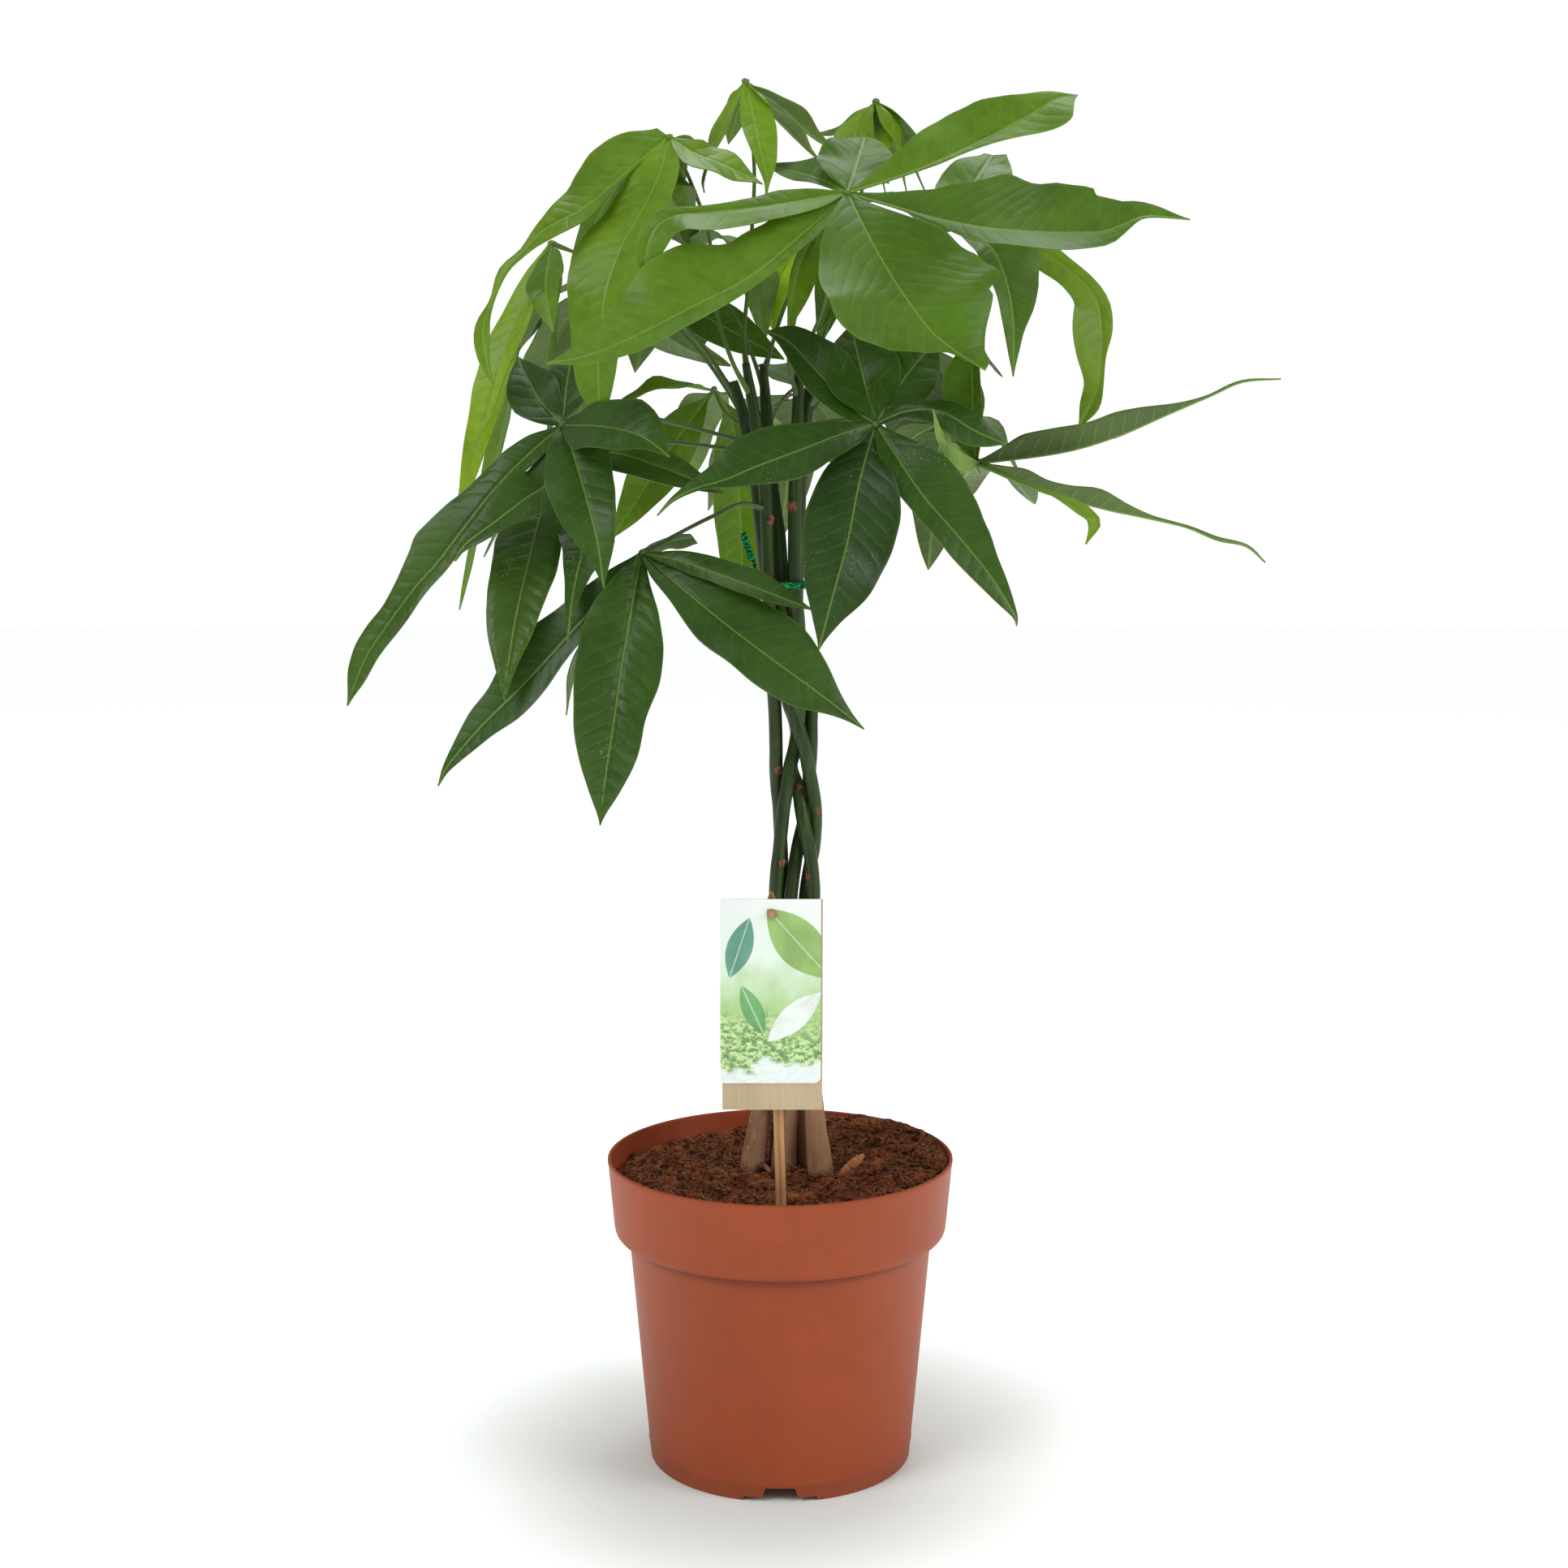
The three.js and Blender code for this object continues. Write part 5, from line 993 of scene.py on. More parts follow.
        (156, 462, 50), (172.5, 458.5, 52), (191.5, 454, 54), (206, 448, 54), (220, 445, 52),
        (229, 437.5, 50)],
        "right": [1, 4, 8, 7.5, 8.5, 9.5, 5, 2, 1.2, 1.5, 2, 1, 0.3],
        "left": [1, 5, 8, 9, 9, 9, 7, 5, 3, 2, 2, 1, 0.3], "shade": (0.1, 0.3)},
      {"up": (0.1, 0.9, -0.3), "rib": [(84, 489, 62), (76, 496, 84), (71.5, 509, 96)],
        "left": [2, 2.5, 3.5, 3, 2.5, 1, 0.3], "right": [6, 5, 9, 8, 5, 2, 0.3],
        "shade": (0.8, 1)},
      {"up": (-0.5, -0.8, 0), "fold": 0.4, "rib": [(90.5, 500, 33), (90, 517, 31),
        (89.5, 530, 29), (88, 548, 26)], "shade": (0.2, 0.5),
        "left": [1, 6, 10, 12, 13, 12, 8, 3, 0.3], "right": [1, 4, 5.5, 6, 6, 5, 4, 2, 0.3]},
      {"rib": [(112, 476, 54), (132, 468, 62), (143, 462, 67), (148.5, 456, 70), (144, 446, 72)],
        "right": [1, 1.5, 1.5, 1.5, 3, 5, 6, 3.5, 0.3],
        "left": [1, 1.5, 1.5, 1.5, 2, 3, 3.5, 2.5, 0.3], "shade": (0.5, 0.9)},
      {"width": 26, "rib": [(106, 480, 5), (120, 465, -26)], "shade": (0, 0.1)},
      {"width": 24, "rib": [(86, 477, 4), (80, 462, -28)], "shade": (0, 0.1)},
    ],
  },
  {
    "name": "leaf_10", "tone": "mid", "stem": "stem_5", "foot": 508, "up": (0.4, -0.2, 0.85),
    "petiole": [(26, 530, 4), (40, 556, 8), (58, 580, 12)], "hub": (80, 593, 15),
    "leaflets": [
      {"up": (0.3, -0.75, 0.55), "rib": [(90, 588, 24), (99, 582, 30), (105, 568, 36),
        (108, 554, 38), (109, 541, 38), (109, 524, 36)], "shade": (0.15, 0.3),
        "right": [1, 5, 8, 10, 9, 7, 5, 3, 0.3], "left": [1, 9, 19, 21, 17, 12, 5.5, 2.5, 0.3]},
      {"up": (0.35, -0.9, 0.2), "rib": [(110, 587, 18), (129, 576.5, 20), (140, 568, 22),
        (147, 559, 24), (149.5, 548, 26), (150, 529, 27), (148, 516, 26), (140, 500, 22)],
        "right": [1, 6, 8, 9, 9, 9.5, 11, 15, 16, 13, 8, 6, 0.5],
        "left": [1, 5, 7, 7, 6, 5, 5.5, 6, 5, 2, 2, 4, 0.5], "shade": (0.6, 0.9)},
      {"up": (0.1, -0.35, 0.9), "rib": [(85, 604, 4), (92, 616, -10), (98, 625, -24)],
        "left": [1, 10, 15, 16, 14, 10, 4], "right": [1, 10, 15, 17, 16, 13, 7],
        "shade": (0.25, 0.4)},
      {"width": 28, "rib": [(75, 600, -16), (68, 588, -48)]},
      {"width": 26, "rib": [(92, 592, -12), (106, 570, -40)]},
    ],
  },
  {
    "name": "leaf_11", "tone": "dark", "stem": "stem_4", "foot": 488, "up": (-0.3, -0.3, 0.9),
    "petiole": [(-35, 492, 0), (-65, 494, 10), (-88, 490, 20)], "hub": (-103, 482, 28),
    "leaflets": [
      {"up": (-0.1, -0.9, 0.35), "rib": [(-113, 459, 48), (-119, 437, 66), (-125, 412.5, 82),
        (-129, 389.5, 94), (-131.2, 371.6, 100)],
        "right": [1.5, 11, 15.5, 16.5, 15, 14, 11.5, 6, 0.3],
        "left": [1.5, 8, 11, 13.5, 13.5, 12, 9.5, 4, 0.3], "shade": (0.55, 0.85),
        "puff": 0.8},
      {"up": (0.1, -0.9, 0.3), "rib": [(-97, 462, 46), (-93.5, 445, 62), (-96, 432, 76),
        (-98.5, 420, 88), (-100.8, 400.4, 100)],
        "right": [1.5, 6, 9, 10, 8, 4.5, 2.5, 0.3], "left": [1.5, 6, 9, 9, 8, 5, 2, 0.3]},
      {"width": 26, "rib": [(-122, 470, 10), (-140, 440, -2)], "shade": (0.6, 0.9)},
      {"width": 28, "rib": [(-108, 470, 0), (-110, 425, -18)], "shade": (0.6, 0.9)},
      {"width": 24, "rib": [(-92, 470, 4), (-78, 447, -8)], "shade": (0.6, 0.9)},
      {"width": 18, "up": (0, -0.9, 0.3), "rib": [(-81, 489, 46), (-53, 481, 54), (-26, 469.5, 56)],
        "shade": (0.6, 0.8)},
    ],
  },
  {
    "name": "leaf_12", "tone": "mid", "stem": "stem_3", "foot": 516, "up": FACING_UP,
    "petiole": [(-18, 546, -28), (-32, 568, -48)], "hub": (-42, 582, -66),
    "leaflets": [
      {"width": 32, "rib": [(-58, 562, -92), (-68, 526, -112)]},
      {"width": 34, "rib": [(-42, 562, -98), (-40, 532, -118)], "shade": (0, 0.1)},
      {"width": 24, "up": (0, -0.9, 0.4),
        "rib": [(-44, 560, -60), (-35, 552, -56), (-20, 543.5, -54),
        (2, 532, -54)], "shade": (0, 0.1)},
      {"width": 20, "rib": [(-12, 575, -90), (-9, 555, -100), (-7, 540, -108)], "shade": (2, 2)},
      {"width": 26, "rib": [(-58, 576, -50), (-70, 560, -34)]},
      {"width": 26, "rib": [(-28, 588, -52), (-10, 576, -40)]},
      {"width": 24, "rib": [(-50, 594, -54), (-62, 594, -40)]},
    ],
  },
  {
    "name": "leaf_13", "tone": "mid", "stem": "stem_3", "foot": 526, "up": FACING_UP,
    "petiole": [(2, 556, -30), (14, 582, -52)], "hub": (22, 600, -72),
    "leaflets": [
      {"width": 28, "up": (0, -0.9, 0.3), "rib": [(8, 584, -92), (-3, 562, -100), (-3, 545, -106)],
        "shade": (2, 2)},
      {"width": 17, "up": (0, -0.9, 0.3), "rib": [(24, 582, -80), (23, 560, -84), (18, 538, -86)],
        "shade": (0.1, 0.3)},
      {"width": 34, "rib": [(46, 590, -92), (66, 548, -118)]},
      {"width": 28, "rib": [(50, 604, -72), (76, 586, -76)]},
      {"width": 26, "rib": [(2, 606, -64), (-18, 596, -60)]},
    ],
  },
  {
    "name": "leaf_14", "tone": "young", "stem": "stem_4", "foot": 500, "up": (0, -0.2, 0.95),
    "petiole": [(-26, 508, -26), (-30, 516, -42)], "hub": (-31, 518, -58),
    "leaflets": [
      {"width": 28, "up": (0.2, -1, 0.1), "rib": [(-22, 500, -66), (-18.5, 452, -72),
        (-18, 403, -70)], "shade": (0.2, 0.4)},
      {"width": 26, "up": (0, -0.9, 0.3),
        "rib": [(-47, 497, -66), (-60, 478, -72), (-79, 449, -78)],
        "shade": (0.2, 0.4)},
      {"width": 26, "rib": [(-12, 508, -74), (8, 478, -92)]},
      {"width": 28, "rib": [(-36, 508, -86), (-46, 470, -112)]},
      {"width": 24, "rib": [(-52, 520, -48), (-76, 512, -40)]},
    ],
  },
  {
    "name": "leaf_15", "tone": "dark", "stem": "stem_5", "foot": 506, "up": FACING_UP,
    "petiole": [(28, 522, -26), (46, 534, -44)], "hub": (60, 540, -58),
    "leaflets": [
      {"width": 32, "rib": [(78, 524, -76), (92, 484, -90)]},
      {"width": 34, "rib": [(62, 518, -86), (66, 468, -108)], "shade": (0, 0.2)},
      {"width": 28, "rib": [(44, 522, -66), (36, 484, -74)], "shade": (0, 0.2)},
      {"width": 28, "rib": [(84, 542, -56), (104, 524, -56)]},
      {"width": 26, "rib": [(70, 552, -44), (84, 548, -22)]},
    ],
  },
  {
    "name": "leaf_16", "tone": "mid", "stem": "stem_4", "foot": 506, "up": FACING_UP,
    "petiole": [(-38, 536, -26), (-62, 558, -42)], "hub": (-80, 566, -54),
    "leaflets": [
      {"width": 30, "rib": [(-102, 548, -66), (-120, 506, -78)]},
      {"width": 34, "rib": [(-88, 540, -82), (-98, 484, -104)]},
      {"width": 24, "up": (0, 0.6, 0.8),
        "rib": [(-62, 550, -66), (-45, 538, -74), (-23, 529, -76)]},
      {"width": 26, "rib": [(-104, 562, -50), (-122, 536, -54)]},
      {"width": 26, "rib": [(-76, 580, -46), (-80, 586, -24)]},
    ],
  },
  {
    "name": "leaf_17", "tone": "dark", "stem": "stem_3", "foot": 500, "up": FACING_UP,
    "petiole": [(0, 512, -44), (6, 518, -66)], "hub": (10, 518, -90),
    "leaflets": [
      {"width": 32, "rib": [(26, 500, -112), (40, 452, -128)]},
      {"width": 34, "rib": [(6, 498, -122), (0, 448, -144)]},
      {"width": 30, "rib": [(-14, 504, -112), (-34, 462, -130)]},
      {"width": 24, "rib": [(30, 522, -88), (50, 516, -96)]},
      {"width": 26, "rib": [(2, 526, -74), (-8, 530, -54)]},
    ],
  },
  {
    "name": "leaf_18", "tone": "mid", "stem": "stem_2", "foot": 512, "up": (0, -0.3, 0.9),
    "petiole": [(4, 532, 12), (8, 556, 10), (14, 578, 16)], "hub": (20, 592, 24),
    "leaflets": [
      {"up": (0.2, -0.9, 0.3), "rib": [(12, 582, 30), (7, 568, 34), (4.5, 552, 36), (3.8, 541, 36)],
        "right": [1, 3, 3, 3, 2, 1, 0.3], "left": [1, 5, 8.5, 9, 7, 3, 0.3], "shade": (0.5, 0.7)},
      {"width": 13, "up": (0, -0.9, 0.3), "rib": [(27, 583, 16), (24, 562, 10), (18, 544, 6)],
        "shade": (0.1, 0.3)},
      {"width": 20, "rib": [(4, 586, 30), (-18, 574, 34), (-36, 556, 36)], "shade": (0.2, 0.3)},
      {"width": 20, "rib": [(30, 588, 8), (38, 572, -8)]},
      {"width": 18, "rib": [(16, 596, 8), (12, 596, -14)]},
    ],
  },
  {
    "name": "leaf_19", "tone": "mid", "stem": "stem_5", "foot": 496, "up": (0.2, 0.1, 0.95),
    "petiole": [(36, 502, -18), (58, 506, -32)], "hub": (76, 504, -44),
    "leaflets": [
      {"width": 20, "rib": [(82, 488, -60), (88, 458, -70)], "shade": (0, 0.2)},
      {"width": 30, "rib": [(74, 482, -66), (70, 434, -80)], "shade": (0, 0.2)},
      {"width": 26, "rib": [(58, 492, -56), (44, 462, -62)], "shade": (0, 0.2)},
      {"width": 26, "rib": [(96, 502, -44), (112, 480, -42)]},
    ],
  },
]


# ---------------------------------------------------------------- pot and soil
NOTCHES = 3
NOTCH_STEPS = ((18, 2.2, 0.95), (10, 7.0, 0.68))  # half width, height and narrowing
DRAINS = 6
DRAIN_RADIUS, DRAIN_CIRCLE = 4, 38
DRAIN_TWIST = math.radians(5)  # keeps a drain's corners off the seam of the body
SOIL_SPAN = 84  # radius over which the soil sinks and heaps
SOIL_PEAK = 150.8
SOIL_EDGE, EDGE_LEVEL, EDGE_SLOPE = 78.9, 118.8, 0.088  # inside the rim band
LITTER_ROUNDS = 10  # batches of loose pieces, as small meshes grow faster
LITTER_RADIUS = 82
FIBRE_REACH = 80  # radius that a fibre stays within
STAKE_ROOM = (-4.5, 5.0, -68, -59)  # left, right, front and back of the stake's place
SOIL_RINGS = ((0.94, 118), (0.93, 110), (0.86, 7))  # narrowing and height, downwards
LITTER_EDGE = 0.965  # share of the radius that loose pieces fill
STEM_ROOM = 6.0  # radius round a stem's foot that stays free of loose pieces


def pot_outline(look):
    """Half outline of the pot as radius and height, from its pad round to its floor."""
    rim, high, wall = look.rim_radius / MM, look.height / MM, look.wall / MM
    body, foot, band = look.body_radius / MM, look.foot_radius / MM, look.band_foot / MM
    return [
        (0, 0), (15.6, 0), (16, 0.4), (17, 4), (foot - 6, 4), (foot - 5.2, 0.4), (foot - 4.8, 0),
        (foot - 0.5, 0), (foot, 0.5), (foot + 0.68, 7.7), (foot + 0.95, 8.1),
        (foot + 1.05, 8.6), (foot + 0.95, 9.1), (foot + 0.85, 9.5),
        (body, band - 0.9), (body + 0.25, band - 0.4), (body + 0.8, band - 0.15),
        (body + 4.4, band), (body + 5.6, band + 0.6), (body + 6.5, band + 1.8),
        (body + 7.0, band + 3.6), (body + 7.3, band + 6.2),
        (rim - 0.35, high - 3.2), (rim - 0.1, high - 2.2), (rim, high - 1.2),
        (rim - 0.12, high - 0.4), (rim - 0.6, high), (rim - wall + 0.4, high),
        (rim - wall, high - 0.4), (rim - wall - 0.4, high - 2.6),
        (body + 5.6, band + 6.6), (body + 4.8, band + 4.2), (body + 3.2, band + 2.6),
        (body - wall + 0.6, band + 1.6), (body - wall, band + 0.6),
        (foot - wall + 0.6, 8), (foot - wall - 0.4, 6.3), (foot - wall - 1.6, 6), (0, 6),
    ]


def block(bm, low, high):
    """A box between two corners, in millimetres."""
    made = bmesh.ops.create_cube(bm, size=1.0)["verts"]
    middle = (Vector(low) + Vector(high)) / 2
    span = Vector(high) - Vector(low)
    for vert in made:
        vert.co = Vector((middle[i] + vert.co[i] * span[i] for i in range(3))) * MM
    return made


def notch_cutter(bm, turn, foot, half, high, narrow):
    """A notch through the foot, narrower at its top."""
    made = block(bm, (-half, -foot - 3, -1), (half, -foot + 11, high))
    for vert in made:
        if vert.co.z > 0:
            vert.co.x *= narrow
    bmesh.ops.rotate(bm, verts=made, matrix=Matrix.Rotation(turn, 3, "Z"))


def drain_cutter(bm, turn):
    """A round hole through the floor."""
    radius = DRAIN_RADIUS * MM
    made = bmesh.ops.create_cone(bm, cap_ends=True, segments=24, radius1=radius, radius2=radius,
                                 depth=20 * MM,
                                 matrix=Matrix.Rotation(DRAIN_TWIST, 4, "Z"))["verts"]
    bmesh.ops.translate(bm, verts=made, vec=Vector((0, -DRAIN_CIRCLE, 4)) * MM)
    bmesh.ops.rotate(bm, verts=made, matrix=Matrix.Rotation(turn, 3, "Z"))


def cut(body, cutter_meshes):
    """Cuts each closed mesh out of the body's mesh and gives the result as a bmesh."""
    host = put("cut_host", body)
    tools = []
    for mesh in cutter_meshes:
        tool = put("cut_tool", mesh)
        modifier = host.modifiers.new("cut", "BOOLEAN")
        modifier.operation = "DIFFERENCE"
        modifier.object = tool
        tools.append(tool)
    graph = bpy.context.evaluated_depsgraph_get()
    result = bmesh.new()
    result.from_object(host, graph)
    for one in [host, *tools]:
        bpy.data.objects.remove(one)
    return result


def build_pot(look):
    bm = bmesh.new()
    outline = [(radius, 0, height) for radius, height in pot_outline(look)]
    lathe(bm, outline, (0, 0, 0), (0, 0, 1), 120)
    tools = []
    foot = look.foot_radius / MM
    for turn in range(NOTCHES):
        for step in NOTCH_STEPS:
            tool = bmesh.new()
            notch_cutter(tool, 2 * math.pi * turn / NOTCHES, foot, *step)
            tools.append(tool)
    for turn in range(DRAINS):
        tool = bmesh.new()
        drain_cutter(tool, 2 * math.pi * (turn + 0.5) / DRAINS)
        tools.append(tool)
    result = cut(mesh_of(bm), [mesh_of(tool) for tool in tools])
    crisp(result, 34.0)
    piece("nursery_pot", result, [pot_material(look)], "pot_plastic", "pot")


def soil_level(look, x, y):
    """Height of the soil: bumpy, a little sunk at the wall, heaped at the right and the back."""
    reach = math.hypot(x, y) / SOIL_SPAN
    heap = max((0.8 * x + 0.62 * y) / SOIL_SPAN, 0.0)
    bumps = math.sin(x / 6.1 + 1) * math.cos(y / 5.3) + 0.6 * math.sin((x + y) / 3.7)
    return min(look.top / MM - 3 * reach ** 2 + 13.5 * heap ** 2 + 1.1 * bumps, SOIL_PEAK)


def soil_wall(height):
    """Radius of the soil's edge at a height inside the rim band."""
    return SOIL_EDGE + (height - EDGE_LEVEL) * EDGE_SLOPE


def build_soil(look):
    bm = bmesh.new()

    def place(vert, u, v):
        a, b = 2 * u - 1, 2 * v - 1
        ring = max(abs(a), abs(b))
        stretch = ring / math.hypot(a, b) if ring else 0.0
        x, y = a * stretch, b * stretch
        level = soil_level(look, x * 80, y * 80)
        radius = soil_wall(level)
        x, y = x * radius, y * radius
        spot = Vector((x, y, 0)) / 9
        rough = 1.6 * noise.noise(spot) + 0.9 * noise.noise(spot * 3.1)
        rough += 0.8 * noise.noise(spot * 7.3)
        return Vector((x, y, level + rough * (1 - ring ** 8 * 0.5))) * MM

    top = sheet_grid(bm, 110, 110, place)
    faces = list(faces_of(top))
    for ring, (narrow, level) in enumerate(SOIL_RINGS):
        grown = bmesh.ops.extrude_face_region(bm, geom=faces, use_keep_orig=True)["geom"]
        if ring:  # the first layer stays as the top, a later one would be a wall inside
            bmesh.ops.delete(bm, geom=faces, context="FACES")
        faces = [item for item in grown if isinstance(item, bmesh.types.BMFace)]
        for vert in {vert for face in faces for vert in face.verts}:
            vert.co = Vector((vert.co.x * narrow, vert.co.y * narrow, level * MM))
    bmesh.ops.recalc_face_normals(bm, faces=bm.faces)
    smooth(bm.faces)
    coir = soil_material("soil_mix", tuple(look.dark), tuple(look.light), 95.0)
    piece("soil_mound", bm, [coir], "soil_mix", "soil")


def clear_of_stems(x, y):
    """False where a stem or the stake stands."""
    for route in STEM_ROUTES.values():
        foot = Vector(route[1][:2])
        if (Vector((x, y)) - foot).length < STEM_ROOM:
            return False
    left, right, front, back = STAKE_ROOM
    return not (left < x < right and front < y < back)


def loose_spot(chance, look):
    """A random point on the soil, clear of the wall, the stems and the stake."""
    while True:
        radius = LITTER_RADIUS * math.sqrt(chance.random()) * LITTER_EDGE
        angle = chance.uniform(0, 2 * math.pi)
        x, y = radius * math.cos(angle), radius * math.sin(angle)
        level = soil_level(look, x, y)
        wall = soil_wall(level) - 1.2
        if radius < wall and clear_of_stems(x, y):
            return Vector((x, y, level))


def any_turn(chance):
    axis = Vector((chance.gauss(0, 1), chance.gauss(0, 1), chance.gauss(0, 1))).normalized()
    return Matrix.Rotation(chance.uniform(0, 2 * math.pi), 3, axis)


def lay_fibre(bm, chance, look, slot):
    """One coir fibre: a thin bent thread that lies on the soil or springs out of it."""
    start = loose_spot(chance, look)
    turn = chance.uniform(0, 2 * math.pi)
    size = chance.uniform(4, 12)
    rise = chance.uniform(-0.05, 0.35) * size
    bend = chance.uniform(-0.45, 0.45) * size
    ahead = Vector((math.cos(turn), math.sin(turn), 0))
    aside = Vector((-ahead.y, ahead.x, 0))
    middle = start + ahead * size / 2 + aside * bend + Vector((0, 0, rise * 0.7 + 0.9))
    end = start + ahead * size + Vector((0, 0, rise))
    if any(math.hypot(spot.x, spot.y) > FIBRE_REACH for spot in (middle, end)):
        return
    line = Line([start + Vector((0, 0, 0.1)), middle, end], steps=4)
    thick = chance.uniform(0.14, 0.36)
    tube(bm, line, lambda t, z: thick * (1 - 0.5 * t), 4, 3, slot=slot)


def build_litter(look):
    chance = random.Random(look.seed)
    bm = bmesh.new()
    for _ in range(LITTER_ROUNDS):
        part = bmesh.new()
        for _ in range(look.crumbs // LITTER_ROUNDS):
            size = chance.uniform(0.5, 1.5) * (2.3 if chance.random() < 0.07 else 1.0)
            shape = (size, size * chance.uniform(0.5, 1.0), size * chance.uniform(0.35, 0.8))
            spot = loose_spot(chance, look) + Vector((0, 0, chance.uniform(0, 1.0)))
            pebble(part, spot, shape, any_turn(chance), 1, chance.choice((0, 0, 1, 1, 2)), 0.5,
                   chance.uniform(0, 50))
        for _ in range(look.fibres // LITTER_ROUNDS):
            lay_fibre(part, chance, look, chance.choice((2, 3)))
        spare = mesh_of(part)
        bm.from_mesh(spare)
        bpy.data.meshes.remove(spare)
    dark, light = tuple(look.dark), tuple(look.light)
    kinds = [
        soil_material("soil_dark_crumb", dark, (0.1, 0.03, 0.012), 160),
        soil_material("soil_brown_crumb", (0.09, 0.025, 0.01), toned(light, 0.9), 160),
        soil_material("soil_red_coir", (0.12, 0.035, 0.014), toned(light, 1.25), 200),
        soil_material("soil_pale_coir", (0.3, 0.13, 0.06), (0.55, 0.33, 0.18), 200),
    ]
    piece("soil_litter", bm, kinds, "soil_mix", "soil")


def build_chip(look):
    """The long chip of pale bark that lies on the right of the stems."""
    bm = bmesh.new()
    line = Line([(28.5, -16, 143.8), (34, -15, 148.4), (40.4, -14, 153.8)])
    widths = [(0, 0.5), (0.2, 1.9), (0.55, 2.3), (0.85, 1.7), (1, 0.4)]

    def relief(centre, out):
        return 0.8 * noise.noise(centre * 0.55 + out * 1.3) + 0.35 * noise.noise(centre * 2.0)

    tube(bm, line, lambda t, z: level_between(widths, t), 22, 12, relief)
    bark = wood_material("chip_bark", (0.52, 0.2, 0.07), 2.2, 0.8)
    piece("bark_chip", bm, [bark], "soil_mix")


# ---------------------------------------------------------------- stems
# Radius of the stems at some heights.
STEM_MARKS = [(118, 5.6), (140, 6.3), (150, 6.0), (165, 5.1), (180, 4.4), (215, 3.5),
              (270, 3.25), (470, 3.2), (500, 3), (515, 2.6), (536, 1.5)]

# Leaf scars as x and z read from the front, with their width and height.
SCARS = [(-1, 339, 4.2, 5.4), (1, 295, 4.4, 4.6), (13, 288, 3.4, 4.2), (9, 330, 3.4, 6.0),
         (18, 320, 2.6, 4.4), (-5, 414, 5.2, 5.6), (-4.4, 457, 4.2, 6.0), (5.4, 463.5, 5.0, 5.4),
         (15, 379, 3.0, 3.6), (2, 386, 3.0, 3.4)]


def stem_lines():
    return {name: Line(route) for name, route in STEM_ROUTES.items()}


def height_point(line, height):
    """Point of a rising line at a height."""
    for place in line.places:
        if place.z >= height:
            return place.copy()
    return line.places[-1].copy()


def stem_relief(centre, out):
    """Knots, ribs and swellings of the bark, stronger on the woody foot."""
    woody = level_between([(118, 1.0), (165, 1.0), (215, 0.25), (540, 0.15)], centre.z)
    spot = Vector((out.x * 1.1, out.y * 1.1, centre.z / 9))
    fine = Vector((out.x * 3.2, out.y * 3.2, centre.z / 22))
    return woody * (0.45 * noise.noise(spot + centre / 70) + 0.22 * noise.noise(fine))


def front_spot(lines, x, z):
    """Point on the front of the foremost stem at x and z read from the front."""
    best = None
    for line in lines.values():
        centre = height_point(line, z)
        radius = level_between(STEM_MARKS, z)
        aside = x * (EYE_DISTANCE + centre.y) / EYE_DISTANCE - centre.x
        if abs(aside) < radius * 0.9:
            forward = math.sqrt(radius ** 2 - aside ** 2)
            spot = centre + Vector((aside, -forward, 0))
            if best is None or spot.y < best[0].y:
                best = (spot, Vector((aside, -forward, 0)).normalized())
    return best


def build_stems(look):
    lines = stem_lines()
    bark = stem_material(look)
    for name, line in lines.items():
        bm = bmesh.new()
        tube(bm, line, lambda t, z: level_between(STEM_MARKS, z), 190, 20, stem_relief)
        piece("braided_" + name, bm, [bark], "stem_bark", name)
    bm = bmesh.new()
    for index, (x, z, wide, high) in enumerate(SCARS):
        found = front_spot(lines, x, z)
        if found:
            spot, out = found
            turn = out.to_track_quat("Y", "Z").to_matrix()
            pebble(bm, spot - out * 0.3, (wide / 2, 0.9, high / 2), turn, 3, 0, 0.45,
                   index * 3.1)
    root = Line([(-9, -3, 146), (-5.5, -6.5, 143.8), (-3.2, -8.2, 139)])
    tube(bm, root, lambda t, z: 1.5 - 0.6 * t, 12, 10, stem_relief)
    piece("stem_scars", bm, [scar_material(look), bark], "stem_bark")


# ---------------------------------------------------------------- leaves
BASE_WEDGE = 0.12  # share of a leaflet's length in which its base widens
BLADE_FOLD = 0.16  # rise of the blade's edges for each unit of half width
BLADE_WAVE = 0.11  # height of the edge waves for each unit of half width
BLADE_LAYERS = ("run", "side", "out", "shade", "swell")
PUFF_HEIGHT = 1.1  # rise of a fully quilted blade between its side veins
VEIN_SLANT = 0.55  # how far a side vein runs ahead for each unit aside
ACROSS = 12  # strips of faces across a blade
WIDEST = 0.47  # where a plain leaflet is widest, as a share of its length
RUFFLE = 0.035  # height of the small ruffles for each unit of half width
STALK_GREEN = (0.05, 0.12, 0.015)


def leaflet_outline(t, fullness):
    """Share of a plain leaflet's width along it, with a wedge-shaped base."""
    wedge = 1 - math.exp(-((t / BASE_WEDGE) ** 2))
    return wedge * max(math.sin(math.pi * t ** (math.log(0.5) / math.log(WIDEST))), 0.0) ** fullness


def half_widths(leaflet, t):
    """Half widths of a leaflet at t, on its left and its right."""
    if "left" in leaflet:
        left, right = profile_at(leaflet["left"], t), profile_at(leaflet["right"], t)
    else:
        outline = leaflet_outline(t, leaflet.get("fullness", 0.9))
        left = right = leaflet["width"] / 2 * outline
    least = 0.9 - 0.65 * t
    return max(left, least), max(right, least)


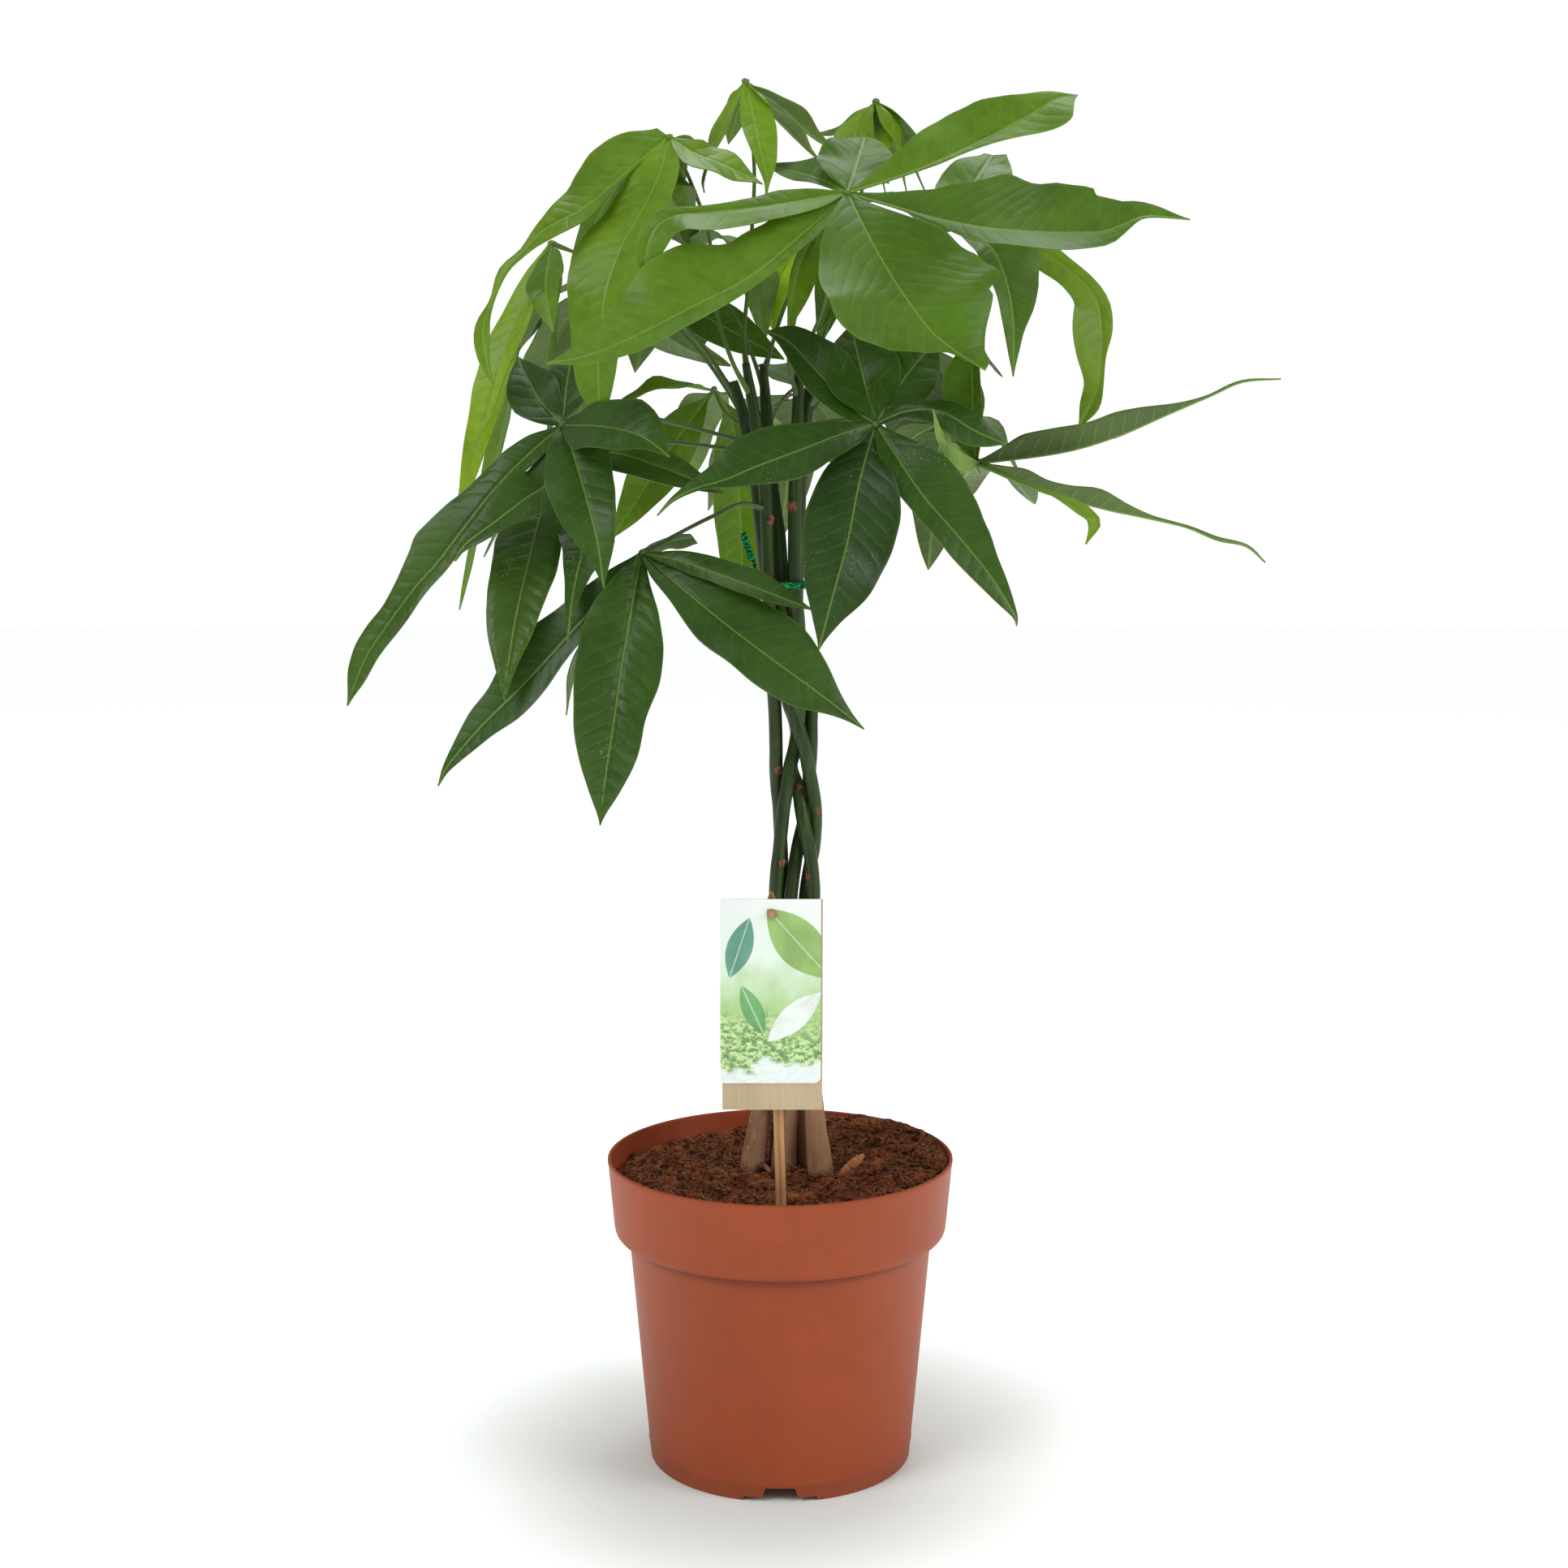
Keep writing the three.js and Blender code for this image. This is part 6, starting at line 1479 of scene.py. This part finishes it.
def grow_leaflet(bm, hub, leaflet, leaf_up, blade, spacing, seed):
    """One leaflet: a wavy, folded blade along its rib, closed into a thin shell."""
    line = Line([hub] + [at(p) for p in leaflet["rib"]], even=True)
    facing = Vector(leaflet.get("up", leaf_up)).normalized()
    puff = leaflet.get("puff", 0.1)
    rows = max(16, min(44, int(line.length / 3))) * (2 if puff > 0.3 else 1)
    fold = leaflet.get("fold", BLADE_FOLD)
    ragged = leaflet.get("ragged", 0.0)
    # The shade from base to tip is partly the leaflet's own tone, partly painted shade and painted
    # light.
    dull, bright = leaflet.get("shade", (0.4, 0.55))
    run, side, out, shade, swell = (layer(bm, name) for name in BLADE_LAYERS)
    frames = {}
    for i in range(rows + 1):
        t = i / rows
        t = 0.65 * t + 0.35 * (0.5 - 0.5 * math.cos(math.pi * t))
        ahead = line.heading(t)
        above = (facing - ahead * facing.dot(ahead)).normalized()
        left, right = half_widths(leaflet, t)
        frames[i] = (t, line.point(t), above, ahead.cross(above), left, right)
    aboves = {}

    def place(vert, u, v):
        t, centre, above, aside, left, right = frames[round(u * rows)]
        share_out = abs(2 * v - 1) ** 1.25
        sign = -1 if v > 0.5 else 1
        half = right if sign > 0 else left
        jag = 1 + 0.035 * noise.noise(Vector((t * 9, sign * 3.0, seed)))
        jag += ragged * t ** 2 * noise.noise(Vector((t * 31, sign * 5.0, seed)))
        across = sign * share_out * half * jag
        wave = BLADE_WAVE * math.sin(4 * math.pi * t + sign * 1.1)
        lift = abs(across) * (fold + wave)
        small = noise.noise(Vector((t * line.length / 11, sign * 2.0, seed * 1.7)))
        lift += RUFFLE * small * half * share_out ** 2 * 2
        ridge = abs(math.sin(math.pi * (t * line.length - VEIN_SLANT * abs(across)) / spacing))
        lift += puff * PUFF_HEIGHT * ridge ** 0.7 * min(1, 5 * share_out * (1 - share_out))
        vert[run] = t * line.length
        vert[side] = across
        vert[out] = share_out
        vert[shade] = dull + (bright - dull) * t
        vert[swell] = puff
        aboves[vert] = above
        return (centre + aside * across + above * lift) * MM

    made = sheet_grid(bm, rows, ACROSS, place)
    lifts = {tuple(vert.co): aboves[vert] for vert in made}
    faces = list(faces_of(made))
    grown = bmesh.ops.extrude_face_region(bm, geom=faces, use_keep_orig=True)["geom"]
    lower = [item for item in grown if isinstance(item, bmesh.types.BMVert)]
    under = {item for item in grown if isinstance(item, bmesh.types.BMFace)}
    for vert in lower:
        rib = max(1 - abs(vert[side]) / 0.8, 0.0) * 0.5 * (1 - vert[run] / line.length) * MM
        vert.co -= lifts[tuple(vert.co)] * (blade + rib)
    shell = list(faces_of([*made, *lower]))
    bmesh.ops.recalc_face_normals(bm, faces=shell)
    for face in shell:
        face.smooth = True
        face.material_index = 1 if face in under else 0
    for face in shell:
        for edge in face.edges:
            if len(edge.link_faces) == 2 and edge.calc_face_angle(0.0) > 1.1:
                edge.smooth = False


def grow_stalk(bm, spec, stems):
    """Stalk and hub of a leaf, from its stem."""
    hub = at(spec["hub"])
    foot = height_point(stems[spec["stem"]], spec["foot"])
    line = Line([foot] + [at(p) for p in spec["petiole"]] + [hub])
    rows = max(12, int(line.length / 4))
    shade = layer(bm, "shade")

    def radius(t, z):
        return 1.05 - 0.25 * t + 0.8 * max(1 - t * 9, 0) + 0.8 * max(t * 12 - 11, 0)

    faces = tube(bm, line, radius, rows, 10, slot=2)
    made = pebble(bm, hub, (1.9, 1.9, 1.6), Matrix.Identity(3), 2, 2, 0.3, spec["foot"])
    for vert in {vert for face in faces for vert in face.verts}:
        vert[shade] = level_between([(foot.z, 0.1), (max(hub.z, foot.z + 1), 0.8)],
                                    vert.co.z / MM)
    for vert in made:
        vert[shade] = 0.9


def build_leaf(number, spec, stems, look, materials):
    bm = bmesh.new()
    for name in BLADE_LAYERS:
        layer(bm, name)
    for index, leaflet in enumerate(spec["leaflets"]):
        grow_leaflet(bm, at(spec["hub"]), leaflet, spec["up"], look.blade,
                     look.vein_spacing / MM, number * 7.3 + index)
    grow_stalk(bm, spec, stems)
    slot = {"dark": "dark_leaf", "mid": "mid_leaf", "young": "young_leaf"}[spec["tone"]]
    piece("palmate_" + spec["name"], bm, materials, slot, spec["name"])


def leaf_materials(look):
    """Blade, underside and stalk finishes for each tone of leaf."""
    rib, under = tuple(look.rib), tuple(look.under)
    spacing = look.vein_spacing / MM
    kinds = {}
    for tone, base, gloss, dust in (("dark", look.dark, 0.36, 0.55), ("mid", look.mid, 0.4, 0.12),
                                    ("young", look.young, 0.36, 0.0)):
        base = tuple(base)
        soft_rib = blended(base, rib, 0.6)
        below = blended(base, under, 0.55)
        kinds[tone] = [
            blade_material(tone + "_leaf_blade", base, soft_rib, spacing, gloss, dust),
            underside_material(tone + "_leaf_underside", below, soft_rib, spacing),
            stalk_material(tone + "_leaf_stalk", blended(base, STALK_GREEN, 0.5), soft_rib),
        ]
    return kinds


def build_leaves(look):
    stems = stem_lines()
    kinds = leaf_materials(look)
    for number, spec in enumerate(LEAVES):
        build_leaf(number, spec, stems, look, kinds[spec["tone"]])


# ---------------------------------------------------------------- tie and label
TIE_LEVEL = 427
TIE_ROUTE = [(-9.8, -1.5), (-8.6, -5.2), (-3, -7.4), (4, -7.8), (11, -6.2), (12.4, 0), (12.6, 5),
             (8.6, 9.8), (0, 9.6), (-7, 9.4), (-10, 6), (-9.9, 0)]


def foil_strip(bm, line, half, thick, turn_at, rows, crinkle):
    """A thin strip along a line, creased and turned about it."""

    def place(vert, u, v):
        t = round(u * rows) / rows
        ahead = line.heading(t)
        flat = Vector((0, 0, 1)) if abs(ahead.z) < 0.7 else Vector((0, -1, 0))
        flat = (flat - ahead * flat.dot(ahead)).normalized()
        flat = Matrix.Rotation(turn_at(t), 3, ahead) @ flat
        out = ahead.cross(flat)
        spot = line.point(t) + flat * half * (2 * v - 1)
        crease = noise.noise(Vector((t * line.length / 1.3, v * 4.0, 3.0)))
        return (spot + out * crease * crinkle) * MM

    made = sheet_grid(bm, rows, 6, place)
    bmesh.ops.solidify(bm, geom=list(faces_of(made)), thickness=thick * MM)


def build_tie(look):
    bm = bmesh.new()
    band = Line([(x, y, TIE_LEVEL) for x, y in TIE_ROUTE])
    foil_strip(bm, band, 1.55, 0.35, lambda t: 0.25 * math.sin(9 * t), 90, 0.28)
    tail = Line([(-9.6, -3.0, 427), (-11.4, -6, 431), (-13, -8.4, 438), (-17.4, -10, 451.6)])
    foil_strip(bm, tail, 1.45, 0.35, lambda t: 5.5 * math.pi * min(t / 0.5, 1.0), 60, 0.16)
    for spot in ((-9.9, -4.2, 427.6), (10.8, -6.4, 427.2)):
        pebble(bm, Vector(spot), (1.5, 1.1, 1.9), Matrix.Identity(3), 3, 0, 0.9, spot[0])
    bmesh.ops.recalc_face_normals(bm, faces=bm.faces)
    crisp(bm, 25.0)
    piece("twist_tie", bm, [foil_material(look)], "green_foil", "foil_tie")


LABEL_FRONT = -66
CARD_LEFT, CARD_RIGHT, CARD_LOW, CARD_HIGH = -27.4, 18.6, 202.5, 288
PEG_X, PEG_Z = -3.8, 281.3


def softened(bm, width):
    """Rounds every sharp edge a little and sets the shading."""
    sharp = [edge for edge in bm.edges if edge.calc_face_angle(0.0) > 0.6]
    bmesh.ops.bevel(bm, geom=sharp, offset=width * MM, offset_type="OFFSET", affect="EDGES",
                    segments=2, profile=0.5, material=-1)
    crisp(bm, 30.0)


def build_board(look):
    bm = bmesh.new()
    block(bm, (-26.6, LABEL_FRONT + 0.9, 189.7), (19.4, LABEL_FRONT + 2.9, 287.7))
    softened(bm, 0.25)
    board = wood_material("label_softwood", tuple(look.wood), 0.35, 0.6, 0.13)
    piece("plant_label_board", bm, [board], "label_wood", "label_board")


def build_card(look):
    bm = bmesh.new()
    block(bm, (CARD_LEFT, LABEL_FRONT, CARD_LOW), (CARD_RIGHT, LABEL_FRONT + 0.6, CARD_HIGH))
    corner = [edge for edge in bm.edges
              if all(v.co.x > (CARD_RIGHT - 0.6) * MM and v.co.z < (CARD_LOW + 0.5) * MM
                     for v in edge.verts)]
    bmesh.ops.bevel(bm, geom=corner, offset=3.2 * MM, offset_type="OFFSET", affect="EDGES",
                    segments=8, profile=0.5, material=-1)
    softened(bm, 0.08)
    piece("plant_label_card", bm, [card_material(look)], "printed_card", "label_card")


def build_peg(look):
    """Round wooden peg: domed head in front of the card, shank through the board."""
    bm = bmesh.new()
    outline = [(0, -2.0), (0.9, -1.85), (1.7, -1.45), (2.15, -0.9), (2.25, -0.35), (1.9, 0.0),
               (1.3, 0.0), (1.3, 4.8), (1.1, 5.1), (0, 5.1)]
    lathe(bm, [(PEG_X + radius, LABEL_FRONT + y, PEG_Z) for radius, y in outline],
          (PEG_X, 0, PEG_Z), (0, 1, 0), 32)
    crisp(bm, 40.0)
    peg = wood_material("peg_hardwood", tuple(look.peg), 1.4, 0.55)
    piece("plant_label_peg", bm, [peg], "peg_wood", "label_peg")


def build_stake(look):
    """Stake with two rounded ridges, a groove between them and a blunt narrow tip."""
    bm = bmesh.new()
    section = [(-2.4, 3.0), (-2.4, 0.8), (-2.1, 0.2), (-1.5, 0.0), (-0.9, 0.15), (-0.5, 0.5),
               (-0.15, 0.9), (0.15, 0.9), (0.5, 0.5), (0.9, 0.15), (1.5, 0.0), (2.1, 0.2),
               (2.4, 0.8), (2.4, 3.0), (2.0, 3.2), (-2.0, 3.2), (-2.4, 3.0)]
    top, end, lean = 290.5, 62, 0.031
    front = LABEL_FRONT + 3.2
    rows = 60

    def place(vert, u, v):
        down = (top - end) * (1 - u)
        x, y = section[round(v * (len(section) - 1))]
        narrow = min(0.3 + 0.7 * math.sqrt(min(down / 6, 1.0)), 1.0)
        z = top - down
        middle = 0.5 - (z - 142) * math.tan(lean)
        grain = 0.06 * noise.noise(Vector((x * 2, y * 2, z / 7)))
        return Vector((middle + x * narrow, front + y + grain, z)) * MM

    made = sheet_grid(bm, rows, len(section) - 1, place)
    bmesh.ops.remove_doubles(bm, verts=made, dist=1e-6)
    rims = [edge for edge in bm.edges if edge.is_boundary]
    bmesh.ops.holes_fill(bm, edges=rims, sides=len(section) + 1)
    bmesh.ops.recalc_face_normals(bm, faces=bm.faces)
    crisp(bm, 48.0)
    stake = wood_material("stake_wood", tuple(look.stake), 0.9, 0.6)
    piece("plant_label_stake", bm, [stake], "label_wood", "label_stake")


# ---------------------------------------------------------------- stage
def area_light(name, spot, goal, size, power):
    light = bpy.data.lights.new(name, "AREA")
    light.shape = "DISK"
    light.size = size
    light.energy = power
    made = put(name, light)
    made.location = spot
    made.rotation_euler = (Vector(goal) - Vector(spot)).to_track_quat("-Z", "Y").to_euler()


def build_stage(look):
    scene = bpy.context.scene
    bm = bmesh.new()
    bmesh.ops.create_grid(bm, x_segments=1, y_segments=1, size=6.0)
    mesh = mesh_of(bm, "pale_floor")
    # The floor glows more the farther it lies from the pot: painted light that whitens the far
    # floor and leaves the floor near the pot unlit by it.
    paper, s, shader = material("floor_paper", Base_Color=tuple(look.floor), Roughness=0.9,
                                Specular_IOR_Level=0.1, Emission_Strength=1.0)
    reach = s.node("ShaderNodeVectorMath", {"Vector": s.place()}, operation="LENGTH").outputs[1]
    s.feed(shader["Emission Color"], s.mix(s.span(reach, 0.07, 0.26), (0, 0, 0), (0.6, 0.6, 0.6)))
    mesh.materials.append(paper)
    floor = put("pale_floor", mesh)
    floor.location = (0, 0, CAD_BOX[0][2])

    world = bpy.data.worlds.new("studio")
    world.use_nodes = True
    sky = Sketch(world.node_tree)
    background = world.node_tree.nodes["Background"]
    background.inputs["Color"].default_value = (1.0, 1.0, 1.0, 1.0)
    seen = sky.node("ShaderNodeLightPath").outputs["Is Camera Ray"]
    sky.feed(background.inputs["Strength"], sky.span(seen, 0.0, 1.0, 0.42 * look.light, 1.05))
    scene.world = world
    area_light("key_light", (-1.3, -1.25, 1.8), (0, 0, 0.4), 1.1, 20 * look.light)
    area_light("fill_light", (1.7, -0.8, 1.2), (0, 0, 0.3), 1.2, 16 * look.light)
    area_light("top_light", (0.2, 0.6, 2.1), (0, 0, 0.45), 1.0, 12 * look.light)

    camera = bpy.data.cameras.new("photo_camera")
    camera.sensor_width = 36.0
    camera.lens = look.lens
    camera.shift_x = CAMERA_SHIFT / PHOTO_SIZE
    eye = put("photo_camera", camera)
    eye.location = (0.0, -EYE_DISTANCE * MM, EYE_HEIGHT * MM)
    eye.rotation_euler = (math.pi / 2 - CAMERA_TILT, 0.0, 0.0)
    scene.camera = eye
    scene.view_settings.view_transform = "Standard"


# ---------------------------------------------------------------- operators and panel
class MONEYTREE_OT_stage(bpy.types.Operator):
    """Adds the pale floor, the studio light and the camera"""
    bl_idname = "money_tree.stage"
    bl_label = "Stage"

    def execute(self, context):
        build_stage(context.scene.money_tree.stage)
        return {"FINISHED"}


class MONEYTREE_OT_pot(bpy.types.Operator):
    """Adds the plastic nursery pot"""
    bl_idname = "money_tree.pot"
    bl_label = "Nursery pot"

    def execute(self, context):
        build_pot(context.scene.money_tree.pot)
        return {"FINISHED"}


class MONEYTREE_OT_soil(bpy.types.Operator):
    """Adds the soil, its loose crumbs and fibres, and the bark chip"""
    bl_idname = "money_tree.soil"
    bl_label = "Soil"

    def execute(self, context):
        look = context.scene.money_tree.soil
        build_soil(look)
        build_litter(look)
        build_chip(look)
        return {"FINISHED"}


class MONEYTREE_OT_stems(bpy.types.Operator):
    """Adds the braided stems with their leaf scars"""
    bl_idname = "money_tree.stems"
    bl_label = "Braided stems"

    def execute(self, context):
        build_stems(context.scene.money_tree.stems)
        return {"FINISHED"}


class MONEYTREE_OT_leaves(bpy.types.Operator):
    """Adds the palmate leaves with their stalks"""
    bl_idname = "money_tree.leaves"
    bl_label = "Leaves"

    def execute(self, context):
        build_leaves(context.scene.money_tree.leaves)
        return {"FINISHED"}


class MONEYTREE_OT_tie(bpy.types.Operator):
    """Adds the foil twist tie round the stems"""
    bl_idname = "money_tree.tie"
    bl_label = "Twist tie"

    def execute(self, context):
        build_tie(context.scene.money_tree.tie)
        return {"FINISHED"}


class MONEYTREE_OT_label(bpy.types.Operator):
    """Adds the plant label: stake, board, card and peg"""
    bl_idname = "money_tree.label"
    bl_label = "Plant label"

    def execute(self, context):
        look = context.scene.money_tree.label
        build_stake(look)
        build_board(look)
        build_card(look)
        build_peg(look)
        return {"FINISHED"}


OPERATORS = (MONEYTREE_OT_stage, MONEYTREE_OT_pot, MONEYTREE_OT_soil, MONEYTREE_OT_stems,
             MONEYTREE_OT_leaves, MONEYTREE_OT_tie, MONEYTREE_OT_label)


class MONEYTREE_PT_pieces(bpy.types.Panel):
    """Lists the pieces of the plant"""
    bl_idname = "MONEYTREE_PT_pieces"
    bl_label = "Money tree"
    bl_space_type = "VIEW_3D"
    bl_region_type = "UI"
    bl_category = "Money tree"

    def draw(self, context):
        for operator in OPERATORS:
            self.layout.operator(operator.bl_idname)


CLASSES = (PotLook, SoilLook, StemLook, LeafLook, LabelLook, TieLook, StageLook, MoneyTreeLook,
           *OPERATORS, MONEYTREE_PT_pieces)


def register():
    for one in CLASSES:
        bpy.utils.register_class(one)
    bpy.types.Scene.money_tree = PointerProperty(type=MoneyTreeLook)


def unregister():
    del bpy.types.Scene.money_tree
    for one in reversed(CLASSES):
        bpy.utils.unregister_class(one)


def main():
    register()
    for operator in OPERATORS:
        name = operator.bl_idname.split(".")[1]
        getattr(bpy.ops.money_tree, name)()


if __name__ == "__main__":
    main()
